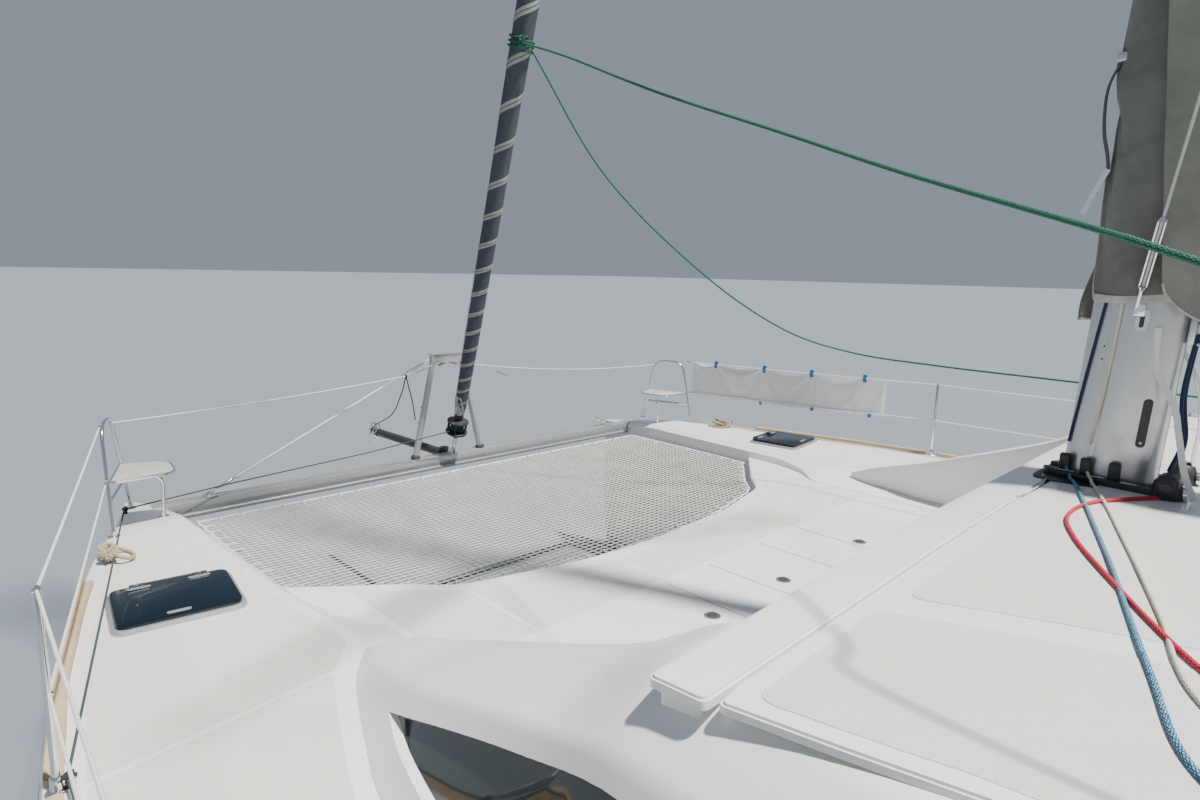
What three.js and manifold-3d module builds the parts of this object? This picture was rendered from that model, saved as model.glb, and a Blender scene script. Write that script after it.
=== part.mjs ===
// A cruising catamaran under bare poles: two hulls, a bridgedeck with its cabin,
// a net between the bows, and a sloop rig with a furled headsail and a stowed mainsail.
// Millimetres. X points to the bows, Y to port, Z up, and Z = 0 is the waterline.

import * as THREE from 'three';
import { mergeVertices } from 'three/addons/utils/BufferGeometryUtils.js';
import Module from 'manifold-3d';

const wasm = await Module();
wasm.setup();

// Driving dimensions
const GAP = 0.4;
const DECK_Z = 1750;
const FOREDECK_Z = 1650;
const NET_Z = 1600;
const SOLE_Z = 680;
const UNDERSIDE_Z = 600;
const WALL_Y = 2100;
const BEAM_X = 6200;
const BEAM_TOP = 1710;
const BEAM_FOOT = 1572;
const BEAM_HALF = 60;
const CABIN_AFT_X = -2700;
const BULKHEAD = 60;
const KEEL_FOOT_Z = -1200;
const ROOF_CROWN = 40;
const CABIN_WALL = 60;
const PANE = 10;

// Rig
const RAKE = THREE.MathUtils.degToRad(2.5);
const MAST_X = 836;
const MAST_REF_Z = 2750;
const MAST_FOOT_Z = 2660;
const MAST_HEAD_Z = 22400;
const HOUNDS_Z = 21300;
const MAST_HALF_CHORD = 175;
const MAST_HALF_WIDTH = 90;
const STAY_FOOT = new THREE.Vector3(6142, 0, 1678);
const GOOSENECK_Z = 3330;
const BOOM_LENGTH = 5450;
const BOOM_RISE = THREE.MathUtils.degToRad(1);

const mastX = (z) => MAST_X - Math.tan(RAKE) * (z - MAST_REF_Z);
const STAY_HEAD = new THREE.Vector3(mastX(HOUNDS_Z) + MAST_HALF_CHORD, 0, HOUNDS_Z);
const STAY_AXIS = STAY_HEAD.clone().sub(STAY_FOOT).normalize();
const STAY_LENGTH = STAY_HEAD.distanceTo(STAY_FOOT);
const GOOSENECK = new THREE.Vector3(mastX(GOOSENECK_Z) - MAST_HALF_CHORD - 66, 0, GOOSENECK_Z);

// Finishes
const finish = (color, roughness, metalness = 0) => ({ color, roughness, metalness });
const GELCOAT = finish(0xf2f1ec, 0.35);
const GLASS = finish(0x10161c, 0.08);
const ALLOY = finish(0xc9ccd0, 0.35, 0.9);
const STEEL = finish(0xd8dadd, 0.18, 1);
const NET = finish(0xd9dadb, 0.9);
const CANVAS = finish(0x8b8f8a, 0.9);
const SAILCLOTH = finish(0x3b3f44, 0.85);
const BLACK = finish(0x17181a, 0.45);
const BRONZE = finish(0xa9834b, 0.4, 0.9);
const ANTIFOUL = finish(0x24405f, 0.8);
const CLOTH = finish(0xf4f5f4, 0.85);
const CUSHION = finish(0xb9b4a8, 0.9);

// Solids and geometry, back and forth
function solid(geometry) {
  const bare = geometry.clone();
  bare.deleteAttribute('normal');
  bare.deleteAttribute('uv');
  const merged = mergeVertices(bare, 0.001);
  return new wasm.Manifold(new wasm.Mesh({
    numProp: 3,
    vertProperties: new Float32Array(merged.attributes.position.array),
    triVerts: new Uint32Array(merged.index.array),
  }));
}

function geometryOf(manifold) {
  const { vertProperties, triVerts } = manifold.getMesh();
  const geometry = new THREE.BufferGeometry();
  geometry.setAttribute('position', new THREE.BufferAttribute(new Float32Array(vertProperties), 3));
  geometry.setIndex(new THREE.BufferAttribute(new Uint32Array(triVerts), 1));
  geometry.computeVertexNormals();
  return geometry;
}

const join = (first, ...rest) => geometryOf(rest.reduce((sum, g) => sum.add(solid(g)), solid(first)));
const cut = (first, ...tools) => geometryOf(tools.reduce((sum, g) => sum.subtract(solid(g)), solid(first)));
const common = (a, b) => geometryOf(solid(a).intersect(solid(b)));
const moved = (geometry, x, y, z) => geometry.clone().translate(x, y, z);

// The main body, without slivers that a cut leaves beside it
function mainBody(geometry) {
  const bodies = solid(geometry).decompose();
  return geometryOf(bodies.reduce((best, one) => (one.volume() > best.volume() ? one : best)));
}

function mirrored(geometry) {
  const copy = geometry.index ? geometry.toNonIndexed() : geometry.clone();
  copy.scale(1, -1, 1);
  const p = copy.attributes.position;
  for (let i = 0; i < p.count; i += 3) {
    const [x, y, z] = [p.getX(i + 1), p.getY(i + 1), p.getZ(i + 1)];
    p.setXYZ(i + 1, p.getX(i + 2), p.getY(i + 2), p.getZ(i + 2));
    p.setXYZ(i + 2, x, y, z);
  }
  copy.deleteAttribute('normal');
  copy.deleteAttribute('uv');
  return mergeVertices(copy, 0.001);
}

// Plain shapes
function block(x0, x1, y0, y1, z0, z1) {
  const box = new THREE.BoxGeometry(x1 - x0, y1 - y0, z1 - z0);
  return box.translate((x0 + x1) / 2, (y0 + y1) / 2, (z0 + z1) / 2);
}

const shapeOf = (points) => new THREE.Shape(points.map(([a, b]) => new THREE.Vector2(a, b)));

// Outline in X and Z, drawn out along Y
function sideProfile(points, y0, y1) {
  const slab = new THREE.ExtrudeGeometry(shapeOf(points), { depth: y1 - y0, bevelEnabled: false });
  return slab.rotateX(Math.PI / 2).translate(0, y1, 0);
}

// Outline in X and Y, drawn out along Z
function planProfile(points, z0, z1) {
  const slab = new THREE.ExtrudeGeometry(shapeOf(points), { depth: z1 - z0, bevelEnabled: false });
  return slab.translate(0, 0, z0);
}

function rod(a, b, radius, sides = 10) {
  const from = new THREE.Vector3(...a);
  const span = new THREE.Vector3(...b).sub(from);
  const length = span.length();
  const bar = new THREE.CylinderGeometry(radius, radius, length, sides);
  bar.translate(0, length / 2, 0);
  bar.applyQuaternion(new THREE.Quaternion().setFromUnitVectors(new THREE.Vector3(0, 1, 0), span.normalize()));
  return bar.translate(from.x, from.y, from.z);
}

// Round bar bent through points, with its corners rounded
function bentBar(points, radius, corner, steps, sides = 10) {
  const path = new THREE.CurvePath();
  const p = points.map((q) => new THREE.Vector3(...q));
  let last = p[0];
  for (let i = 1; i < p.length - 1; i += 1) {
    const before = p[i].clone().add(p[i - 1].clone().sub(p[i]).setLength(corner));
    const after = p[i].clone().add(p[i + 1].clone().sub(p[i]).setLength(corner));
    path.add(new THREE.LineCurve3(last, before));
    path.add(new THREE.QuadraticBezierCurve3(before, p[i], after));
    last = after;
  }
  path.add(new THREE.LineCurve3(last, p[p.length - 1]));
  const ring = [];
  for (let i = 0; i < sides; i += 1) {
    const a = (2 * Math.PI * i) / sides;
    ring.push([radius * Math.cos(a), radius * Math.sin(a)]);
  }
  return new THREE.ExtrudeGeometry(shapeOf(ring), { steps, extrudePath: path, bevelEnabled: false });
}

// Turned shape on an axis that starts at a point. Profile rows are radius and distance along the axis.
function turned(profile, origin, axis, sides = 20) {
  const lathe = new THREE.LatheGeometry(profile.map(([r, s]) => new THREE.Vector2(r, s)), sides);
  lathe.applyQuaternion(new THREE.Quaternion().setFromUnitVectors(new THREE.Vector3(0, 1, 0), axis));
  return lathe.translate(origin.x, origin.y, origin.z);
}

// Skin over rings of points, one ring for each station, closed at both ends
function loft(rings) {
  const count = rings[0].length;
  const positions = rings.flat(2);
  const index = [];
  for (let i = 0; i < rings.length - 1; i += 1) {
    for (let j = 0; j < count; j += 1) {
      const a = i * count + j;
      const b = i * count + ((j + 1) % count);
      index.push(a, b, b + count, a, b + count, a + count);
    }
  }
  for (const [i, turn] of [[0, -1], [rings.length - 1, 1]]) {
    const flat = flatten(rings[i]);
    const sign = Math.sign(THREE.ShapeUtils.area(flat));
    for (const [a, b, c] of THREE.ShapeUtils.triangulateShape(flat, [])) {
      const way = Math.sign(THREE.ShapeUtils.area([flat[a], flat[b], flat[c]])) * sign * turn;
      index.push(i * count + a, i * count + (way > 0 ? b : c), i * count + (way > 0 ? c : b));
    }
  }
  const geometry = new THREE.BufferGeometry();
  geometry.setAttribute('position', new THREE.Float32BufferAttribute(positions, 3));
  geometry.setIndex(volume(positions, index) > 0 ? index : index.reverse());
  return geometry;
}

// A ring lies flat across X or across Z, and is seen along that axis
function flatten(ring) {
  const level = ring.every((p) => Math.abs(p[2] - ring[0][2]) < 0.001);
  return ring.map((p) => (level ? new THREE.Vector2(p[0], p[1]) : new THREE.Vector2(p[1], p[2])));
}

function volume(positions, index) {
  const at = (i) => new THREE.Vector3().fromArray(positions, 3 * i);
  let sum = 0;
  for (let i = 0; i < index.length; i += 3) {
    sum += at(index[i]).dot(at(index[i + 1]).cross(at(index[i + 2])));
  }
  return sum;
}

// Hull stations, from the bow aft.
// x, centre y, keel z, half beam afloat, deck edge y, deck inner y, deck z, wall y, wall top z, wall foot y, wall foot z
const HULL = [
  [6650, 2630, 500, 8, 2652, 2608, 1640, 2604, 1600, 2610, 900],
  [6590, 2630, 0, 22, 2668, 2585, 1648, 2580, 1608, 2600, 700],
  [6420, 2632, -240, 70, 2708, 2540, 1668, 2530, 1628, 2555, 650],
  [6100, 2640, -370, 150, 2800, 2505, 1706, 2475, 1670, 2475, 600],
  [5735, 2655, -440, 230, 2895, 2485, DECK_Z, 2445, 1710, 2415, 600],
  [5200, 2670, -510, 320, 3100, 2470, DECK_Z, 2425, 1710, 2350, 600],
  [4600, 2690, -560, 400, 3290, 2450, DECK_Z, 2400, 1710, 2290, 600],
  [4000, 2700, -600, 460, 3440, 2420, DECK_Z, 2370, 1710, 2220, 600],
  [3650, 2705, -620, 490, 3520, 2390, DECK_Z, 2270, 1690, 2150, 600],
  [3400, 2710, -630, 510, 3562, 2350, DECK_Z, WALL_Y, 1655, WALL_Y, 600],
  [2800, 2715, -650, 540, 3648, 2350, DECK_Z, WALL_Y, 1655, WALL_Y, 600],
  [1600, 2720, -680, 570, 3690, 2350, DECK_Z, WALL_Y, 1655, WALL_Y, 600],
  [0, 2720, -690, 580, 3700, 2350, DECK_Z, WALL_Y, 1655, WALL_Y, 600],
  [-1600, 2720, -670, 575, 3700, 2350, DECK_Z, WALL_Y, 1655, WALL_Y, 600],
  [-3200, 2725, -600, 560, 3680, 2350, DECK_Z, WALL_Y, 1655, WALL_Y, 600],
  [-4500, 2735, -470, 540, 3620, 2350, DECK_Z, WALL_Y, 1655, WALL_Y, 600],
  [-5250, 2745, -330, 510, 3550, 2350, DECK_Z, WALL_Y, 1655, WALL_Y, 600],
  [-6050, 2755, -150, 460, 3450, 2380, DECK_Z, 2200, 1655, 2240, 500],
  [-6700, 2765, -10, 400, 3350, 2420, DECK_Z, 2300, 1655, 2330, 400],
];
const DECK_EDGE_ROUND = 35;

function hullRing([x, yc, zk, half, yOut, yIn, zDeck, yWall, zWall, yFoot, zFoot]) {
  const round = Math.min(DECK_EDGE_ROUND, half);
  const above = Math.max(zk, 0);
  const bilge = zk - above;
  return [
    [x, yc, zk],
    [x, yc + 0.45 * half, above + bilge * 0.9 + 4],
    [x, yc + 0.8 * half, above + bilge * 0.62 + 8],
    [x, yc + 0.96 * half, above + bilge * 0.28 + 12],
    [x, yc + half + 8, above + 110],
    [x, yc + half + (yOut - yc - half) * 0.55, above + (zDeck - above) * 0.42],
    [x, yOut - 12, above + (zDeck - above) * 0.78],
    [x, yOut, zDeck - 2 * round],
    [x, yOut - 0.3 * round, zDeck - 0.5 * round],
    [x, yOut - round, zDeck],
    [x, yIn, zDeck],
    [x, yWall, zWall],
    [x, yFoot, zFoot],
    [x, yc - half - 8, above + 110],
    [x, yc - 0.96 * half, above + bilge * 0.28 + 12],
    [x, yc - 0.8 * half, above + bilge * 0.62 + 8],
    [x, yc - 0.45 * half, above + bilge * 0.9 + 4],
  ];
}

// Boarding steps at the stern. Columns: tread's forward x, tread's aft x, tread z
const STEPS = [
  [-4700, -4900, 1390],
  [-4900, -5100, 1040],
  [-5100, -5550, SOLE_Z],
  [-5550, -5950, 500],
  [-5950, -6800, 330],
];
const WING_Y = 3330;
const RUDDER = { x: -5350, y: 2748, stock: 30, bore: 30.8, sides: 24, top: -395, chord: 460, lead: 130, foot: -1130 };

function portHull() {
  let hull = loft(HULL.map(hullRing));
  const wingCut = [[-4700, DECK_Z + 100], [-4700, DECK_Z], [-6800, 640], [-6800, DECK_Z + 100]];
  hull = cut(hull, sideProfile(wingCut, 1900, 3900));
  for (const [x0, x1, z] of STEPS) hull = cut(hull, block(x1, x0 + 1, 1900, WING_Y, z, 2000));
  const socket = block(BEAM_X - BEAM_HALF - GAP, BEAM_X + BEAM_HALF + GAP, 2300, 2560 + GAP, BEAM_FOOT - GAP, BEAM_TOP + GAP);
  const bearing = rod([RUDDER.x, RUDDER.y, -700], [RUDDER.x, RUDDER.y, -60], RUDDER.bore, RUDDER.sides);
  return cut(hull, socket, bearing);
}

// Appendages under the port hull
function foil(x, y, chord, thickness, z) {
  const row = [];
  const outline = [[0, 0], [0.06, 0.34], [0.2, 0.5], [0.45, 0.46], [0.75, 0.22], [1, 0.01]];
  for (const [s, t] of outline) row.push([x - s * chord, y + t * thickness, z]);
  for (const [s, t] of outline.slice(1).reverse()) row.push([x - s * chord, y - t * thickness, z]);
  return row;
}

function portKeel(hull) {
  const keel = loft([
    foil(1250, 2720, 2900, 300, -450),
    foil(1130, 2720, 2560, 280, -900),
    foil(1000, 2720, 2250, 260, KEEL_FOOT_Z),
  ]);
  return cut(keel, moved(hull, 0, 0, -GAP));
}

function portRudder() {
  const { x, y, stock, top, chord, lead, foot, sides } = RUDDER;
  const blade = loft([
    foil(x + lead, y, chord, 74, top),
    foil(x + lead - 10, y, chord - 60, 64, -800),
    foil(x + lead - 40, y, chord - 160, 50, foot),
  ]);
  return join(blade, rod([x, y, top - 200], [x, y, -120], stock, sides));
}

const DRIVE = { x: -4250, y: 2735, z: -860, legChord: 260, pod: 62 };
const PROP = { radius: 225, hub: 55, spigot: 18, bore: 21 };

function portDrive(hull) {
  const leg = loft([
    foil(DRIVE.x + 90, DRIVE.y, DRIVE.legChord + 40, 130, -350),
    foil(DRIVE.x + 40, DRIVE.y, DRIVE.legChord, 100, DRIVE.z),
  ]);
  const pod = turned([[0, 0], [30, 12], [DRIVE.pod, 80], [DRIVE.pod, 300], [52, 390], [0, 390]],
    new THREE.Vector3(DRIVE.x + 145, DRIVE.y, DRIVE.z), new THREE.Vector3(-1, 0, 0), 16);
  const skeg = loft([
    foil(DRIVE.x - 20, DRIVE.y, 200, 40, DRIVE.z + 20),
    foil(DRIVE.x - 60, DRIVE.y, 120, 24, DRIVE.z - 190),
  ]);
  const bore = rod([DRIVE.x - 300, DRIVE.y, DRIVE.z], [DRIVE.x - 180, DRIVE.y, DRIVE.z], PROP.bore, 12);
  return cut(join(leg, pod, skeg), moved(hull, 0, 0, -GAP), bore);
}

function portPropeller() {
  const start = new THREE.Vector3(DRIVE.x - 245.5, DRIVE.y, DRIVE.z);
  let wheel = turned([[0, 0], [50, 0], [PROP.hub, 20], [PROP.hub, 90], [30, 150], [0, 165]],
    start, new THREE.Vector3(-1, 0, 0), 18);
  wheel = join(wheel, rod([start.x - 5, start.y, start.z], [start.x + 45, start.y, start.z], PROP.spigot, 12));
  for (let i = 0; i < 3; i += 1) {
    const rows = [[38, 50, 14], [110, 95, 10], [180, 90, 7], [PROP.radius, 30, 4]];
    const blade = loft(rows.map(([r, half, thick]) => {
      const pitch = Math.atan2(190, 2 * Math.PI * 0.35 * r);
      return [[-half, -thick / 2], [half, -thick / 2], [half, thick / 2], [-half, thick / 2]].map(([u, v]) => [
        u * Math.cos(pitch) - v * Math.sin(pitch),
        u * Math.sin(pitch) + v * Math.cos(pitch),
        r,
      ]);
    }));
    const angle = new THREE.Matrix4().makeRotationX((2 * Math.PI * i) / 3);
    const along = new THREE.Matrix4().makeTranslation(start.x - 55, start.y, start.z);
    wheel = join(wheel, blade.rotateZ(Math.PI / 2).applyMatrix4(angle).applyMatrix4(along));
  }
  return wheel;
}

// Bridgedeck: foredeck block, cabin and cockpit sole. Columns of the foredeck's edge: y, x
const FOREDECK_EDGE = [[0, 3400], [500, 3420], [1250, 3570], [1530, 3650], [1800, 3880], [2120, 4120], [2300, 4260]];
const CABIN_FRONT_X = 1400;
const COCKPIT_AFT_X = -5200;

function bridgedeck(hull) {
  const profile = [
    [4600, FOREDECK_Z], [CABIN_FRONT_X, FOREDECK_Z], [CABIN_FRONT_X, SOLE_Z], [COCKPIT_AFT_X, SOLE_Z],
    [COCKPIT_AFT_X, UNDERSIDE_Z], [1700, UNDERSIDE_Z], [2500, 720], [3000, 950], [3350, 1300], [4600, 1520],
  ];
  const slab = sideProfile(profile, -2500, 2500);
  const front = [...FOREDECK_EDGE.slice(1).reverse().map(([y, x]) => [x, -y]), ...FOREDECK_EDGE.map(([y, x]) => [x, y])];
  const outline = [...front, [4260, 2500], [-5400, 2500], [-5400, -2500], [4260, -2500]];
  const shaped = common(slab, planProfile(outline, 0, 2000));
  return cut(shaped, moved(hull, 0, -GAP, GAP), moved(mirrored(hull), 0, GAP, GAP));
}

// Cabin top stations. x, base y, edge y, edge z, top y, top z
const CABIN = [
  [3150, 2392, 2372, 1757, 2300, 1760],
  [2940, 2534, 2450, 1815, 2270, 1850],
  [2590, 2675, 2530, 1915, 2250, 1965],
  [2200, 2803, 2590, 2050, 2250, 2110],
  [1600, 2880, 2650, 2265, 2330, 2345],
  [1170, 2900, 2710, 2400, 2540, 2560],
  [500, 2920, 2740, 2425, 2570, 2585],
  [-1500, 2900, 2720, 2440, 2560, 2605],
  [CABIN_AFT_X, 2860, 2680, 2440, 2520, 2610],
];
const ROOF_FRONT_X = 1170;
const ROOF_FLAT_Y = 1200;

function cabinRing([x, yBase, yEdge, zEdge, yTop, zTop], inset, drop) {
  const half = [
    [yBase - inset, FOREDECK_Z + GAP],
    [yBase - inset, DECK_Z],
    [yEdge - inset, zEdge - drop * 0.5],
    [yTop - inset, zTop - drop],
    [ROOF_FLAT_Y, zTop + ROOF_CROWN - drop],
  ];
  const port = half.map(([y, z]) => [x, y, z]);
  const starboard = half.map(([y, z]) => [x, -y, z]).reverse();
  return [...port, ...starboard];
}

const cabinSkin = (inset, drop) => loft(CABIN.map((row) => cabinRing(row, inset, drop)));

// Side window, seen from the side, and the cut through the wall behind it
const WINDOW = [[2470, 1862], [2160, 1985], [1600, 2185], [1170, 2320], [500, 2345], [-2280, 2355], [-2420, 1862]];
const WINDOW_LIGHT = [[1250, 1900], [1250, 2290], [500, 2310], [-2200, 2310], [-2300, 1900]];
const SHIELD = { footX: 1700, headX: 1130, footZ: 1600, headZ: 2480, half: 1950 };

// Outline moved inwards by a distance, its points given counterclockwise
function shrunk(points, by) {
  const normal = (p, q) => new THREE.Vector2(p[1] - q[1], q[0] - p[0]).normalize();
  return points.map((p, i) => {
    const before = normal(points[(i + points.length - 1) % points.length], p);
    const after = normal(p, points[(i + 1) % points.length]);
    const bisector = before.clone().add(after).normalize();
    const reach = by / bisector.dot(after);
    return [p[0] + bisector.x * reach, p[1] + bisector.y * reach];
  });
}

// Slanted slab in front of the cabin, between two distances behind the windshield's outer face
function shieldSlab(from, to, z0, z1, half) {
  const { footX, headX, footZ, headZ } = SHIELD;
  const at = (z, back) => [headX + ((footX - headX) * (headZ - z)) / (headZ - footZ) - back, z];
  return sideProfile([at(z0, from), at(z1, from), at(z1, to), at(z0, to)], -half, half);
}

// Part of the cabin's side between two depths below its surface, inside an outline seen from the side
function sideLayer(from, to, outline) {
  const skin = cut(cabinSkin(from, from), cabinSkin(to, to));
  return common(skin, sideProfile(outline, 2300, 3000));
}

function coachroof(hull, deck) {
  const { footX, headX, footZ, headZ } = SHIELD;
  const well = [[footX, footZ], [3400, footZ], [3400, 3000], [ROOF_FRONT_X, 3000], [ROOF_FRONT_X, headZ], [headX, headZ]];
  const tips = [[3300, 2150], [3300, 2352], [3150, 2345], [2400, 2200], [2400, 2150]];
  let shell = cut(cabinSkin(0, 0), sideProfile(well, -2200, 2200), planProfile(tips, 1500, 2300));
  shell = cut(shell, mirrored(planProfile(tips, 1500, 2300)));
  const room = [[footX - 90, footZ - 40], [headX - 100, 2460], [headX - 110, 3000], [-2900, 3000], [-2900, footZ - 40]];
  const inside = loft(CABIN.map(([x, ...row]) => cabinRing([x < -2600 ? x - 10 : x, ...row], CABIN_WALL, CABIN_WALL)));
  shell = cut(shell, common(inside, sideProfile(room, -3000, 3000)));
  const pocket = sideLayer(-20, PANE + 1, WINDOW);
  const light = sideProfile(WINDOW_LIGHT, 2300, 3000);
  shell = cut(shell, pocket, mirrored(pocket), light, mirrored(light));
  shell = cut(shell, shieldSlab(-5, PANE + 1, 1740, 2430, SHIELD.half));
  for (const [y0, y1] of [[-1900, -680], [-620, 620], [680, 1900]]) shell = cut(shell, block(700, 2100, y0, y1, 1790, 2390));
  const tools = [moved(hull, 0, 0, GAP), moved(mirrored(hull), 0, 0, GAP), moved(deck, 0, 0, GAP)];
  return mainBody(cut(shell, ...tools));
}

const portWindow = () => sideLayer(0, PANE, shrunk(WINDOW, 1));
const windshield = () => shieldSlab(0, PANE, 1741, 2429, SHIELD.half - 1);

// Aft bulkhead with its doorway and window, and the sliding door behind it
const DOOR = { y0: -1260, y1: -260, z0: 690, z1: 2445, x0: -2800, x1: -2768 };
const DOORWAY = [-1200, -320, SOLE_Z + 20, 2430];
const AFT_LIGHT = [60, 940, 1250, 2330];

function bulkhead(hull, deck) {
  const row = CABIN[CABIN.length - 1];
  const near = CABIN_AFT_X - GAP;
  const far = CABIN_AFT_X - BULKHEAD;
  let wall = loft([near, far].map((x) => cabinRing([x, ...row.slice(1)], 0, 0)));
  wall = join(wall, block(far, near, GAP - WALL_Y, WALL_Y - GAP, SOLE_Z + GAP, 1700));
  const rail = block(DOOR.x0 - 6, far + 2, DOOR.y0 - 40, 760, DOOR.z1 + 7, DOOR.z1 + 45);
  wall = join(wall, rail);
  for (const [y0, y1, z0, z1] of [DOORWAY, AFT_LIGHT]) wall = cut(wall, block(-2900, -2600, y0, y1, z0, z1));
  const tools = [moved(hull, 0, -GAP, GAP), moved(mirrored(hull), 0, GAP, GAP), moved(deck, 0, 0, GAP)];
  return cut(wall, ...tools);
}

function aftWindow() {
  const [y0, y1, z0, z1] = AFT_LIGHT;
  return block(CABIN_AFT_X - 40, CABIN_AFT_X - 28, y0 + GAP, y1 - GAP, z0 + GAP, z1 - GAP);
}

function saloonDoor() {
  const { x0, x1, y0, y1, z0, z1 } = DOOR;
  let door = block(x0, x1, y0, y1, z0, z1);
  for (const y of [y0 + 150, y1 - 150]) door = join(door, block(x0 + 8, x1 - 8, y - 30, y + 30, z1 - 2, z1 + 6.4));
  return door;
}

// Furniture that shows through the saloon's windows: a corner settee and its table to port, and the
// galley's counter to starboard
const ROOM = { front: CABIN_FRONT_X - GAP, side: WALL_Y - 40, floor: SOLE_Z + GAP };
const SETTEE = { aft: -1700, depth: 640, seatZ: 1130, backZ: 1540, back: 120, inner: 150 };
const SALOON_TABLE = { aft: -1250, front: 480, inner: 420, outer: 1250, topZ: 1400, thick: 40 };
const GALLEY = { aft: -1900, depth: 620, topZ: 1600, kick: 60, kickZ: 790, lip: 30 };

function saloonSettee() {
  const { front, side, floor } = ROOM;
  const { aft, depth, seatZ, backZ, back, inner } = SETTEE;
  const seat = join(block(aft, front, side - depth, side, floor, seatZ), block(front - depth, front, inner, side, floor, seatZ));
  const low = seatZ - 50;
  return join(seat, block(aft, front, side - back, side, low, backZ), block(front - back, front, inner, side, low, backZ));
}

function saloonTable() {
  const { aft, front, inner, outer, topZ, thick } = SALOON_TABLE;
  const [x, y] = [(aft + front) / 2, (inner + outer) / 2];
  const foot = rod([x, y, ROOM.floor], [x, y, ROOM.floor + 18], 200, 18);
  return join(block(aft, front, inner, outer, topZ - thick, topZ), foot, rod([x, y, ROOM.floor + 10], [x, y, topZ - 10], 50, 14));
}

function galley() {
  const { front, side, floor } = ROOM;
  const { aft, depth, topZ, kick, kickZ, lip } = GALLEY;
  const inner = depth - side;
  const base = block(aft, front, -side, inner - kick, floor, kickZ);
  const counter = block(aft, front, -side, inner, kickZ - 10, topZ - 50);
  return join(base, counter, block(aft - lip, front, -side, inner + lip, topZ - 60, topZ));
}

// Two winches on one plinth, on the roof ahead of the helm
const WINCHES = { x: -2250, sides: [1380, 1780], reach: 125, plinthZ: 2675, footZ: 2600 };

function winches(roof) {
  const { x, sides, reach, plinthZ, footZ } = WINCHES;
  const drums = sides.map((y) => turned(
    [[0, 0], [88, 0], [82, 30], [58, 55], [52, 100], [66, 135], [66, 150], [0, 150]],
    new THREE.Vector3(x, y, plinthZ - 1), new THREE.Vector3(0, 0, 1), 20,
  ));
  const plinth = block(x - reach, x + reach, sides[0] - reach, sides[1] + reach, footZ, plinthZ);
  return cut(join(plinth, ...drums), moved(roof, 0, 0, GAP));
}

// Cockpit
function cockpitBench(hull) {
  const seat = [[-4500, SOLE_Z + GAP], [-4500, 1130], [-5000, 1130], [-5040, 1600], [-5190, 1600], [-5190, SOLE_Z + GAP]];
  const side = block(-4300, -2950, -2300, -1560, SOLE_Z + GAP, 1130);
  const corner = block(-5150, -4290, -1700, -1450, SOLE_Z + GAP, 1130);
  const bench = join(sideProfile(seat, -1500, 1500), side, corner);
  return cut(bench, moved(mirrored(hull), 0, GAP, 0));
}

function cockpitTable() {
  const top = planProfile([[-3150, -1380], [-3150, -420], [-4250, -420], [-4250, -1380]], 1370, 1410);
  const post = rod([-3700, -900, SOLE_Z + GAP + 14], [-3700, -900, 1375], 45, 14);
  return join(top, post, rod([-3700, -900, SOLE_Z + GAP], [-3700, -900, SOLE_Z + GAP + 16], 190, 18));
}

const WHEEL = { x: -3060, y: 1575, z: 1840, radius: 400, shaft: 24, bore: 24.8, sides: 24 };

function helmConsole(hull) {
  const floor = block(-3950, -2765, 1050, 2300, SOLE_Z + GAP, 1150);
  const pod = sideProfile([[-2765, 1100], [-2765, 2080], [-2860, 2080], [-2965, 1990], [-2965, 1100]], 1180, 1980);
  const bore = rod([-2990, WHEEL.y, WHEEL.z], [-2890, WHEEL.y, WHEEL.z], WHEEL.bore, WHEEL.sides);
  return cut(join(floor, pod), bore, moved(hull, 0, -GAP, 0));
}

function steeringWheel() {
  const { x, y, z, radius, shaft, sides } = WHEEL;
  const rim = new THREE.TorusGeometry(radius, 15, 8, 40).rotateY(Math.PI / 2).translate(x, y, z);
  let wheel = join(rod([x - 25, y, z], [x + 25, y, z], 60, 16), rod([x, y, z], [x + 140, y, z], shaft, sides));
  for (let i = 0; i < 5; i += 1) {
    const a = (2 * Math.PI * i) / 5;
    const tip = [x, y + radius * Math.sin(a), z + radius * Math.cos(a)];
    wheel = join(wheel, rod([x, y, z], tip, 11, 8));
  }
  return join(wheel, rim);
}

function helmSeat() {
  const outline = [[-3480, 1150 + GAP], [-3480, 1640], [-3880, 1640], [-3910, 2060], [-3949, 2060], [-3949, 1150 + GAP]];
  return sideProfile(outline, 1180, 1980);
}

// Hard top over the cockpit, open above the helm
const HARDTOP = { z0: 2790, z1: 2860 };

function hardtop(hull) {
  const { z0, z1 } = HARDTOP;
  const plan = [
    [-2480, -2250], [-2480, 1020], [-3980, 1020], [-3980, 2300], [-5250, 2300], [-5450, 2050],
    [-5450, -2050], [-5250, -2300], [-2600, -2300],
  ];
  let top = planProfile(plan, z0, z1);
  const roofZ = 2610 + ROOF_CROWN + GAP;
  top = join(top, block(-2620, -2490, -1150, 1000, roofZ, z0 + 5));
  for (const s of [-1, 1]) top = join(top, rod([-4590, s * 2430, DECK_Z - 40], [-4650, s * 2230, z0 + 10], 32, 12));
  return cut(top, moved(hull, 0, 0, GAP), moved(mirrored(hull), 0, 0, GAP));
}

function davits() {
  let frame = rod([-5700, -1200, 2010], [-5700, 1200, 2010], 24, 10);
  for (const y of [-1200, 1200]) {
    frame = join(frame, bentBar([[-5120, y, 1600 + GAP], [-5120, y, 1950], [-6450, y, 2090]], 38, 220, 16, 10));
  }
  return frame;
}

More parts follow.
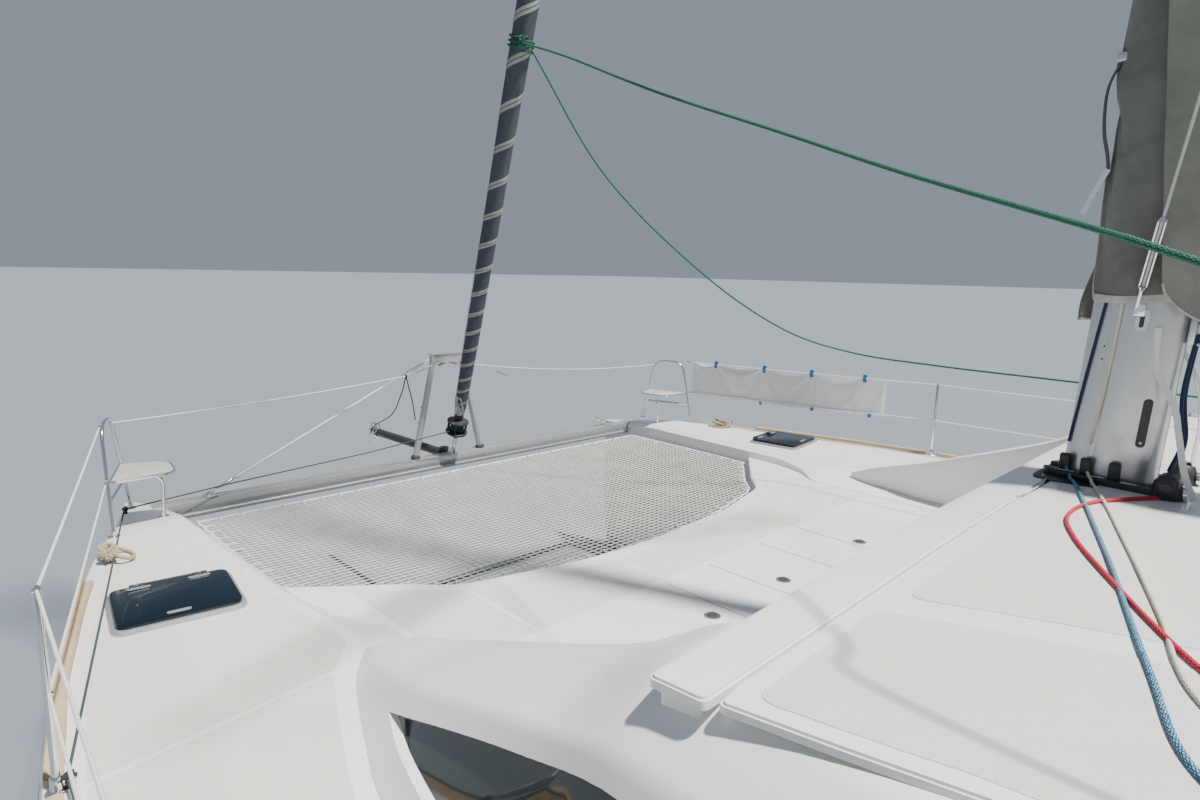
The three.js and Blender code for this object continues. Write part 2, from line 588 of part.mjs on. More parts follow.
// Crossbeam between the bows, with the striker frame, the short sprit and the net
function crossbeam() {
  const { x0, x1 } = { x0: BEAM_X - BEAM_HALF, x1: BEAM_X + BEAM_HALF };
  const c = 18;
  const outline = [
    [x0 + c, BEAM_FOOT], [x1 - c, BEAM_FOOT], [x1, BEAM_FOOT + c], [x1, BEAM_TOP - c],
    [x1 - c, BEAM_TOP], [x0 + c, BEAM_TOP], [x0, BEAM_TOP - c], [x0, BEAM_FOOT + c],
  ];
  return sideProfile(outline, -2560, 2560);
}

function strikerFrame() {
  let frame = block(BEAM_X - 14, BEAM_X + 14, -200, 200, 2610, 2700);
  for (const s of [-1, 1]) {
    frame = join(frame, rod([BEAM_X, s * 366, BEAM_TOP + GAP], [BEAM_X, s * 155, 2640], 30, 14));
    frame = join(frame, block(BEAM_X - 45, BEAM_X + 45, s * 366 - 55, s * 366 + 55, BEAM_TOP + GAP, BEAM_TOP + 12));
    frame = join(frame, rod([BEAM_X, s * 185, 2660], [BEAM_X, s * 2165, BEAM_TOP + 12], 5, 8));
    frame = join(frame, block(BEAM_X - 20, BEAM_X + 20, s * 2165 - 30, s * 2165 + 30, BEAM_TOP + GAP, BEAM_TOP + 24));
  }
  return cut(frame, moved(crossbeam(), 0, 0, GAP));
}

function bowsprit() {
  const face = BEAM_X + BEAM_HALF;
  const spar = join(rod([face - 10, 0, 1688], [7800, 0, 1660], 42, 16), block(face - 10, face + 14, -75, 75, 1625, 1692));
  return cut(spar, moved(crossbeam(), GAP, 0, 0), moved(crossbeam(), 0, 0, GAP));
}

function trampoline(hull, deck) {
  const reach = FOREDECK_EDGE.map(([y, x]) => [x + 45, y]);
  const aft = [...reach.slice(1).reverse().map(([x, y]) => [x, -y]), ...reach];
  let net = planProfile([...aft, [5960, 2370], [5960, -2370]], NET_Z - 5, NET_Z + 5);
  const lacing = (x0, x1, y0, y1) => block(x0, x1, y0, y1, NET_Z - 4, NET_Z + 4);
  for (let y = -2100; y <= 2100; y += 600) net = join(net, lacing(5950, BEAM_X - BEAM_HALF - GAP, y - 6, y + 6));
  for (const y of [-1900, -1000, 0, 1000, 1900]) net = join(net, lacing(3380, 4300, y - 6, y + 6));
  for (const x of [4600, 5100, 5600]) net = join(net, lacing(x - 6, x + 6, -2500, 2500));
  const tools = [moved(hull, 0, -GAP, 0), moved(mirrored(hull), 0, GAP, 0), moved(deck, GAP, 0, 0)];
  return cut(net, ...tools);
}

// Seat and rail on each bow
const HOOP = [[6110, 2712, 1600], [6010, 2802, 2451], [5682, 2915, 2451], [5536, 2924, 1700]];
const SEAT_PLAN = [[5575, 2925], [5600, 2560], [5660, 2510], [5900, 2480], [5975, 2520], [6085, 2765]];
const SEAT_Z = 2100;

function bowSeat(hull) {
  const rail = bentBar(HOOP, 15, 110, 30, 10);
  const seat = planProfile(SEAT_PLAN, SEAT_Z - 18, SEAT_Z);
  const leg = bentBar([[5765, 2585, 1700], [5765, 2560, 2030], [5765, 2700, 2090]], 15, 70, 8, 10);
  const cross = rod([6060, 2757, 1960], [5592, 2920, 1960], 12, 8);
  return cut(join(rail, seat, leg, cross), moved(hull, 0, 0, GAP));
}

// Stanchions along the deck edge. Columns: x, y
const POSTS = [[2960, 3575], [1000, 3640], [-900, 3650], [-2800, 3630], [-4400, 3560]];
const POST_HEIGHT = 730;
const WIRE_Z = [2105, 2465];

function lifeline() {
  const hoopY = [2921, 2916];
  const hoopX = [5610, 5668];
  const parts = [];
  for (const [x, y] of POSTS) {
    parts.push(rod([x, y, DECK_Z + GAP], [x, y - 12, DECK_Z + POST_HEIGHT], 13, 10));
    parts.push(rod([x, y - 12, DECK_Z + GAP], [x, y - 12, DECK_Z + 14], 34, 12));
  }
  WIRE_Z.forEach((z, k) => {
    const stops = [[hoopX[k] - 20, hoopY[k] + 5], ...POSTS.map(([x, y]) => [x, y - 8])];
    for (let i = 0; i < stops.length - 1; i += 1) parts.push(rod([...stops[i], z], [...stops[i + 1], z], 4, 6));
  });
  const [x, y] = POSTS[POSTS.length - 1];
  parts.push(bentBar([[x, y - 12, 2460], [x - 250, y - 12, 2460], [x - 250, y - 12, DECK_Z + GAP]], 13, 100, 12, 10));
  return join(...parts);
}

// Deck hatch, hinged at its forward edge
const HATCH = { x: 4235, y: 2895, turn: THREE.MathUtils.degToRad(-6.9), length: 540, width: 600, rim: 50, hinge: 262 };

function placeHatch(geometry) {
  return geometry.rotateZ(HATCH.turn).translate(HATCH.x, HATCH.y, DECK_Z + GAP);
}

function hatchFrame() {
  const { length, width, rim, hinge } = HATCH;
  const outer = block(-length / 2, length / 2, -width / 2, width / 2, 0, 24);
  const inner = block(rim - length / 2, length / 2 - rim, rim - width / 2, width / 2 - rim, -1, 30);
  let frame = cut(outer, inner);
  for (const s of [-1, 1]) frame = join(frame, block(hinge - 9, hinge + 8, s * 150 - 8, s * 150 + 8, 20, 50));
  return placeHatch(frame);
}

function hatchLid() {
  const { length, width, hinge } = HATCH;
  const slab = block(25 - length / 2, length / 2 - 25, 20 - width / 2, width / 2 - 20, 29, 45);
  let lid = cut(slab, block(hinge - 60, hinge + 10, -166, -134, 20, 60), block(hinge - 60, hinge + 10, 134, 166, 20, 60));
  lid = join(lid, rod([hinge, -134, 38], [hinge, 134, 38], 8, 10), block(hinge - 40, hinge, -120, 120, 31, 45));
  for (const s of [-1, 1]) {
    const side = s > 0 ? [158.6, 185] : [-185, -158.6];
    lid = join(lid, rod([hinge, side[0], 38], [hinge, side[1], 38], 8, 10), block(hinge - 40, hinge, side[0], side[1], 31, 45));
    const inner = s > 0 ? [130, 141.4] : [-141.4, -130];
    lid = join(lid, rod([hinge, inner[0], 38], [hinge, inner[1], 38], 8, 10));
  }
  return placeHatch(lid);
}

// Mast and standing rig
function mast() {
  const ring = [];
  for (let i = 0; i < 24; i += 1) {
    const a = (2 * Math.PI * i) / 24;
    ring.push([MAST_HALF_CHORD * Math.cos(a), MAST_HALF_WIDTH * Math.sin(a)]);
  }
  const tube = planProfile(ring, MAST_FOOT_Z + GAP, MAST_HEAD_Z);
  const lean = new THREE.Matrix4().set(
    1, 0, -Math.tan(RAKE), MAST_X + Math.tan(RAKE) * MAST_REF_Z,
    0, 1, 0, 0,
    0, 0, 1, 0,
    0, 0, 0, 1,
  );
  const spar = tube.applyMatrix4(lean);
  const crane = block(mastX(MAST_HEAD_Z) - 420, mastX(MAST_HEAD_Z) + 260, -45, 45, MAST_HEAD_Z - 60, MAST_HEAD_Z + 20);
  return join(spar, crane);
}

function mastStep() {
  const plate = block(MAST_X - 290, MAST_X + 262, -210, 210, 2585 + ROOF_CROWN + GAP, MAST_FOOT_Z - 22);
  return join(plate, block(MAST_X - 215, MAST_X + 215, -130, 130, MAST_FOOT_Z - 24, MAST_FOOT_Z));
}

// Standing rig on the port side. The spreaders reach out to the shroud, which leans on their tips.
const CHAINPLATE = { x: -500, y: 3480 };
const SHROUD_FOOT_Z = DECK_Z + 50;
const SHROUD_HEAD_Z = HOUNDS_Z - 80;
const MAST_SIDE = MAST_HALF_WIDTH + 1.5 * GAP;
const SPREADERS_Z = [9400, 15400];
const SPREADER = { rootFront: 80, rootAft: 90, tipHalf: 38, half: 14, clear: 9.5 };
const DIAMOND_FOOT_Z = 3420;
const DIAMOND_HEAD_Z = HOUNDS_Z - 250;

function shroudAt(z) {
  const share = (z - SHROUD_FOOT_Z) / (SHROUD_HEAD_Z - SHROUD_FOOT_Z);
  const x = THREE.MathUtils.lerp(CHAINPLATE.x, mastX(SHROUD_HEAD_Z), share);
  return [x, THREE.MathUtils.lerp(CHAINPLATE.y, MAST_SIDE + 12, share), z];
}

function diamond() {
  const { rootFront, rootAft, tipHalf, half, clear } = SPREADER;
  const parts = [];
  const stops = [[mastX(DIAMOND_FOOT_Z), MAST_SIDE + 10, DIAMOND_FOOT_Z]];
  for (const z of SPREADERS_Z) {
    const [x, out] = shroudAt(z);
    const y = out - clear;
    parts.push(planProfile([
      [mastX(z) + rootFront, MAST_SIDE], [x + tipHalf, y], [x - tipHalf, y], [mastX(z) - rootAft, MAST_SIDE],
    ], z - half, z + half));
    stops.push([x, y - 8, z]);
  }
  stops.push([mastX(DIAMOND_HEAD_Z), MAST_SIDE + 10, DIAMOND_HEAD_Z]);
  for (let i = 0; i < stops.length - 1; i += 1) parts.push(rod(stops[i], stops[i + 1], 6, 6));
  for (const z of [DIAMOND_FOOT_Z, DIAMOND_HEAD_Z]) {
    parts.push(block(mastX(z) - 30, mastX(z) + 30, MAST_SIDE, MAST_SIDE + 16, z - 60, z + 40));
  }
  return join(...parts);
}

function shroud() {
  const { x, y } = CHAINPLATE;
  const [headX, headY, headZ] = shroudAt(SHROUD_HEAD_Z);
  const foot = block(x - 45, x + 45, y - 12, y + 12, DECK_Z + GAP, DECK_Z + 70);
  const screw = rod([x, y, SHROUD_FOOT_Z], shroudAt(DECK_Z + 470), 15, 8);
  const head = block(headX - 30, headX + 30, MAST_SIDE, MAST_SIDE + 20, headZ - 60, headZ + 50);
  return join(foot, screw, head, rod([x, y, SHROUD_FOOT_Z], [headX, headY, headZ], 6, 6));
}

// Furling headsail, turning on the forestay. Distances run up the stay from its foot.
const DRUM = { from: 262, to: 402 };
const SAIL_TOP = 18700;
const FOIL_TOP = STAY_LENGTH - 190;

function forestayFoot() {
  const fork = block(6142 - 62, 6142 + 40, -30, 30, BEAM_TOP + GAP, BEAM_TOP + 60);
  return join(fork, turned([[0, 70], [26, 70], [20, DRUM.from - 0.6], [0, DRUM.from - 0.6]], STAY_FOOT, STAY_AXIS, 14));
}

function forestayHead() {
  const z = HOUNDS_Z;
  const face = mastX(z) + MAST_HALF_CHORD;
  const tang = block(face - 30, face + 80, -18, 18, z - 110, z + 60);
  const stay = turned([[0, FOIL_TOP + 0.6], [14, FOIL_TOP + 0.6], [14, STAY_LENGTH - 40], [0, STAY_LENGTH - 40]],
    STAY_FOOT, STAY_AXIS, 12);
  return cut(join(tang, stay), moved(mast(), GAP, 0, 0));
}

const drum = () => turned([
  [0, DRUM.from], [104, DRUM.from], [104, DRUM.from + 14], [46, DRUM.from + 20],
  [46, DRUM.to - 26], [104, DRUM.to - 20], [104, DRUM.to - 4], [34, DRUM.to], [34, 440], [0, 440],
], STAY_FOOT, STAY_AXIS, 24);

const headsail = () => turned([
  [0, 440.5], [28, 440.5], [58, 560], [70, 1500], [92, 3900], [96, 4300], [88, 9000], [66, 14500],
  [44, 18000], [26, SAIL_TOP], [17, SAIL_TOP + 20], [17, FOIL_TOP], [0, FOIL_TOP],
], STAY_FOOT, STAY_AXIS, 16);

// Gooseneck, boom and the mainsail stowed in its bag
function onSwivel(geometry) {
  return geometry.rotateY(-RAKE).translate(GOOSENECK.x, 0, GOOSENECK.z);
}

const SWIVEL = { pin: 11, bore: 11.8, sides: 24, sleeve: 30, half: 66, plate: 10 };

function gooseneck() {
  const { pin, half, plate, sides } = SWIVEL;
  const bracket = block(40, 65, -52, 52, -half - plate, half + plate);
  const lugs = [-1, 1].map((s) => {
    const z0 = s > 0 ? half : -half - plate;
    return block(-32, 45, -34, 34, z0, z0 + plate);
  });
  return onSwivel(join(bracket, ...lugs, rod([0, 0, -half - 2], [0, 0, half + 2], pin, sides)));
}

function boom() {
  const { bore, sleeve, half, sides } = SWIVEL;
  const fitting = join(rod([0, 0, 5 - half], [0, 0, half - 5], sleeve, 14), block(-170, -10, -26, 26, 10 - half, half - 10));
  const eye = onSwivel(cut(fitting, rod([0, 0, -100], [0, 0, 100], bore, sides)));
  const section = [[-70, -70], [-45, -115], [45, -115], [70, -70], [70, 70], [45, 115], [-45, 115], [-70, 70]];
  const spar = loft([-90, -BOOM_LENGTH].map((x) => section.map(([y, z]) => [x, y, z])));
  spar.rotateY(BOOM_RISE).translate(GOOSENECK.x, 0, GOOSENECK.z);
  return join(spar, eye);
}

// Bag stations from the mast aft. Distance aft of the swivel, foot half width, belly half width, top z
const BAG = [
  [150, 75, 150, 4700],
  [500, 85, 205, 4640],
  [1500, 85, 215, 4440],
  [3000, 80, 190, 4230],
  [4500, 75, 150, 4060],
  [5250, 65, 100, 3960],
];

function sailBag() {
  return loft(BAG.map(([aft, foot, belly, top]) => {
    const x = GOOSENECK.x - aft;
    const low = GOOSENECK.z + 115.5 + aft * Math.tan(BOOM_RISE);
    const rise = top - low;
    const half = [[foot, low], [belly, low + rise * 0.3], [belly * 0.95, low + rise * 0.6], [belly * 0.35, low + rise * 0.95], [20, top]];
    return [...half.map(([y, z]) => [x, y, z]), ...half.map(([y, z]) => [x, -y, z]).reverse()];
  }));
}

// White cloth laced to the starboard lifelines
function sideScreen() {
  const out = 4 + GAP;
  const line = (x) => -(2921 + ((5648 - x) * (3567 - 2921)) / (5648 - 2960)) - out;
  const columns = [5560, 4500, 3420];
  return loft(columns.map((x) => [[x, line(x), 2070], [x, line(x) - 8, 2070], [x, line(x) - 8, 2468], [x, line(x), 2468]]));
}

// The whole boat
const boat = new THREE.Group();

function add(name, geometry, look) {
  const material = new THREE.MeshStandardMaterial(look);
  const mesh = new THREE.Mesh(geometry, material);
  mesh.name = name;
  boat.add(mesh);
}

function addPair(name, geometry, look) {
  add(`${name}_port`, geometry, look);
  add(`${name}_starboard`, mirrored(geometry), look);
}

const hull = portHull();
const deck = bridgedeck(hull);
const roof = coachroof(hull, deck);

addPair('hull', hull, GELCOAT);
addPair('keel', portKeel(hull), ANTIFOUL);
addPair('rudder', portRudder(), ANTIFOUL);
addPair('saildrive', portDrive(hull), ALLOY);
addPair('propeller', portPropeller(), BRONZE);
add('bridgedeck', deck, GELCOAT);
add('coachroof', roof, GELCOAT);
addPair('side_window', portWindow(), GLASS);
add('windshield', windshield(), GLASS);
add('saloon_bulkhead', bulkhead(hull, deck), GELCOAT);
add('aft_window', aftWindow(), GLASS);
add('saloon_door', saloonDoor(), GLASS);
add('saloon_settee', saloonSettee(), CUSHION);
add('saloon_table', saloonTable(), GELCOAT);
add('galley', galley(), GELCOAT);
add('winches', winches(roof), STEEL);
add('cockpit_bench', cockpitBench(hull), GELCOAT);
add('cockpit_table', cockpitTable(), GELCOAT);
add('helm_console', helmConsole(hull), GELCOAT);
add('helm_seat', helmSeat(), CUSHION);
add('steering_wheel', steeringWheel(), STEEL);
add('hardtop', hardtop(hull), GELCOAT);
add('davits', davits(), STEEL);
add('crossbeam', crossbeam(), ALLOY);
add('striker_frame', strikerFrame(), ALLOY);
add('bowsprit', bowsprit(), BLACK);
add('trampoline', trampoline(hull, deck), NET);
addPair('bow_seat', bowSeat(hull), STEEL);
addPair('lifeline', lifeline(), STEEL);
addPair('hatch_frame', hatchFrame(), ALLOY);
addPair('hatch_lid', hatchLid(), GLASS);
add('mast_step', mastStep(), BLACK);
add('mast', mast(), ALLOY);
addPair('diamond', diamond(), STEEL);
addPair('shroud', shroud(), STEEL);
add('forestay_foot', forestayFoot(), STEEL);
add('forestay_head', forestayHead(), STEEL);
add('furler_drum', drum(), BLACK);
add('furled_headsail', headsail(), SAILCLOTH);
add('gooseneck', gooseneck(), ALLOY);
add('boom', boom(), ALLOY);
add('sail_bag', sailBag(), CANVAS);
add('side_screen', sideScreen(), CLOTH);

export default boat;
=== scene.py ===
# %% [markdown]
# # A cruising catamaran, dressed round its frame
# The solids of the boat are loaded as a fixed frame, and each cell below dresses one part of it:
# smooth hulls over the faceted ones, deck panels, a knotted net, ropes, a rolled sail and so on.
# Everything is in metres. X points to the bows, Y to port, Z up, and Z = 0 is the waterline.

from math import atan2, copysign, cos, degrees, exp, hypot, pi, radians, sin, sqrt, tan

import bmesh
import bpy
from mathutils import Matrix, Vector


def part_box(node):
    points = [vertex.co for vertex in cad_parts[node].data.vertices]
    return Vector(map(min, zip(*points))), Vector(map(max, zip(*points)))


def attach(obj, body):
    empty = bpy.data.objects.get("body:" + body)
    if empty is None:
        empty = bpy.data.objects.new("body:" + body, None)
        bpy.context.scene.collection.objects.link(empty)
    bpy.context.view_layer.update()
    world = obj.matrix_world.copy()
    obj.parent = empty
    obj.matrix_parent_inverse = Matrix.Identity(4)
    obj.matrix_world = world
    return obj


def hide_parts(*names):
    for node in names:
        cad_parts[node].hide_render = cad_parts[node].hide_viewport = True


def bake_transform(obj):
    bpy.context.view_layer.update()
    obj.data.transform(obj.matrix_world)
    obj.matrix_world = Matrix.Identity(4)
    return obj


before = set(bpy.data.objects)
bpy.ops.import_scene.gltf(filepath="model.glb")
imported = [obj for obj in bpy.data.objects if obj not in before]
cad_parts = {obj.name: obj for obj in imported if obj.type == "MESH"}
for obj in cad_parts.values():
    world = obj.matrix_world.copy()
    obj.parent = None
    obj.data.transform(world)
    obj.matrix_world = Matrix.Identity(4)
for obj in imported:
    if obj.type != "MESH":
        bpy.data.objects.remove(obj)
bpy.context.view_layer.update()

# %% [markdown]
# ## The camera
# The picture was taken from above the port side deck, looking forward and to starboard across the
# net. Its place and lens were worked out from points that lie alike on both sides of the boat.

# %% Camera
def in_scene(name, data):
    """A new object in the scene."""
    made = bpy.data.objects.new(name, data)
    bpy.context.scene.collection.objects.link(made)
    return made


EYE = Vector((0.167, 3.804, 3.5))
HEADING, DIP, TILT = (radians(a) for a in (-44.19, 10.01, 1.24))
SENSOR = 36
FOCAL_SHARE = 729.4 / 1200

ahead = Vector((cos(HEADING) * cos(DIP), sin(HEADING) * cos(DIP), -sin(DIP)))
level = Vector((sin(HEADING), -cos(HEADING), 0))
over = level.cross(ahead)
across = level * cos(TILT) + over * sin(TILT)
upward = over * cos(TILT) - level * sin(TILT)
lens = bpy.data.cameras.new("photo_camera")
lens.sensor_width = SENSOR
lens.lens = SENSOR * FOCAL_SHARE
lens.clip_end = 900
camera = in_scene("photo_camera", lens)
camera.matrix_world = Matrix.Translation(EYE) @ Matrix((across, upward, -ahead)).transposed().to_4x4()
bpy.context.scene.camera = camera
print("camera: lens", round(lens.lens, 1), "mm")

# %% [markdown]
# ## Building blocks
# A mesh is only points and faces. `Shape` gathers both, with a finish for each face and a UV that
# runs round a bar and along it in metres, so that ropes and cloth can carry a pattern.

# %% Curves through a few points
def flowing(points, steps=6):
    """Points on one smooth curve through the given ones."""
    p = [Vector(q) for q in points]
    p = [2 * p[0] - p[1], *p, 2 * p[-1] - p[-2]]
    made = []
    for i in range(1, len(p) - 2):
        for s in range(steps):
            t = s / steps
            a, b, c, d = p[i - 1:i + 3]
            made.append(0.5 * (2 * b + (c - a) * t + (2 * a - 5 * b + 4 * c - d) * t * t
                               + (3 * b - a - 3 * c + d) * t ** 3))
    return made + [p[-2]]


def curve_of(table, column, corners=()):
    """Smooth function of a table's first column that never overshoots, with a kink at each corner."""
    rows = sorted((row[0], row[column]) for row in table)
    xs, ys = [r[0] for r in rows], [r[1] for r in rows]
    slope = [(ys[i + 1] - ys[i]) / (xs[i + 1] - xs[i]) for i in range(len(xs) - 1)]

    def tangent(i, side):
        if i == 0 or i == len(xs) - 1 or xs[i] in corners:
            return slope[min(max(i + side, 0), len(slope) - 1)]
        a, b = slope[i - 1], slope[i]
        return 0 if a * b <= 0 else 2 * a * b / (a + b)

    def value(x):
        x = min(max(x, xs[0]), xs[-1])
        i = max(k for k in range(len(slope)) if xs[k] <= x)
        h = xs[i + 1] - xs[i]
        t = (x - xs[i]) / h
        return (ys[i] * (1 + 2 * t) * (1 - t) ** 2 + ys[i + 1] * t * t * (3 - 2 * t)
                + h * (tangent(i, 0) * t * (1 - t) ** 2 + tangent(i + 1, -1) * t * t * (t - 1)))
    return value


def spread(a, b, count):
    """Evenly spaced numbers from a to b, both included."""
    return [a + (b - a) * i / (count - 1) for i in range(count)]


def full_turn(count):
    """Angles evenly spaced round a circle."""
    return spread(0, 2 * pi, count + 1)[:-1]


def hanging(a, b, sag, count=12):
    """Points along a line that hangs between two ends and sags by so much in its middle."""
    a, b = Vector(a), Vector(b)
    return [a.lerp(b, t) - Vector((0, 0, 4 * sag * t * (1 - t))) for t in spread(0, 1, count)]


# %% Shapes
class Shape:
    """Points, faces, finishes and UVs of one piece while it is being made."""

    def __init__(self):
        self.points, self.faces, self.finish, self.uvs = [], [], [], []

    def face(self, corners, finish=0, uv=None):
        self.faces.append(corners)
        self.finish.append(finish)
        self.uvs.extend(uv or [(0.0, 0.0)] * len(corners))

    def skin(self, rings, finish=0, caps=True):
        """Skin over rings with the same number of points. V runs along in metres, U once round."""
        base, n = len(self.points), len(rings[0])
        rings = [[Vector(p) for p in ring] for ring in rings]
        for ring in rings:
            self.points.extend(ring)
        run = 0.0
        for i in range(len(rings) - 1):
            step = sum(((a - b).length for a, b in zip(rings[i], rings[i + 1])), 0.0) / n
            for j in range(n):
                k = (j + 1) % n
                a, b = base + i * n + j, base + i * n + k
                u0, u1 = j / n, (j + 1) / n
                self.face((a, b, b + n, a + n), finish,
                          [(u0, run), (u1, run), (u1, run + step), (u0, run + step)])
            run += step
        if caps:
            for ring in (0, len(rings) - 1):
                self.face(tuple(base + ring * n + j for j in range(n)), finish)
        return self

    def tube(self, path, radius, finish=0, sides=10, loop=False):
        """Round bar along a path. The radius is one number or one for each point."""
        path = [Vector(p) for p in path]
        radii = radius if isinstance(radius, (list, tuple)) else [radius] * len(path)
        last = len(path) - 1
        frames, normal = [], None
        for i, p in enumerate(path):
            before = path[i - 1] if i or loop else p
            after = path[(i + 1) % len(path)] if i < last or loop else p
            along = (after - before).normalized()
            if normal is None:
                normal = along.orthogonal().normalized()
            normal = (normal - along * normal.dot(along)).normalized()
            side = along.cross(normal)
            frames.append([p + radii[i] * (normal * cos(a) + side * sin(a))
                           for a in full_turn(sides)])
        if loop:
            frames.append(frames[0])
        return self.skin(frames, finish, caps=not loop)

    def turned(self, profile, origin, axis=(0, 0, 1), finish=0, sides=24):
        """Turned shape. Profile rows are radius and distance along the axis, from end to end."""
        axis = Vector(axis).normalized()
        turn = Vector((0, 0, 1)).rotation_difference(axis).to_matrix()
        origin = Vector(origin)
        rings = [[origin + turn @ Vector((max(r, 1e-4) * cos(a), max(r, 1e-4) * sin(a), s))
                  for a in full_turn(sides)] for r, s in profile]
        return self.skin(rings, finish)

    def box(self, low, high, finish=0, soft=0.0):
        """Block between two corners, its upright edges rounded by soft."""
        (x0, y0, z0), (x1, y1, z1) = low, high
        outline = oblong(x0, y0, x1, y1, soft) if soft else [(x0, y0), (x1, y0), (x1, y1), (x0, y1)]
        return self.plate(outline, z0, z1, finish, lip=min(soft, (z1 - z0) / 3))

    def plate(self, outline, z0, z1, finish=0, lip=0.0):
        """Flat plate with a plan outline, its upper and lower edges eased by lip."""
        levels = [(0, z0), (0, z1)] if not lip else [
            (lip, z0), (0.3 * lip, z0 + 0.3 * lip), (0, z0 + lip),
            (0, z1 - lip), (0.3 * lip, z1 - 0.3 * lip), (lip, z1)]
        rings = [[(x, y, z) for x, y in inset(outline, by)] for by, z in levels]
        return self.skin(rings, finish)

    def moved(self, matrix, start=0):
        """Turns and shifts the points added since start."""
        self.points[start:] = [matrix @ Vector(p) for p in self.points[start:]]
        return self

    def mirrored(self):
        """The same shape on the other side of the boat."""
        other = Shape()
        other.points = [Vector((p[0], -p[1], p[2])) for p in self.points]
        other.faces, other.finish, other.uvs = list(self.faces), list(self.finish), list(self.uvs)
        return other

    def mesh(self, name):
        """A Blender mesh, with its doubles merged and its faces pointing outwards."""
        made = bpy.data.meshes.new(name)
        made.from_pydata(self.points, [], self.faces)
        made.polygons.foreach_set("material_index", self.finish)
        layer = made.uv_layers.new(name="UVMap")
        layer.data.foreach_set("uv", [c for pair in self.uvs for c in pair])
        work = bmesh.new()
        work.from_mesh(made)
        bmesh.ops.remove_doubles(work, verts=work.verts, dist=2e-5)
        bmesh.ops.dissolve_degenerate(work, edges=work.edges, dist=1e-6)
        bmesh.ops.recalc_face_normals(work, faces=work.faces)
        work.to_mesh(made)
        work.free()
        return made


def inset(outline, by):
    """A plan outline moved inwards by a distance."""
    if not by:
        return outline
    pts = [Vector(p) for p in outline]
    area = sum(a.x * b.y - b.x * a.y for a, b in zip(pts, pts[1:] + pts[:1]))
    sign = 1 if area > 0 else -1
    made = []
    for i, p in enumerate(pts):
        a, b = (p - pts[i - 1]).normalized(), (pts[(i + 1) % len(pts)] - p).normalized()
        bisector = Vector((-a.y - b.y, a.x + b.x)).normalized() * sign
        made.append(tuple(p + bisector * by / max(0.4, bisector.dot(Vector((-b.y, b.x)) * sign))))
    return made


def rounded(outline, radius, steps=4):
    """A plan outline with its corners rounded."""
    pts = [Vector(p) for p in outline]
    made = []
    for i, p in enumerate(pts):
        a, b = pts[i - 1] - p, pts[(i + 1) % len(pts)] - p
        reach = min(radius, 0.48 * a.length, 0.48 * b.length)
        a, b = p + a.normalized() * reach, p + b.normalized() * reach
        for t in spread(0, 1, steps + 1):
            made.append(tuple(a * (1 - t) ** 2 + 2 * p * t * (1 - t) + b * t * t))
    return made


def oblong(x0, y0, x1, y1, corner, steps=4):
    """Plan of a rectangle between two opposite corners, with round corners."""
    return rounded([(x0, y0), (x1, y0), (x1, y1), (x0, y1)], corner, steps)


def placed(place, angle, axis="Z"):
    """A turn about an axis, then a shift."""
    return Matrix.Translation(place) @ Matrix.Rotation(angle, 4, axis)


# %% Pieces
ROOT = "root"


def piece(name, form, finishes, body=ROOT, replaces=(), sharp=35):
    """A finished piece from a shape or a mesh: shaded smooth up to an angle, and on its body."""
    mesh = form.mesh(name) if isinstance(form, Shape) else form
    if mesh is form:
        mesh.materials.clear()
    for finish in finishes:
        mesh.materials.append(finish)
    obj = in_scene(name, mesh)
    mesh.shade_smooth()
    mesh.set_sharp_from_angle(angle=radians(sharp))
    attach(obj, body)
    if replaces:
        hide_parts(*replaces)
    return obj


def on_both_sides(name, shape, finishes, body=ROOT, replaces=(), sharp=35):
    """Port and starboard pieces from the port shape. Names of nodes and bodies get the side added."""
    for side, form in (("port", shape), ("starboard", shape.mirrored())):
        rider = body if body == ROOT else f"{body}_{side}"
        piece(f"{name}_{side}", form, finishes, rider, [f"{node}_{side}" for node in replaces], sharp)


def taken_off(helper):
    """The plain mesh that a helper's modifiers make. The helper goes."""
    bpy.context.view_layer.update()
    view = bpy.context.evaluated_depsgraph_get()
    result = bpy.data.meshes.new_from_object(helper.evaluated_get(view))
    bpy.data.objects.remove(helper)
    return result


def carved(mesh, cutters, how="DIFFERENCE", crossing=False):
    """The mesh with each cutter taken away in turn, or with the part that they share.
    crossing says that the mesh is several shells that pass through each other."""
    whole, *helpers = [in_scene(f"helper_{i}", m) for i, m in enumerate([mesh, *cutters])]
    for cutter in helpers:
        change = whole.modifiers.new("cut", "BOOLEAN")
        change.object, change.operation, change.solver = cutter, how, "EXACT"
        change.use_self = crossing
    result = taken_off(whole)
    for helper in helpers:
        bpy.data.objects.remove(helper)
    return result


def mirror_mesh(mesh, name):
    """A copy of a finished mesh for the other side."""
    other = mesh.copy()
    other.name = name
    work = bmesh.new()
    work.from_mesh(other)
    bmesh.ops.transform(work, matrix=Matrix.Scale(-1, 4, (0, 1, 0)), verts=work.verts)
    bmesh.ops.recalc_face_normals(work, faces=work.faces)
    work.to_mesh(other)
    work.free()
    return other


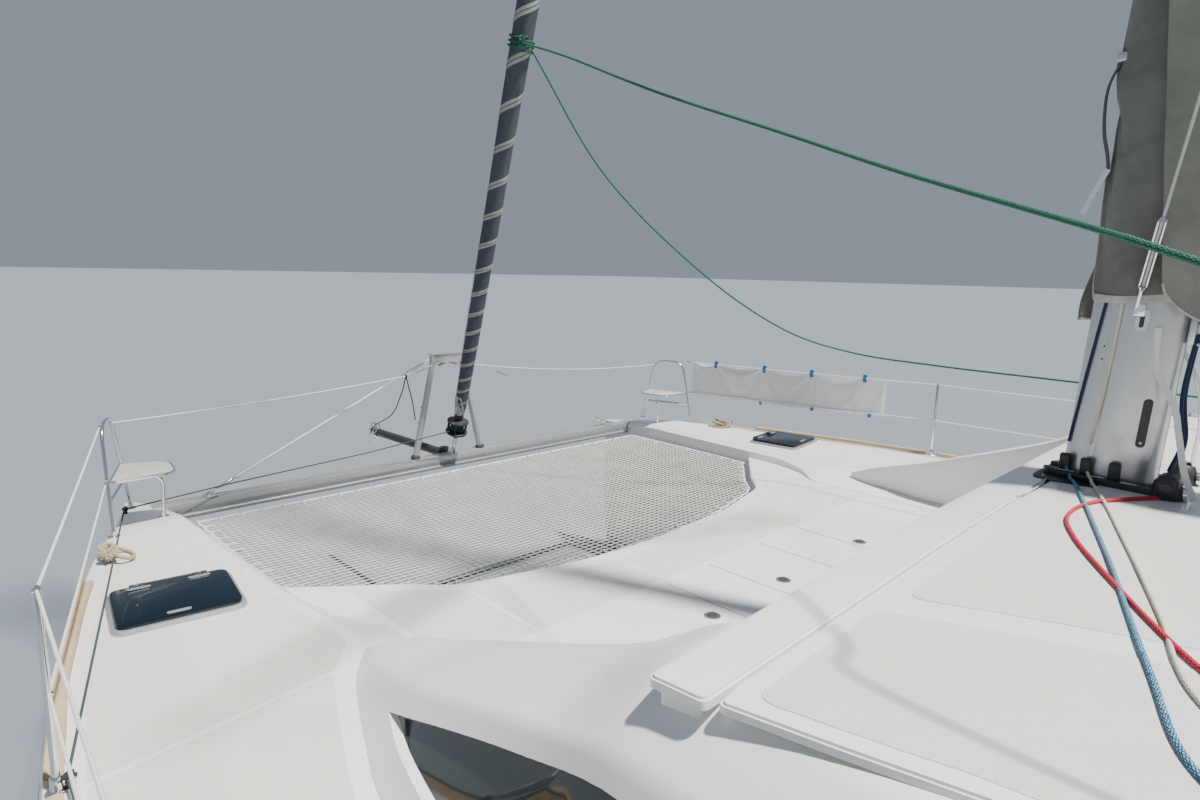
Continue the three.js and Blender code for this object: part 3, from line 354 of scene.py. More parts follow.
def patch(shape, place, u_range, low, high, thick, finish=0, corner=0.0, sink=0.003, count=24, rows=4):
    """Thin panel on a curved surface. place(u, v, off) is the surface moved out by off,
    and low and high are the panel's edges in v, as numbers or as functions of u."""
    low_at = low if callable(low) else lambda u: low
    high_at = high if callable(high) else lambda u: high
    u0, u1 = u_range
    turn = copysign(1, u1 - u0)
    stations = [u0 + turn * corner * (1 - cos(a)) for a in spread(0, pi / 2, 5)[:-1]] if corner else []
    stations += spread(u0 + turn * corner, u1 - turn * corner, count)
    stations += [u1 - turn * corner * (1 - cos(a)) for a in spread(pi / 2, 0, 5)[1:]] if corner else []
    rings = []
    for u in stations:
        near = min(abs(u - u0), abs(u1 - u))
        pull = corner - sqrt(max(0, corner ** 2 - (corner - near) ** 2)) if near < corner else 0
        a, b = low_at(u) + pull, high_at(u) - pull
        top = [place(u, v, thick) for v in spread(a, b, rows)]
        foot = [place(u, v, -sink) for v in spread(b, a, rows)]
        rings.append(top + foot)
    return shape.skin(rings, finish)


# %% [markdown]
# ## Node trees
# The same helper writes shader trees and Geometry Nodes trees: it adds one node, and takes each
# input as a plain value or as the output of a node that is already there.

# %% Nodes
def wire(tree, kind, inputs=None, **settings):
    """Adds a node and returns its outputs."""
    made = tree.nodes.new(kind)
    for key, value in settings.items():
        setattr(made, key, value)
    for key, value in (inputs or {}).items():
        if isinstance(value, bpy.types.NodeSocket):
            tree.links.new(value, made.inputs[key])
        else:
            made.inputs[key].default_value = value
    return made.outputs


def maths(tree, operation, a, b=0.0):
    return wire(tree, "ShaderNodeMath", {0: a, 1: b}, operation=operation)[0]


def mixed(tree, share, a, b):
    """Colour a where the share is 0 and b where it is 1."""
    return wire(tree, "ShaderNodeMix", {0: share, 6: a, 7: b}, data_type="RGBA")[2]


def place_of(tree):
    return wire(tree, "ShaderNodeTexCoord")["Object"]


def parts_of(tree, vector):
    return wire(tree, "ShaderNodeSeparateXYZ", {0: vector})


def new_group(name, inputs, outputs):
    """An empty shader group with named sockets, and its inputs."""
    tree = bpy.data.node_groups.new(name, "ShaderNodeTree")
    for label, kind, value in inputs:
        tree.interface.new_socket(label, in_out="INPUT", socket_type=kind).default_value = value
    for label, kind in outputs:
        tree.interface.new_socket(label, in_out="OUTPUT", socket_type=kind)
    return tree, tree.nodes.new("NodeGroupInput").outputs


NUMBER, COLOUR = "NodeSocketFloat", "NodeSocketColor"

# %% [markdown]
# ## Finishes that several materials share
# `patina` clouds a colour and gives a mask for grime, `braid` is the plait of a rope, `weave` the
# threads of cloth, and `tread` the raised diamonds that keep feet from slipping on a deck.

# %% Shared effects
def make_patina():
    tree, given = new_group("patina", [
        ("Color", COLOUR, (1, 1, 1, 1)), ("Shade", COLOUR, (0.5, 0.5, 0.5, 1)),
        ("Scale", NUMBER, 2.0), ("Amount", NUMBER, 0.5)], [("Color", COLOUR), ("Mask", NUMBER)])
    place = place_of(tree)
    broad = wire(tree, "ShaderNodeTexNoise", {"Vector": place, "Scale": given["Scale"], "Detail": 6.0})[0]
    fine = wire(tree, "ShaderNodeTexNoise", {
        "Vector": place, "Scale": maths(tree, "MULTIPLY", given["Scale"], 9.0), "Detail": 4.0})[0]
    both = maths(tree, "MULTIPLY", broad, maths(tree, "ADD", fine, 0.35))
    mask = wire(tree, "ShaderNodeMapRange", {0: both, 1: 0.3, 2: 0.6})[0]
    amount = maths(tree, "MULTIPLY", mask, given["Amount"])
    wire(tree, "NodeGroupOutput", {0: mixed(tree, amount, given["Color"], given["Shade"]), 1: mask})
    return tree


def make_braid():
    tree, given = new_group("braid", [("Strands", NUMBER, 8.0), ("Pitch", NUMBER, 60.0)],
                            [("Height", NUMBER), ("Fleck", NUMBER)])
    uv = parts_of(tree, wire(tree, "ShaderNodeTexCoord")["UV"])
    around = maths(tree, "MULTIPLY", uv[0], maths(tree, "MULTIPLY", given["Strands"], pi))
    along = maths(tree, "MULTIPLY", uv[1], maths(tree, "MULTIPLY", given["Pitch"], pi))
    one = maths(tree, "ABSOLUTE", maths(tree, "SINE", maths(tree, "ADD", around, along)))
    two = maths(tree, "ABSOLUTE", maths(tree, "SINE", maths(tree, "SUBTRACT", around, along)))
    height = maths(tree, "MAXIMUM", one, two)
    speck = wire(tree, "ShaderNodeTexNoise", {"Vector": place_of(tree), "Scale": 160.0, "Detail": 1.0})[0]
    fleck = maths(tree, "GREATER_THAN", maths(tree, "MULTIPLY", speck, maths(tree, "MINIMUM", one, two)),
                  0.33)
    wire(tree, "NodeGroupOutput", {0: height, 1: fleck})
    return tree


def make_weave():
    tree, given = new_group("weave", [("Threads", NUMBER, 700.0)], [("Height", NUMBER)])
    place = parts_of(tree, place_of(tree))
    waves = []
    for axes in ((0, 2), (1, 2)):
        level = maths(tree, "ADD", place[axes[0]], place[axes[1]])
        waves.append(maths(tree, "SINE", maths(tree, "MULTIPLY", level, given["Threads"])))
    wire(tree, "NodeGroupOutput", {0: maths(tree, "MULTIPLY", waves[0], waves[1])})
    return tree


def make_tread():
    tree, given = new_group("tread", [("Pitch", NUMBER, 0.012)], [("Height", NUMBER)])
    place = parts_of(tree, place_of(tree))
    rate = maths(tree, "DIVIDE", pi, given["Pitch"])
    one = maths(tree, "SINE", maths(tree, "MULTIPLY", maths(tree, "ADD", place[0], place[1]), rate))
    two = maths(tree, "SINE", maths(tree, "MULTIPLY", maths(tree, "SUBTRACT", place[0], place[1]), rate))
    height = maths(tree, "MAXIMUM", maths(tree, "ABSOLUTE", one), maths(tree, "ABSOLUTE", two))
    wire(tree, "NodeGroupOutput", {0: height})
    return tree


PATINA, BRAID, WEAVE, TREAD = make_patina(), make_braid(), make_weave(), make_tread()

# %% [markdown]
# ## Materials
# Each one is a Principled shader. The patina gives it its clouding, and a bump gives it its grain.

# %% Material maker
def effect_node(tree, group, inputs):
    """Places a shared effect and returns its outputs."""
    node = tree.nodes.new("ShaderNodeGroup")
    node.node_tree = group
    for key, value in inputs.items():
        node.inputs[key].default_value = value
    return node.outputs


def new_material(name):
    """An empty material, its tree and its shader."""
    made = bpy.data.materials.new(name)
    made.use_nodes = True
    return made, made.node_tree, made.node_tree.nodes["Principled BSDF"]


def raised(tree, shader, height, depth, strength=1.0):
    """Gives a shader a bump of a depth in metres."""
    normal = wire(tree, "ShaderNodeBump", {"Height": height, "Distance": depth, "Strength": strength})[0]
    tree.links.new(normal, shader.inputs["Normal"])


def material(name, colour, shade=None, roughness=0.5, spread_of=0.1, scale=2.0, amount=0.4, bump=None,
             **sockets):
    """Principled material. bump is (height output, depth in metres), made by a function of the tree."""
    made, tree, shader = new_material(name)
    cloud = effect_node(tree, PATINA, {
        "Color": (*colour, 1), "Shade": (*(shade or [c * 0.8 for c in colour]), 1),
        "Scale": scale, "Amount": amount})
    tree.links.new(cloud["Color"], shader.inputs["Base Color"])
    rough = wire(tree, "ShaderNodeMapRange", {0: cloud["Mask"], 3: roughness, 4: roughness + spread_of})[0]
    tree.links.new(rough, shader.inputs["Roughness"])
    for key, value in sockets.items():
        shader.inputs[key.replace("_", " ")].default_value = value
    if bump:
        raised(tree, shader, *bump(tree))
    return made


def grain(scale, depth, stretch=(1, 1, 1)):
    """Bump from a noise stretched along an axis."""
    def made(tree):
        place = wire(tree, "ShaderNodeMapping", {"Vector": place_of(tree), "Scale": stretch})[0]
        return wire(tree, "ShaderNodeTexNoise", {"Vector": place, "Scale": scale, "Detail": 5.0})[0], depth
    return made


def from_effect(group, depth, **inputs):
    """Bump from a shared effect."""
    return lambda tree: (effect_node(tree, group, inputs)["Height"], depth)


# %% Materials of the boat
gelcoat = material("gelcoat", (0.80, 0.81, 0.80), (0.74, 0.75, 0.74), 0.2, 0.1, 0.7, 0.5,
                   bump=grain(2.2, 0.0012), Coat_Weight=0.5, Coat_Roughness=0.08)
nonskid = material("nonskid", (0.64, 0.63, 0.60), (0.58, 0.57, 0.54), 0.62, 0.2, 1.3, 0.6,
                   bump=from_effect(TREAD, 0.0011, Pitch=0.011))
teak = material("teak", (0.50, 0.38, 0.25), (0.38, 0.28, 0.175), 0.62, 0.2, 3.0, 0.9,
                bump=grain(90, 0.0008, (0.05, 1, 1)))
alloy = material("alloy", (0.60, 0.61, 0.62), (0.47, 0.48, 0.49), 0.28, 0.16, 1.6, 0.6,
                 bump=grain(160, 0.0002, (1, 1, 0.03)), Metallic=0.75)
steel = material("steel", (0.82, 0.83, 0.84), (0.68, 0.69, 0.70), 0.1, 0.1, 6.0, 0.5, Metallic=1.0)
black = material("black_plastic", (0.018, 0.019, 0.021), (0.035, 0.035, 0.037), 0.32, 0.2, 8.0, 0.7,
                 bump=grain(260, 0.0002))
rubber = material("rubber", (0.03, 0.03, 0.032), (0.05, 0.05, 0.05), 0.7, 0.15, 5.0, 0.7)
glazing = material("glazing", (0.055, 0.065, 0.068), (0.04, 0.045, 0.05), 0.03, 0.04, 1.2, 0.5,
                   Transmission_Weight=0.55, IOR=1.49, Coat_Weight=0.4, Coat_Roughness=0.02)
acrylic = material("acrylic", (0.0035, 0.009, 0.016), (0.0025, 0.007, 0.012), 0.05, 0.05, 1.0, 0.5, IOR=1.33)
antifouling = material("antifouling", (0.028, 0.075, 0.17), (0.02, 0.045, 0.09), 0.6, 0.25, 1.1, 0.8,
                       bump=grain(70, 0.0006))
bronze = material("bronze", (0.50, 0.32, 0.13), (0.26, 0.22, 0.12), 0.25, 0.3, 14.0, 0.7, Metallic=1.0)
canvas = material("canvas", (0.155, 0.16, 0.142), (0.1, 0.105, 0.095), 0.85, 0.1, 2.4, 0.7,
                  bump=from_effect(WEAVE, 0.0006, Threads=1400.0), Sheen_Weight=0.25)
# A lighter copy of the canvas with painted light: the port flap of the bag front is coloured as if the sun
# fell on it.
sunlit_canvas = material("sunlit_canvas", (0.25, 0.26, 0.215), (0.17, 0.18, 0.15), 0.85, 0.1, 2.0, 0.8,
                        bump=from_effect(WEAVE, 0.0006, Threads=1400.0), Sheen_Weight=0.25)
hem_cloth = material("hem_cloth", (0.56, 0.55, 0.51), (0.33, 0.32, 0.30), 0.85, 0.1, 5.0, 0.7,
                     bump=from_effect(WEAVE, 0.0005, Threads=1800.0))
white_cloth = material("white_cloth", (0.80, 0.81, 0.82), (0.70, 0.71, 0.73), 0.8, 0.1, 3.0, 0.5,
                       bump=from_effect(WEAVE, 0.0004, Threads=1500.0), Sheen_Weight=0.2)
vinyl = material("vinyl", (0.46, 0.44, 0.40), (0.38, 0.36, 0.33), 0.5, 0.15, 4.0, 0.6,
                 bump=grain(420, 0.0005), Sheen_Weight=0.15)
net_cord = material("net_cord", (0.55, 0.535, 0.49), (0.40, 0.395, 0.36), 0.85, 0.1, 6.0, 0.7,
                    bump=grain(900, 0.0006))
blue_tape = material("blue_tape", (0.02, 0.2, 0.42), (0.015, 0.15, 0.33), 0.55, 0.1, 9.0, 0.6)


def rope(name, colour, fleck, strands=8.0, pitch=70.0):
    """Plaited rope with flecks of a second colour."""
    made, tree, shader = new_material(name)
    plait = effect_node(tree, BRAID, {"Strands": strands, "Pitch": pitch})
    tree.links.new(mixed(tree, plait["Fleck"], (*colour, 1), (*fleck, 1)), shader.inputs["Base Color"])
    shader.inputs["Roughness"].default_value = 0.8
    raised(tree, shader, plait["Height"], 0.0015, 0.9)
    return made


green_rope = rope("green_rope", (0.006, 0.075, 0.045), (0.03, 0.2, 0.12), 8, 90)
dark_rope = rope("dark_rope", (0.02, 0.045, 0.042), (0.07, 0.11, 0.1), 8, 90)
# The blue halyard has two colours. blue_rope is the rope where it lies lit on the roof, and the next one
# paints the same rope darker, as painted shade, where it runs down the mast. That darker one also colours the
# navy ropes aft of the mast.
blue_rope = rope("blue_rope", (0.004, 0.085, 0.21), (0.35, 0.55, 0.65), 8, 60)
navy_and_shaded_blue_rope = rope("navy_and_shaded_blue_rope", (0.006, 0.012, 0.05), (0.02, 0.04, 0.12), 8, 60)
red_rope = rope("red_rope", (0.42, 0.01, 0.035), (0.55, 0.05, 0.08), 8, 70)
cream_rope = rope("cream_rope", (0.62, 0.56, 0.46), (0.72, 0.68, 0.60), 8, 60)
white_rope = rope("white_rope", (0.74, 0.75, 0.76), (0.6, 0.61, 0.63), 8, 120)
black_rope = rope("black_rope", (0.012, 0.013, 0.016), (0.05, 0.05, 0.055), 8, 90)
tan_rope = rope("tan_rope", (0.38, 0.32, 0.20), (0.25, 0.21, 0.13), 3, 30)
wire_rope = rope("wire_rope", (0.52, 0.53, 0.54), (0.4, 0.4, 0.41), 6, 80)
print("materials:", len(bpy.data.materials))

# %% [markdown]
# ## Floor and light
# The boat is afloat, so the floor lies at its waterline. The light is a studio's: a pale sky all
# round, and one lamp high astern that throws the soft shadows.

# %% Floor and light
FLOOR_HALF = 400
floor = Shape().plate([(-FLOOR_HALF, -FLOOR_HALF), (FLOOR_HALF, -FLOOR_HALF), (FLOOR_HALF, FLOOR_HALF),
                       (-FLOOR_HALF, FLOOR_HALF)], -0.02, 0)
floor_object = in_scene("floor", floor.mesh("floor"))
floor_object.data.materials.append(material("floor_paint", (0.17, 0.20, 0.235), roughness=0.75, amount=0.0))

world = bpy.data.worlds.new("studio")
world.use_nodes = True
world.node_tree.nodes["Background"].inputs["Color"].default_value = (0.74, 0.85, 1.0, 1)
world.node_tree.nodes["Background"].inputs["Strength"].default_value = 0.36
bpy.context.scene.world = world
SUN_FROM = Vector((-0.43, -0.145, 1.0))
sun_data = bpy.data.lights.new("sun", "SUN")
sun_data.energy = 9.0
sun_data.angle = radians(2.5)
sun_data.color = (1.0, 0.965, 0.91)
in_scene("sun", sun_data).rotation_euler = SUN_FROM.to_track_quat("Z", "Y").to_euler()

# %% [markdown]
# ## Hulls
# A hull is a skin over stations, like planking over frames. The solids use a few flat ones. Here
# the same table is read on smooth curves, so that the topsides are fair, and the boarding steps
# and the beam's socket are cut afterwards.

# %% Hull stations
# Columns: x, centre y, keel z, half beam afloat, deck edge y, deck inner y, deck z, wall y, wall
# top z, wall foot y, wall foot z
DECK = 1.75
INNER_SIDE = (2.35, DECK, 2.1, 1.655, 2.1, 0.6)
HULL = [
    [6.65, 2.63, 0.5, 0.008, 2.652, 2.608, 1.64, 2.604, 1.6, 2.61, 0.9],
    [6.59, 2.63, 0.0, 0.022, 2.668, 2.585, 1.648, 2.58, 1.608, 2.6, 0.7],
    [6.42, 2.632, -0.24, 0.07, 2.708, 2.54, 1.668, 2.53, 1.628, 2.555, 0.65],
    [6.1, 2.64, -0.37, 0.15, 2.8, 2.505, 1.706, 2.475, 1.67, 2.475, 0.6],
    [5.735, 2.655, -0.44, 0.23, 2.895, 2.485, DECK, 2.445, 1.71, 2.415, 0.6],
    [5.2, 2.67, -0.51, 0.32, 3.1, 2.47, DECK, 2.425, 1.71, 2.35, 0.6],
    [4.6, 2.69, -0.56, 0.4, 3.29, 2.45, DECK, 2.4, 1.71, 2.29, 0.6],
    [4.0, 2.7, -0.6, 0.46, 3.44, 2.42, DECK, 2.37, 1.71, 2.22, 0.6],
    [3.65, 2.705, -0.62, 0.49, 3.52, 2.39, DECK, 2.27, 1.69, 2.15, 0.6],
    [3.4, 2.71, -0.63, 0.51, 3.562, *INNER_SIDE],
    [2.8, 2.715, -0.65, 0.54, 3.648, *INNER_SIDE],
    [1.6, 2.72, -0.68, 0.57, 3.69, *INNER_SIDE],
    [0.0, 2.72, -0.69, 0.58, 3.7, *INNER_SIDE],
    [-1.6, 2.72, -0.67, 0.575, 3.7, *INNER_SIDE],
    [-3.2, 2.725, -0.6, 0.56, 3.68, *INNER_SIDE],
    [-4.5, 2.735, -0.47, 0.54, 3.62, *INNER_SIDE],
    [-5.25, 2.745, -0.33, 0.51, 3.55, *INNER_SIDE],
    [-6.05, 2.755, -0.15, 0.46, 3.45, 2.38, DECK, 2.2, 1.655, 2.24, 0.5],
    [-6.7, 2.765, -0.01, 0.4, 3.35, 2.42, DECK, 2.3, 1.655, 2.33, 0.4],
]
KNUCKLE_X = 5.735
DECK_ROUND = 0.035
hull_line = [None] + [curve_of(HULL, k, (KNUCKLE_X,)) for k in range(1, 11)]
deck_edge, deck_inner, deck_z = hull_line[4], hull_line[5], hull_line[6]


def topside(x):
    """Outer half of a station from the keel to the deck's edge, as points in Y and Z."""
    yc, zk, half, y_out, z_deck = (hull_line[k](x) for k in (1, 2, 3, 4, 6))
    round_by = min(DECK_ROUND, half)
    above = max(zk, 0)
    bilge = zk - above
    return [(yc, zk), (yc + 0.45 * half, above + bilge * 0.9 + 0.004),
            (yc + 0.8 * half, above + bilge * 0.62 + 0.008), (yc + 0.96 * half, above + bilge * 0.28 + 0.012),
            (yc + half + 0.008, above + 0.11),
            (yc + half + (y_out - yc - half) * 0.55, above + (z_deck - above) * 0.42),
            (y_out - 0.012, above + (z_deck - above) * 0.78), (y_out, z_deck - 2 * round_by)]


def hull_ring(x):
    yc, zk, half, y_out, y_in, z_deck, y_wall, z_wall, y_foot, z_foot = (line(x) for line in hull_line[1:])
    outer = topside(x)
    round_by = min(DECK_ROUND, half)
    corner = [(y_out - round_by * t * t, z_deck - 2 * round_by * (1 - t) ** 2) for t in (0.35, 0.7, 1.0)]
    above = max(zk, 0)
    lip = [(y_in + 0.012, z_deck), (y_in + 0.001, z_deck - 0.004), (y_in - 0.006, z_deck - 0.012)]
    inner = [(2 * yc - y, z) for y, z in outer[:4]] + [(yc - half - 0.008, above + 0.11)]
    ring = flowing([(y, z) for y, z in outer], 5) + [Vector(p) for p in corner + lip]
    ring += [Vector((y_wall, z_wall)), Vector((y_foot, z_foot))]
    ring += flowing(inner[::-1], 4)[:-1]
    return [(x, p[0], p[1]) for p in ring]


def side_y(x, z):
    """Y of the port topside at a station and height."""
    line = flowing(topside(x), 8)
    for a, b in zip(line, line[1:]):
        if a[1] <= z <= b[1] and z > 0.05:
            return a[0] + (b[0] - a[0]) * (z - a[1]) / max(1e-6, b[1] - a[1])
    return line[-1][0]


hull_stations = spread(6.65, 6.05, 16)[:-1] + spread(6.05, KNUCKLE_X, 6)[:-1]
hull_stations += spread(KNUCKLE_X, 3.3, 30)[:-1] + spread(3.3, -4.4, 40)[:-1] + spread(-4.4, -6.7, 22)
hull_mesh = Shape().skin([hull_ring(x) for x in hull_stations]).mesh("hull_shell_port")

# %% Cut the boarding steps and the beam's socket
# Columns: tread's forward x, tread's aft x, tread z
STEPS = [[-4.7, -4.9, 1.39], [-4.9, -5.1, 1.04], [-5.1, -5.55, 0.6812], [-5.55, -5.95, 0.5],
         [-5.95, -6.8, 0.33]]
WING_Y = 3.33


def prism(outline, y0, y1):
    """Outline in X and Z, drawn out along Y."""
    return Shape().skin([[(x, y, z) for x, z in outline] for y in (y0, y1)])


sheer = [(-4.7, 1.9), (-4.7, DECK), (-5.3, 1.36), (-6.1, 0.84), (-6.8, 0.62), (-6.8, 1.9)]
tools = [prism(sheer, 1.9, 3.9).mesh("wing")]
for x0, x1, z in STEPS:
    tools.append(Shape().box((x1 - (0.02 if z < 0.4 else 0), 1.9, z), (x0 + 0.001, WING_Y, 2.0)).mesh("step"))
low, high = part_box("crossbeam")
tools.append(Shape().box((low.x - 0.001, 2.3, low.z - 0.001),
                         (high.x + 0.001, high.y + 0.001, high.z + 0.002)).mesh("socket"))
hull_mesh = carved(hull_mesh, tools)


# %% [markdown]
# The bottom paint ends just above the water with a thin boot stripe. It is painted by height, so
# one material covers hull and bottom.

# %% Hull paint
def hull_paint():
    made = gelcoat.copy()
    made.name = "hull_paint"
    tree = made.node_tree
    shader = tree.nodes["Principled BSDF"]
    height = parts_of(tree, place_of(tree))[2]
    below = maths(tree, "LESS_THAN", height, 0.055)
    stripe = maths(tree, "LESS_THAN", maths(tree, "ABSOLUTE", maths(tree, "SUBTRACT", height, 0.125)), 0.022)
    white = shader.inputs["Base Color"].links[0].from_socket
    banded = mixed(tree, stripe, white, (0.12, 0.14, 0.17, 1))
    tree.links.new(mixed(tree, below, banded, (0.028, 0.075, 0.17, 1)), shader.inputs["Base Color"])
    return made


painted = [hull_paint()]
piece("hull_shell_starboard", mirror_mesh(hull_mesh, "hull_shell_starboard"), painted,
      replaces=["hull_starboard"], sharp=28)
piece("hull_shell_port", hull_mesh, painted, replaces=["hull_port"], sharp=28)
print("hull:", len(hull_mesh.polygons), "faces")

# %% [markdown]
# ## Cabin
# The cabin's sides run forward as two long arms that end on deck. One skin makes the arm and the
# side wall: solid ahead of the windshield, a thin shell behind it.

# %% Cabin sides
# Columns: x, base y, edge y, edge z, top y, top z
CABIN = [
    [3.15, 2.392, 2.372, 1.757, 2.3, 1.76], [2.94, 2.534, 2.45, 1.815, 2.27, 1.85],
    [2.59, 2.675, 2.53, 1.915, 2.25, 1.965], [2.2, 2.803, 2.59, 2.05, 2.25, 2.11],
    [1.6, 2.88, 2.65, 2.265, 2.33, 2.345], [1.17, 2.9, 2.71, 2.4, 2.54, 2.56],
    [0.5, 2.92, 2.74, 2.425, 2.57, 2.585], [-1.5, 2.9, 2.72, 2.44, 2.56, 2.605],
    [-2.76, 2.86, 2.68, 2.44, 2.52, 2.61],
]
FOREDECK = 1.65
CABIN_AFT = -2.76
ROOF_FRONT = 1.17
CROWN = 0.04
FLAT_Y = 1.2
WALL = 0.06
cabin_line = [None] + [curve_of(CABIN, k) for k in range(1, 6)]
arm_inner = curve_of([[3.15, 2.345], [2.4, 2.2], [1.25, 2.2], [1.08, 2.44], [CABIN_AFT, 2.44]], 1)


def eased(points, radii, steps=7):
    """A line with its inner corners rounded, each by its own radius."""
    p = [Vector(q) for q in points]
    made = [p[0]]
    for i, radius in enumerate(radii, 1):
        a, b = p[i - 1] - p[i], p[i + 1] - p[i]
        reach = min(radius, 0.45 * a.length, 0.45 * b.length)
        a, b = p[i] + a.normalized() * reach, p[i] + b.normalized() * reach
        made += [a * (1 - t) ** 2 + 2 * p[i] * t * (1 - t) + b * t * t for t in spread(0, 1, steps + 1)]
    return made + [p[-1]]


def roof_z(x, y):
    """Height of the cabin's roof, crowned inboard and falling to its top edge."""
    top_y, top_z = cabin_line[4](x), cabin_line[5](x)
    out = max(0.0, (abs(y) - FLAT_Y) / (top_y - FLAT_Y))
    return top_z + CROWN * (1 - out)


def cabin_ring(x):
    base_y, edge_y, edge_z, top_y, top_z = (line(x) for line in cabin_line[1:])
    inner_y = min(arm_inner(x), top_y - 0.02)
    inner_z = top_z + CROWN * (top_y - inner_y) / (top_y - FLAT_Y)
    outer = eased([(base_y, FOREDECK), (base_y + 0.002, DECK), (edge_y, edge_z), (top_y, top_z),
                   (inner_y, inner_z), (inner_y, inner_z - WALL)], [0.008, 0.035, 0.2, 0.035], 5)
    hollow = min(1, max(0, (1.32 - x) / 0.22))
    drop = inner_z - WALL - FOREDECK
    arm = [(inner_y, FOREDECK + drop * 0.66), (inner_y, FOREDECK + drop * 0.33), (inner_y, FOREDECK)]
    shell = [(top_y - 0.05, top_z - WALL), (edge_y - WALL, edge_z - 0.03), (base_y - WALL, FOREDECK)]
    inner = [Vector(a).lerp(Vector(b), hollow) for a, b in zip(arm, shell)]
    return [(x, p[0], p[1]) for p in [*outer, *inner]]


def cabin_side(x, z, off):
    """Point on the cabin's port side, moved out."""
    base_y, edge_y, edge_z = (cabin_line[k](x) for k in (1, 2, 3))
    return x, base_y + (edge_y - base_y) * max(0, (z - DECK) / (edge_z - DECK)) + off, z


window_top = curve_of([[2.47, 1.866], [2.16, 1.985], [1.6, 2.185], [1.17, 2.32], [0.5, 2.345],
                       [-2.4, 2.355]], 1)
WINDOW_SILL, WINDOW_X = 1.862, (2.47, -2.38)
RECESS = 0.034
cabin_x = spread(3.15, 1.4, 36)[:-1] + spread(1.4, 1.0, 10)[:-1] + spread(1.0, CABIN_AFT, 18)
side_mesh = Shape().skin([cabin_ring(x) for x in cabin_x]).mesh("cabin_side_port")
pocket = patch(Shape(), cabin_side, WINDOW_X, WINDOW_SILL, window_top, 0.08, sink=RECESS + 0.012, count=60)
light = patch(Shape(), cabin_side, (1.25, -2.3), WINDOW_SILL + 0.04, lambda x: window_top(x) - 0.035, 0.1,
              sink=0.3, count=30)
side_mesh = carved(side_mesh, [pocket.mesh("pocket"), light.mesh("light")])
piece("cabin_side_starboard", mirror_mesh(side_mesh, "cabin_side_starboard"), [gelcoat],
      replaces=["coachroof"], sharp=30)
piece("cabin_side_port", side_mesh, [gelcoat], replaces=["coachroof"], sharp=30)
pane = patch(Shape(), cabin_side, (WINDOW_X[0] - 0.004, WINDOW_X[1] + 0.002), WINDOW_SILL + 0.002,
             lambda x: window_top(x) - 0.002, -RECESS, sink=RECESS + 0.01, count=60)
on_both_sides("saloon_side_glass", pane, [glazing], replaces=["side_window"])
print("cabin side:", len(side_mesh.polygons), "faces")

# %% [markdown]
# The windshield leans back between the arms. Its wall is one slanted slab with three openings,
# glazed by a single dark pane on the outside.

# %% Windshield
SHIELD_FOOT, SHIELD_HEAD = (1.7, 1.6), (1.13, 2.48)


def shield(y, z, off):
    """Point in front of the windshield's plane."""
    lean = (SHIELD_FOOT[0] - SHIELD_HEAD[0]) / (SHIELD_HEAD[1] - SHIELD_FOOT[1])
    return SHIELD_HEAD[0] + lean * (SHIELD_HEAD[1] - z) + off, y, z


front = patch(Shape(), shield, (-2.21, 2.21), FOREDECK, 2.5, -0.011, sink=0.08, count=8)
openings = [patch(Shape(), shield, (y0, y1), 1.79, 2.39, 0.1, corner=0.06, sink=0.2, count=4).mesh("opening")
            for y0, y1 in ((-1.9, -0.68), (-0.62, 0.62), (0.68, 1.9))]
piece("cabin_front", carved(front.mesh("cabin_front"), openings), [gelcoat],
      replaces=["coachroof"])
glass = patch(Shape(), shield, (-1.945, 1.945), 1.742, 2.428, 0.0, corner=0.08, sink=0.009, count=12)
piece("windshield_glass", glass, [glazing], replaces=["windshield"])

# %% [markdown]
# The roof is a crowned slab with a ledge all round, a brow over the windshield and four panels
# with a rough tread, parted by smooth gutters.

# %% Roof
roof_edge = curve_of([[1.05, 2.615], [0.72, 2.565], [0.45, 2.515], [-1.0, 2.47], [CABIN_AFT, 2.44]], 1)


def on_roof(x, y, off):
    return x, y, roof_z(x, y) + off


def under_roof(x):
    ys = spread(-2.46, 2.46, 15)
    return [on_roof(x, y, -0.001) for y in ys] + [on_roof(x, y, -WALL) for y in ys[::-1]]


roof = Shape().skin([under_roof(x) for x in spread(ROOF_FRONT, CABIN_AFT + 0.0011, 22)])
LEDGE = 0.022
for u_range, edge, thick in (((1.015, CABIN_AFT), roof_edge, LEDGE),
                             ((1.2, 1.03), lambda x: 2.63, LEDGE + 0.004)):
    for inward, rise in ((0.0, thick - 0.007), (0.006, thick)):
        patch(roof, on_roof, (u_range[0] - inward, u_range[1] + inward), lambda x, e=edge, i=inward: i - e(x),
              lambda x, e=edge, i=inward: e(x) - i, rise, corner=0.02, rows=15, count=16)
patch(roof, on_roof, (1.19, 1.06), -2.6, 2.6, -0.02, corner=0.02, sink=0.06, rows=15, count=4)
piece("cabin_roof", roof, [gelcoat], replaces=["coachroof"], sharp=25)
band = curve_of([[1.0, 1.92], [0.3, 1.69], [-0.6, 1.47], [-1.2, 1.42], [CABIN_AFT, 1.4]], 1)
panels = Shape()
for side in (1, -1):
    for u_range, low, high in (
            ((0.965, -1.25), lambda x: band(x) + 0.06, lambda x: roof_edge(x) - 0.055),
            ((-1.33, -2.62), lambda x: band(x) + 0.06, lambda x: roof_edge(x) - 0.055),
            ((0.94, -0.9), lambda x: 0.52, lambda x: band(x) - 0.06),
            ((-0.98, -2.3), lambda x: 0.52, lambda x: band(x) - 0.06)):
        patch(panels, lambda x, y, off, s=side: on_roof(x, s * y, off), u_range, low, high, LEDGE + 0.0016,
              corner=0.05, rows=5, count=18)
piece("roof_tread", panels, [nonskid])

# %% [markdown]
# ## Foredeck and side decks
# The bridge between the hulls is one block, cut to its outline in plan. Its front edge is a smooth
# curve that the net hangs from. Panels with tread lie on it, parted by smooth gutters.

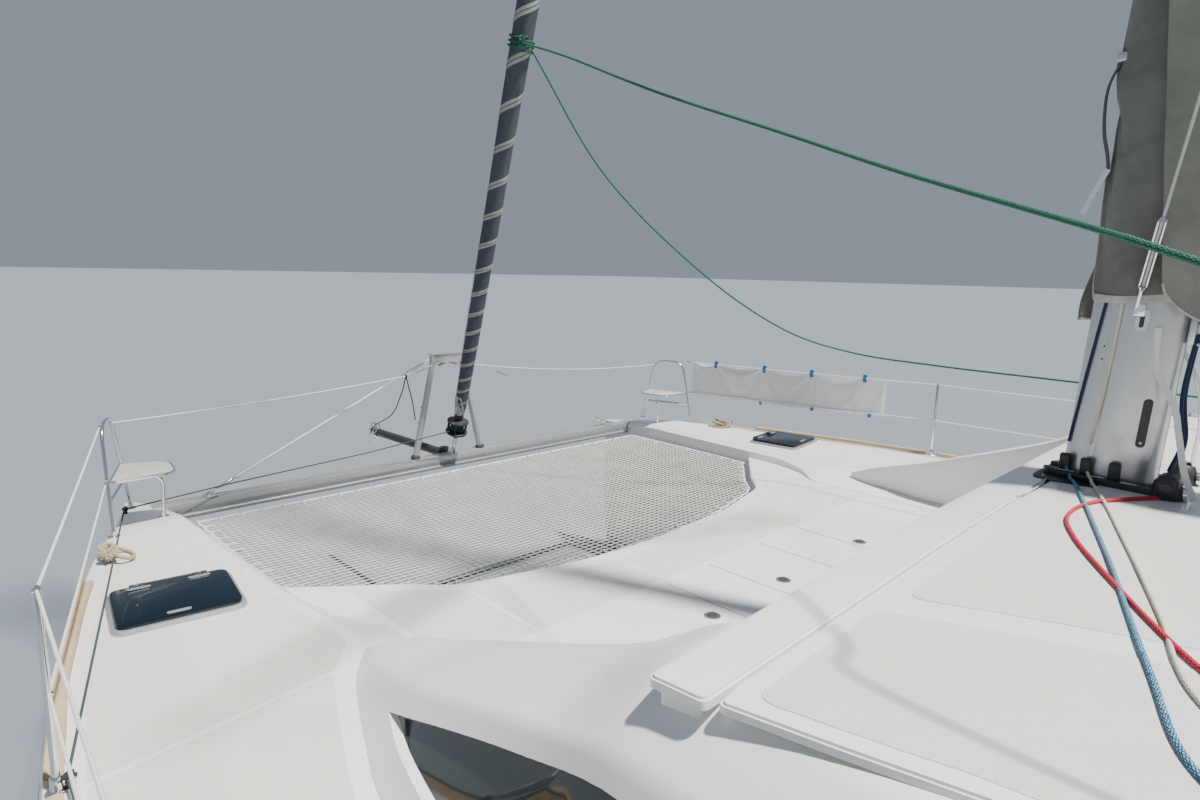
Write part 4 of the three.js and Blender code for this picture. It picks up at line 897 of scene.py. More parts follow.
# %% Bridgedeck
# Columns: y, x of the foredeck's front edge
FRONT_EDGE = [[0, 3.4], [0.5, 3.42], [1.25, 3.57], [1.53, 3.65], [1.8, 3.88], [2.12, 4.12],
              [2.3, 4.26], [2.5, 4.4]]
front_x = curve_of(FRONT_EDGE, 1)
SOLE, UNDERSIDE = 0.68, 0.6
edge_y = spread(-2.48, 2.48, 61)
outline = [(front_x(abs(y)), y) for y in edge_y] + [(-5.4, 2.48), (-5.4, -2.48)]
profile = [(4.6, FOREDECK), (1.4, FOREDECK), (1.4, SOLE), (-5.2, SOLE), (-5.2, UNDERSIDE), (1.7, UNDERSIDE),
           (2.5, 0.72), (3.0, 0.95), (3.35, 1.3), (4.6, 1.52)]
deck_mesh = carved(prism(profile, -2.45, 2.45).mesh("bridge"), [Shape().plate(outline, 0, 2).mesh("plan")],
                   "INTERSECT")
piece("bridge_block", deck_mesh, [gelcoat], replaces=["bridgedeck"], sharp=30)

# %% Deck panels
def on_foredeck(y, x, off):
    return x, y, FOREDECK + off


def on_side_deck(x, y, off):
    return x, y, deck_z(x) + off


tread = Shape()
FRONT_ROW = 2.9
for low_y, high_y in ((-2.06, -1.567), (-1.533, -0.567), (-0.533, 0.533), (0.567, 1.533), (1.567, 2.06)):
    patch(tread, on_foredeck, (low_y, high_y), FRONT_ROW, lambda y: front_x(abs(y)) - 0.11, 0.0018,
          corner=0.02, count=14, rows=4)
lids = Shape()
for low_y, high_y in ((0.2, 0.61), (0.63, 2.02), (-0.37, 0.18), (-0.86, -0.39), (-2.02, -0.88)):
    patch(lids, on_foredeck, (low_y, high_y), 1.78, FRONT_ROW - 0.035, 0.006, corner=0.03, count=8, rows=3)
gutter = Shape().tube([(front_x(abs(y)) - 0.012, y, FOREDECK - 0.02) for y in edge_y[3:-3]], 0.021, sides=12)
piece("foredeck_lids", lids, [gelcoat])
piece("foredeck_lip", gutter, [gelcoat])
piece("foredeck_tread", tread, [nonskid])
strip = Shape()
for ends in ((4.78, 3.01), (2.91, 1.05), (0.95, -0.85), (-0.95, -2.75), (-2.85, -4.3)):
    for margin, rise in ((0.0, 0.024), (0.005, 0.03)):
        patch(strip, on_side_deck, (ends[0] - margin, ends[1] + margin),
              lambda x: deck_edge(x) - 0.078 + margin, lambda x: deck_edge(x) - 0.02 - margin, rise,
              corner=0.018, sink=0.014, rows=3, count=30)
on_both_sides("deck_edge_teak", strip, [teak])
side_tread = Shape()
ARM_TIP = 3.15


def on_slanted_deck(u, y, off):
    """On the side deck, with stations that slant near the gutter by the arm's tip."""
    return on_side_deck(u + 0.142 * (3.0 - y) * max(0, 1 - abs(u - 3) / 1.5), y, off)


def tread_inner(x):
    return max(deck_inner(x), cabin_line[1](x) if x < ARM_TIP else 0) + 0.07


for ends in ((5.64, 3.012), (2.988, -4.2)):
    patch(side_tread, on_slanted_deck, ends, tread_inner,
          lambda x: deck_edge(x) - (0.09 if x > 4.9 else 0.13), 0.0016, corner=0.03, rows=6, count=50)
on_both_sides("side_deck_tread", side_tread, [nonskid])
discs = Shape()
for y in (-0.94, 0.04, 0.75):
    discs.turned([(0, 0), (0.046, 0), (0.046, 0.008), (0.04, 0.011), (0, 0.011)],
                 (2.39, y, FOREDECK + 0.004), finish=0)
    discs.turned([(0, 0.011), (0.03, 0.011), (0.028, 0.0135), (0, 0.0135)],
                 (2.39, y, FOREDECK + 0.004), finish=1)
piece("filler_caps", discs, [steel, rubber])

# %% [markdown]
# ## Topside windows
# Long dark windows in the hulls let light into the cabins. Each is a thin pane that follows the
# hull's side, read from the same curves as the skin.

# %% Topside windows
def on_topside(x, z, off):
    return x, side_y(x, z) + off, z


hull_glass = Shape()
for x0, x1, z0, z1 in ((4.55, 3.95, 1.18, 1.4), (3.2, 2.45, 1.1, 1.4), (1.5, -1.1, 1.02, 1.42),
                       (-2.2, -3.0, 1.08, 1.4)):
    patch(hull_glass, on_topside, (x0, x1), z0, z1, 0.003, corner=0.07, rows=6, count=16)
on_both_sides("topside_glass", hull_glass, [glazing])
rubbing = Shape()
strake_x = spread(6.3, -4.6, 90)
rubbing.tube([(x, side_y(x, deck_z(x) - 0.17) + 0.004, deck_z(x) - 0.17) for x in strake_x], 0.017, sides=10)
on_both_sides("rubbing_strake", rubbing, [gelcoat])
print("deck and hull trim done")

# %% [markdown]
# ## Geometry Nodes
# A tree works like a recipe. It is built once with named inputs, is put on a plain mesh as a
# modifier, and the result is taken off as a plain mesh. `scattered` sets one small piece at many
# points, each turned to face its own way.

# %% Geometry Nodes helpers
def new_tree(name, inputs):
    tree = bpy.data.node_groups.new(name, "GeometryNodeTree")
    tree.interface.new_socket("Geometry", in_out="INPUT", socket_type="NodeSocketGeometry")
    for label, kind in inputs:
        tree.interface.new_socket(label, in_out="INPUT", socket_type=kind)
    tree.interface.new_socket("Geometry", in_out="OUTPUT", socket_type="NodeSocketGeometry")
    return tree, tree.nodes.new("NodeGroupInput").outputs


def grown(mesh, tree, values):
    """The plain mesh that a tree makes from a mesh, with inputs given by name."""
    helper = in_scene("helper", mesh)
    change = helper.modifiers.new("tree", "NODES")
    change.node_group = tree
    for item in tree.interface.items_tree:
        if item.in_out == "INPUT" and item.name in values:
            change[item.identifier] = values[item.name]
    return taken_off(helper)


def make_scatter():
    tree, given = new_tree("scattered", [("Piece", "NodeSocketObject"), ("Material", "NodeSocketMaterial")])
    facing = wire(tree, "GeometryNodeInputNamedAttribute", {"Name": "facing"}, data_type="FLOAT_VECTOR")[0]
    turn = wire(tree, "FunctionNodeAlignRotationToVector", {"Vector": facing}, axis="X")[0]
    item = wire(tree, "GeometryNodeObjectInfo", {"Object": given["Piece"]})["Geometry"]
    points = wire(tree, "GeometryNodeMeshToPoints", {"Mesh": given["Geometry"]})[0]
    copies = wire(tree, "GeometryNodeInstanceOnPoints",
                  {"Points": points, "Instance": item, "Rotation": turn})[0]
    whole = wire(tree, "GeometryNodeRealizeInstances", {0: copies})[0]
    done = wire(tree, "GeometryNodeSetMaterial", {"Geometry": whole, "Material": given["Material"]})[0]
    wire(tree, "NodeGroupOutput", {0: done})
    return tree


SCATTER = make_scatter()


def scattered(shape, spots, finish):
    """Mesh of one shape set at many spots. A spot is a place and the way its X axis faces."""
    holder = bpy.data.objects.new("scatter_piece", shape.mesh("scatter_piece"))
    points = bpy.data.meshes.new("spots")
    points.from_pydata([Vector(p) for p, _ in spots], [], [])
    ways = points.attributes.new("facing", "FLOAT_VECTOR", "POINT")
    ways.data.foreach_set("vector", [c for _, way in spots for c in way])
    result = grown(points, SCATTER, {"Piece": holder, "Material": finish})
    bpy.data.objects.remove(holder)
    return result


# %% [markdown]
# ## The net
# A knotted net hangs between the bows, laced to the beam, the hulls and the foredeck. Its lines
# cross every five centimetres. Python lays out the bare lines and lets them sag, and a tree gives
# them their thickness and ties a knot at every crossing.

# %% Net lines
NET = 1.6
NET_FRONT = 5.94
PITCH_X, PITCH_Y = 0.047, 0.054
NET_HALF = 2.34


def net_side(x):
    """Half width of the net at a station."""
    wall = min(hull_line[7](x), 2.44)
    return min(wall - 0.075, NET_HALF)


def net_aft(y):
    return front_x(abs(y)) + 0.075


def net_z(x, y):
    """The net sags between its edges and is pulled up at each lacing point."""
    a = min(1, max(0, (NET_FRONT - x) / 0.9)) * min(1, max(0, (x - net_aft(y)) / 0.9))
    b = min(1, max(0, (net_side(x) - abs(y)) / 0.9))
    ripple = 0.003 * sin(9.1 * x + 2.3 * y) * sin(7.7 * y - 1.9 * x)
    return NET - 0.03 * a * b + ripple * a


def inside_net(x, y):
    return net_aft(y) < x < NET_FRONT and abs(y) < net_side(x)


def make_net_lines():
    across = int(NET_HALF / PITCH_Y)
    along = int((NET_FRONT - 3.4) / PITCH_X)
    at, edges = {}, []
    for i in range(along + 1):
        for j in range(-across, across + 1):
            x, y = NET_FRONT - PITCH_X * (i + 0.5), PITCH_Y * j
            if inside_net(x, y):
                at[i, j] = (x, y)
    keys = list(at)
    number = {key: k for k, key in enumerate(keys)}
    points = [Vector((*at[key], net_z(*at[key]))) for key in keys]
    for i, j in keys:
        x, y = at[i, j]
        for di, dj in ((1, 0), (0, 1), (-1, 0), (0, -1)):
            if (i + di, j + dj) in number:
                if di + dj > 0:
                    edges.append((number[i, j], number[i + di, j + dj]))
            else:
                end_x = NET_FRONT if di < 0 else net_aft(y) if di > 0 else x
                end_y = copysign(net_side(x), dj) if dj else y
                if (Vector((end_x, end_y)) - Vector((x, y))).length < 1.6 * PITCH_Y:
                    edges.append((number[i, j], len(points)))
                    points.append(Vector((end_x, end_y, net_z(end_x, end_y))))
    made = bpy.data.meshes.new("net_lines")
    made.from_pydata(points, edges, [])
    return made


def make_net_tree():
    tree, given = new_tree("knotted_net", [("Cord Radius", NUMBER), ("Knot Radius", NUMBER),
                                           ("Material", "NodeSocketMaterial")])
    lines = wire(tree, "GeometryNodeMeshToCurve", {"Mesh": given["Geometry"]})[0]
    ring = wire(tree, "GeometryNodeCurvePrimitiveCircle",
                {"Resolution": 4, "Radius": given["Cord Radius"]})[0]
    cords = wire(tree, "GeometryNodeCurveToMesh", {"Curve": lines, "Profile Curve": ring})[0]
    points = wire(tree, "GeometryNodeMeshToPoints", {"Mesh": given["Geometry"]})[0]
    knot = wire(tree, "GeometryNodeMeshUVSphere",
                {"Segments": 5, "Rings": 3, "Radius": given["Knot Radius"]})[0]
    knots = wire(tree, "GeometryNodeInstanceOnPoints", {"Points": points, "Instance": knot})[0]
    plain = wire(tree, "GeometryNodeRealizeInstances", {0: knots})[0]
    both = tree.nodes.new("GeometryNodeJoinGeometry")
    tree.links.new(plain, both.inputs[0])
    tree.links.new(cords, both.inputs[0])
    done = wire(tree, "GeometryNodeSetMaterial",
                {"Geometry": both.outputs[0], "Material": given["Material"]})[0]
    wire(tree, "NodeGroupOutput", {0: done})
    return tree


net_mesh = grown(make_net_lines(), make_net_tree(),
                 {"Cord Radius": 0.0043, "Knot Radius": 0.0074, "Material": net_cord})
piece("knotted_net", net_mesh, [net_cord], replaces=["trampoline"])
print("net:", len(net_mesh.polygons), "faces")

# %% [markdown]
# A bolt rope runs round the net, and a lacing loop goes from it to a hook every 16 cm.

# %% Bolt rope and lacing
def net_rim():
    """The net's outline from its forward port corner round to starboard and back, with outward ways."""
    ys = spread(-NET_HALF, NET_HALF, 80)
    aft = [(net_aft(y), y) for y in ys if inside_net(net_aft(y) + 0.01, y)]
    port = [(x, net_side(x)) for x in spread(NET_FRONT, aft[-1][0], 40)]
    starboard = [(x, -y) for x, y in port[::-1]]
    front = [(NET_FRONT, y) for y in spread(-port[0][1], port[0][1], 60)]
    return port + aft[::-1] + starboard + front


def by_length(points, gap):
    """Points evenly spaced along a closed line, with the direction there."""
    pts = [Vector(p) for p in points]
    lengths = [(b - a).length for a, b in zip(pts, pts[1:] + pts[:1])]
    count = round(sum(lengths) / gap)
    step = sum(lengths) / count
    made, i, passed = [], 0, 0.0
    for k in range(count):
        while passed + lengths[i] < k * step:
            passed += lengths[i]
            i += 1
        a, b = pts[i], pts[(i + 1) % len(pts)]
        made.append((a.lerp(b, (k * step - passed) / max(lengths[i], 1e-6)), (b - a).normalized()))
    return made


rim = net_rim()
LACING_GAP = 0.155
spots = by_length(rim, LACING_GAP)
rope_line = []
for p, d in by_length(rim, LACING_GAP / 6):
    outward = Vector((-d.y, d.x))
    near = min((p - q).length for q, _ in spots)
    rope_line.append(Vector((*(p + outward * 0.012 * (1 - 2 * near / LACING_GAP)), net_z(*p))))
bolt = Shape().tube(rope_line, 0.0085, sides=8, loop=True)
piece("net_bolt_rope", bolt, [white_rope])
loop = Shape()
loop.tube([(0.0, 0.006, 0.006), (0.03, 0.008, 0.008), (0.062, 0.004, 0.004), (0.062, -0.004, 0.004),
           (0.03, -0.008, 0.008), (0.0, -0.006, 0.006)], 0.0028, sides=5)
loop.tube([(0.056, 0, 0.014), (0.066, 0, 0.004), (0.085, 0, 0.0)], 0.005, sides=6)
lacing = scattered(loop, [((*p, net_z(*p)), (-d.y, d.x, 0)) for p, d in spots], white_rope)
piece("net_lacing", lacing, [white_rope])
print("lacing loops:", len(spots))

# %% [markdown]
# ## Crossbeam, striker frame and sprit
# The beam is one alloy extrusion with two grooves along its top. The frame on it takes the pull
# of the stay: two round legs, a hollow head and a wire down to each end of the beam.

# %% Crossbeam
BEAM_X, BEAM_TOP, BEAM_FOOT, BEAM_HALF = 6.2, 1.71, 1.572, 0.06
BEAM_END = 2.558
LACED_Y = 2.4


def beam_ring(y):
    aft, fore = BEAM_X - BEAM_HALF, BEAM_X + BEAM_HALF
    top = [(aft, BEAM_TOP - 0.022), (aft + 0.005, BEAM_TOP - 0.006), (aft + 0.02, BEAM_TOP)]
    for centre in (BEAM_X - 0.022, BEAM_X + 0.022):
        top += [(centre - 0.008, BEAM_TOP), (centre - 0.006, BEAM_TOP - 0.007),
                (centre + 0.006, BEAM_TOP - 0.007), (centre + 0.008, BEAM_TOP)]
    top += [(fore - 0.02, BEAM_TOP), (fore - 0.005, BEAM_TOP - 0.006), (fore, BEAM_TOP - 0.022)]
    foot = [(fore, BEAM_FOOT + 0.03), (fore - 0.012, BEAM_FOOT + 0.009), (fore - 0.03, BEAM_FOOT),
            (aft + 0.03, BEAM_FOOT), (aft + 0.012, BEAM_FOOT + 0.009), (aft, BEAM_FOOT + 0.03)]
    return [(x, y, z) for x, z in top + foot]


beam = Shape().skin([beam_ring(y) for y in spread(-BEAM_END, BEAM_END, 13)])
beam.box((BEAM_X - 0.075, -LACED_Y, NET - 0.008), (BEAM_X - 0.058, LACED_Y, NET + 0.012), soft=0.004)
for side in (-1, 1):
    beam.box((BEAM_X - 0.056, side * 2.165 - 0.045, BEAM_TOP - 0.002), (BEAM_X + 0.056, side * 2.165 + 0.045,
             BEAM_TOP + 0.008), soft=0.012)
piece("crossbeam_profile", beam, [alloy], replaces=["crossbeam"], sharp=30)
bolt_head = Shape().turned([(0, 0), (0.0085, 0), (0.0085, 0.004), (0.006, 0.006), (0, 0.006)], (0, 0, 0),
                           (1, 0, 0), sides=8)
spots = [((BEAM_X + dx, side * (2.165 + dy), BEAM_TOP + 0.007), (0, 0, 1)) for side in (-1, 1)
         for dx in (-0.04, 0.04) for dy in (-0.03, 0.03)]
spots += [((BEAM_X - BEAM_HALF + 0.001, side * y, BEAM_TOP - 0.06), (-1, 0, 0)) for side in (-1, 1)
          for y in (0.3, 0.42, 2.3, 2.42, 2.5)]
piece("crossbeam_bolts", scattered(bolt_head, spots, steel), [steel])

# %% Striker frame
LEG_FOOT, LEG_HEAD = (BEAM_X, 0.366, BEAM_TOP + 0.004), (BEAM_X, 0.155, 2.64)
HEAD_HALF, HEAD_Z = 0.19, (2.612, 2.7)
frame_shape = Shape()
for side in (-1, 1):
    foot = Vector((LEG_FOOT[0], side * LEG_FOOT[1], LEG_FOOT[2]))
    head = Vector((LEG_HEAD[0], side * LEG_HEAD[1], LEG_HEAD[2]))
    along = (head - foot).normalized()
    frame_shape.tube([foot, head], 0.03, sides=20)
    frame_shape.tube([foot, foot + along * 0.012, foot + along * 0.03], [0.046, 0.045, 0.033], 1, sides=20)
    for at in (0.36, 0.52):
        spot = foot.lerp(head, at)
        frame_shape.tube([spot + Vector((0.01, side * 0.028, 0)), spot + Vector((0.01, side * 0.042, 0))],
                         0.009, 2, 8)
rows = [(0, HEAD_Z[0]), (0.004, HEAD_Z[1] - 0.016), (0.014, HEAD_Z[1] - 0.012), (0.016, HEAD_Z[1] - 0.003),
        (0.006, HEAD_Z[1])]
head_plan = oblong(BEAM_X - 0.042, -HEAD_HALF, BEAM_X + 0.042, HEAD_HALF, 0.03)
frame_shape.skin([[(x, y, z) for x, y in inset(head_plan, 0.008 - by)] for by, z in rows])
for side in (-1, 1):
    frame_shape.tube([(BEAM_X, side * 0.1, HEAD_Z[0] - 0.03), (BEAM_X, side * 0.02, HEAD_Z[0] - 0.004)],
                     0.012, sides=10)
piece("striker_legs", frame_shape, [alloy, rubber, steel],
      replaces=["striker_frame"])


def turnbuckle(shape, low, high, finish=0, size=0.011):
    """Rigging screw between two points, with its forks and its open body."""
    low, high = Vector(low), Vector(high)
    along = high - low
    for a, b, r in ((0, 0.2, size * 0.5), (0.2, 0.78, size), (0.78, 1, size * 0.5)):
        shape.tube([low + along * a, low + along * (a + 0.02), low + along * (b - 0.02), low + along * b],
                   [r * 0.8, r, r, r * 0.8], finish, 10)
    across = along.orthogonal().normalized() * size
    for end in (0.03, 0.97):
        spot = low + along * end
        shape.tube([spot - across * 1.6, spot + across * 1.6], size * 0.55, finish, 8)
    return shape


stay = Shape()
for side in (-1, 1):
    low, high = Vector((BEAM_X, side * 2.165, BEAM_TOP + 0.02)), Vector((BEAM_X, side * 0.188, 2.66))
    along = (high - low).normalized()
    turnbuckle(stay, low, low + along * 0.24, size=0.012)
    stay.tube([low + along * 0.235, high], 0.0045, 1, 6)
    stay.turned([(0.018, 0), (0.018, 0.02), (0.006, 0.03)], low - along * 0.022, along, sides=10)
    if side > 0:
        stay.tube([low + along * 0.22, low.lerp(high, 0.75)], 0.0085, 2, 8)
piece("striker_wires", stay, [steel, wire_rope, white_rope])

# %% Sprit
SPRIT_HEEL, SPRIT_TIP, SPRIT_RADIUS = Vector((6.262, 0, 1.688)), Vector((7.795, 0, 1.66)), 0.042
sprit = Shape()
along = (SPRIT_TIP - SPRIT_HEEL).normalized()
length = (SPRIT_TIP - SPRIT_HEEL).length
sprit.turned([(0.0, 0), (0.074, 0), (0.078, 0.02), (0.07, 0.06), (0.05, 0.075), (SPRIT_RADIUS, 0.085),
              (SPRIT_RADIUS, length - 0.16), (0.047, length - 0.155), (0.047, length - 0.02),
              (0.036, length)], SPRIT_HEEL, along, sides=32)
for back in (0.04, 0.12):
    spot = SPRIT_TIP - along * back
    sprit.tube([spot + Vector((0, 0.03 * sin(a), 0.066 + 0.026 * cos(a)))
                for a in full_turn(16)], 0.007, 1, 8, loop=True)
    sprit.turned([(0.049, -0.012), (0.052, -0.008), (0.052, 0.008), (0.049, 0.012)], spot, along, 1, 24)
piece("sprit", sprit, [black, steel], replaces=["bowsprit"])

# %% [markdown]
# ## Furled headsail
# The sail is rolled round its stay, so its edge runs up it as a helix. The turns are close at the
# foot and wider higher up, and the height of each one is in `TURNS`. The skin's U counts turns,
# and the shader paints the pale edge wherever U is close to a whole number.

# %% Headsail
STAY_FOOT = Vector((6.142, 0, 1.678))
STAY_AXIS = Vector((-0.289512, 0, 0.957174))
# Distances up the stay where the edge faces the camera
TURNS = [0.44, 0.51, 0.587, 0.719, 0.835, 0.985, 1.13, 1.3, 1.477, 1.673, 1.885, 2.112, 2.364, 2.627,
         2.929, 3.256]
TURNS += [3.256 + 0.345 * k for k in range(1, 46)]
turn_at = curve_of([[s, k] for k, s in enumerate(TURNS)], 1)
ROLL = [[0.44, 0.03], [0.5, 0.05], [0.6, 0.058], [1.5, 0.069], [3.9, 0.09], [4.3, 0.094], [9, 0.086],
        [14.5, 0.064], [18, 0.042], [18.7, 0.024]]
roll_radius = curve_of(ROLL, 1)
CAMERA_SIDE = radians(145)
STAY_SIDE = Vector((0, 1, 0))
STAY_FRONT = STAY_SIDE.cross(STAY_AXIS)


def on_stay(s, angle, radius):
    """Point beside the stay: the angle runs from forward to port."""
    return STAY_FOOT + STAY_AXIS * s + (STAY_FRONT * cos(angle) + STAY_SIDE * sin(angle)) * radius


def make_rolled_cloth():
    """Two shades split at the sail's edge, with a dark seam along the middle of the pale one."""
    made, tree, shader = new_material("rolled_cloth")
    uv = parts_of(tree, wire(tree, "ShaderNodeTexCoord")["UV"])
    turn = maths(tree, "FRACT", uv[0])
    pale = maths(tree, "LESS_THAN", turn, 0.2)
    middle = wire(tree, "ShaderNodeMath", {0: turn, 1: 0.1, 2: 0.015}, operation="COMPARE")[0]
    seam = maths(tree, "MULTIPLY", pale, middle)
    dark = effect_node(tree, PATINA, {"Color": (0.062, 0.075, 0.095, 1), "Shade": (0.04, 0.05, 0.066, 1),
                                      "Scale": 3.0, "Amount": 0.8})["Color"]
    light = effect_node(tree, PATINA, {"Color": (0.42, 0.42, 0.39, 1), "Shade": (0.27, 0.27, 0.25, 1),
                                       "Scale": 6.0, "Amount": 0.8})["Color"]
    sewn = mixed(tree, seam, mixed(tree, pale, dark, light), (0.1, 0.1, 0.1, 1))
    tree.links.new(sewn, shader.inputs["Base Color"])
    shader.inputs["Roughness"].default_value = 0.72
    raised(tree, shader, effect_node(tree, WEAVE, {"Threads": 1300.0})["Height"], 0.0004)
    return made


def make_sail():
    """Skin over close rings. The radius steps down past the edge and swells where cloth is bunched."""
    sail = Shape()
    sides = 40
    heights = [0.4405]
    while heights[-1] < 18.69:
        heights.append(min(18.69, heights[-1] + (0.016 if heights[-1] < 3.4 else 0.03)))
    for s in heights:
        for j in range(sides):
            angle = CAMERA_SIDE + 2 * pi * j / sides
            part = (turn_at(s) - j / sides) % 1
            swell = 0.02 * sin(3 * angle + 1.7 * s) + 0.012 * sin(2 * angle - 5.1 * s)
            edge = 0.05 * (1 - part) ** 3 * min(1, part / 0.03)
            sail.points.append(on_stay(s, angle, roll_radius(s) * (0.955 + edge + swell)))
    for i in range(len(heights) - 1):
        for j in range(sides):
            k = (j + 1) % sides
            low, high = turn_at(heights[i]), turn_at(heights[i + 1])
            u0, u1 = j / sides, (j + 1) / sides
            sail.face((i * sides + j, i * sides + k, (i + 1) * sides + k, (i + 1) * sides + j), 0,
                      [(low - u0, heights[i]), (low - u1, heights[i]), (high - u1, heights[i + 1]),
                       (high - u0, heights[i + 1])])
    sail.face(tuple(range(sides)))
    sail.face(tuple(range(len(sail.points) - sides, len(sail.points))))
    return sail


rolled_cloth = make_rolled_cloth()
sail = make_sail()
piece("rolled_sail", sail, [rolled_cloth], "headsail", ["furled_headsail"], sharp=60)
print("sail:", len(sail.faces), "faces")

# %% [markdown]
# Below the sail are the furling drum with its green line, the black cone that the sail's tack is
# shackled to and the pale corner of the sail. At the clew the sheet is wound round the roll.

# %% Furler
furl = Shape()
furl.turned([(0.0, 0.263), (0.07, 0.263), (0.1, 0.268), (0.104, 0.275), (0.104, 0.288), (0.094, 0.293),
             (0.048, 0.297), (0.046, 0.375), (0.09, 0.38), (0.103, 0.386), (0.103, 0.397), (0.06, 0.403),
             (0.04, 0.41), (0.034, 0.42), (0.046, 0.44), (0.04, 0.5), (0.033, 0.58), (0.0, 0.585)],
            STAY_FOOT, STAY_AXIS, 0, 40)
for angle in spread(0.3, 2 * pi + 0.3, 7)[:-1]:
    furl.tube([on_stay(0.29, angle, 0.094), on_stay(0.385, angle, 0.094)], 0.007, 0, 8)
turns = []
for k in range(97):
    turn = k / 16
    up = 0.308 + 0.058 * abs((turn / 3) % 2 - 1)
    turns.append(on_stay(up, 2 * pi * turn, 0.056 + 0.004 * (turn // 3)))
furl.tube(turns, 0.005, 1, 7)
furl.tube([on_stay(0.47, CAMERA_SIDE - 0.7, 0.046), on_stay(0.5, CAMERA_SIDE - 0.5, 0.062),
           on_stay(0.56, CAMERA_SIDE - 0.6, 0.06)], 0.006, 2, 8)
piece("furler", furl, [black, green_rope, steel], "headsail", ["furler_drum"])
tack = Shape()
tack.skin([[on_stay(s, CAMERA_SIDE + a, roll_radius(s) * (1.02 + 0.05 * sin(3 * a + 30 * s)))
            for a in spread(-1.9, 1.2 - 7 * (s - 0.47), 14)]
           + [on_stay(s, CAMERA_SIDE + a, roll_radius(s) * 0.93)
              for a in spread(1.2 - 7 * (s - 0.47), -1.9, 14)] for s in spread(0.47, 0.66, 12)])
piece("tack_patch", tack, [hem_cloth], "headsail", sharp=60)
CLEW = 3.742
wraps = Shape()
coil = []
for k in range(60):
    turn = k / 20
    coil.append(on_stay(CLEW - 0.06 + 0.035 * turn + 0.01 * sin(4 * pi * turn), 2 * pi * turn + 2.6, 0.1))
wraps.tube(coil, 0.0075, 0, 8)
for turn in range(2):
    knot = [on_stay(CLEW + 0.02 * sin(2 * a) + 0.03 * turn, 2.6 + 0.25 * cos(a), 0.112 + 0.016 * sin(a))
            for a in full_turn(18)]
    wraps.tube(knot, 0.0075, 0, 8, loop=True)
wraps.tube([on_stay(s, CAMERA_SIDE - 1.25 + 0.1 * sin(3 * s), roll_radius(s) + 0.004)
            for s in spread(0.66, 3.6, 60)], 0.0028, 1, 6)
piece("clew_wraps", wraps, [green_rope, white_rope], "headsail")

# %% Stay foot and head
foot = Shape()
foot.box((6.082, -0.03, BEAM_TOP + 0.001), (6.18, 0.03, BEAM_TOP + 0.012), soft=0.004)
for side in (-1, 1):
    foot.plate([(6.11, side * 0.014), (6.165, side * 0.014), (6.165, side * 0.024), (6.11, side * 0.024)],
               BEAM_TOP + 0.01, BEAM_TOP + 0.062)
foot.tube([(6.128, -0.03, BEAM_TOP + 0.045), (6.128, 0.03, BEAM_TOP + 0.045)], 0.008)
foot.turned([(0.01, 0.075), (0.012, 0.08), (0.012, 0.12), (0.022, 0.125), (0.024, 0.215), (0.014, 0.22),
             (0.012, 0.258), (0.0, 0.26)], STAY_FOOT, STAY_AXIS, 0, 20)
for angle in spread(0, pi, 3)[:-1]:
    foot.tube([on_stay(0.17, angle, 0.03), on_stay(0.17, angle + pi, 0.03)], 0.004, 0, 6)
piece("stay_foot", foot, [steel], replaces=["forestay_foot"])
print("front gear done")

# %% [markdown]
# ## Seats, stanchions and lifelines
# The seat on each bow hangs in a bent rail. Stanchions stand along the deck's edge, and a tree
# sets the same socket at the foot of each one.

# %% Bow seats
RAIL = 0.0125
HOOP = [(6.11, 2.712, 1.752), (6.01, 2.802, 2.451), (5.682, 2.915, 2.451), (5.536, 2.924, 1.752)]
SEAT = [(5.575, 2.925), (5.6, 2.56), (5.66, 2.51), (5.9, 2.48), (5.975, 2.52), (6.085, 2.765)]
SEAT_Z = 2.1
seat = Shape()
seat.tube(eased(HOOP, [0.13, 0.13]), RAIL, 0, 12)
seat.tube([(6.06, 2.757, 1.96), (5.592, 2.92, 1.96)], 0.011, 0, 10)
seat.tube(eased([(5.765, 2.585, 1.752), (5.765, 2.57, 2.03), (5.765, 2.7, 2.084)], [0.07]), RAIL, 0, 12)
for x, y in ((6.11, 2.712), (5.536, 2.924), (5.765, 2.585)):
    seat.turned([(0.0, 0), (0.036, 0), (0.036, 0.005), (0.018, 0.01), (0.016, 0.035), (0.013, 0.036)],
                (x, y, 1.7505), (0, 0, 1), 0, 20)
seat_outline = rounded(SEAT, 0.07, 5)
seat.plate(seat_outline, SEAT_Z - 0.018, SEAT_Z - 0.008, 0, 0.004)
seat.tube([(x, y, SEAT_Z - 0.009) for x, y in inset(seat_outline, 0.008)], 0.009, 0, 8, loop=True)
seat.plate(inset(seat_outline, 0.014), SEAT_Z - 0.01, SEAT_Z, 1, 0.004)
on_both_sides("bow_seat_rail", seat, [steel, vinyl], replaces=["bow_seat"])

# %% Stanchions and wires
POSTS = [(2.96, 3.575), (1.0, 3.64), (-0.9, 3.65), (-2.8, 3.63), (-4.4, 3.56)]
POST_HEIGHT, WIRES_Z = 0.73, (2.105, 2.465)
posts = Shape()
for x, y in POSTS:
    posts.tube([(x, y, DECK), (x, y - 0.011, DECK + POST_HEIGHT - 0.012), (x, y - 0.012, DECK + POST_HEIGHT)],
               [0.0125, 0.012, 0.006], 0, 12)
    for z in WIRES_Z:
        posts.tube([(x, y - 0.022, z), (x, y + 0.004, z)], 0.0075, 0, 8)
x, y = POSTS[-1]
posts.tube(eased([(x, y - 0.012, 2.46), (x - 0.25, y - 0.012, 2.46), (x - 0.25, y - 0.012, DECK + 0.001)],
                 [0.1]), RAIL, 0, 12)
posts.tube([(x, y - 0.01, 2.105), (x - 0.25, y - 0.012, 2.105)], 0.011, 0, 10)
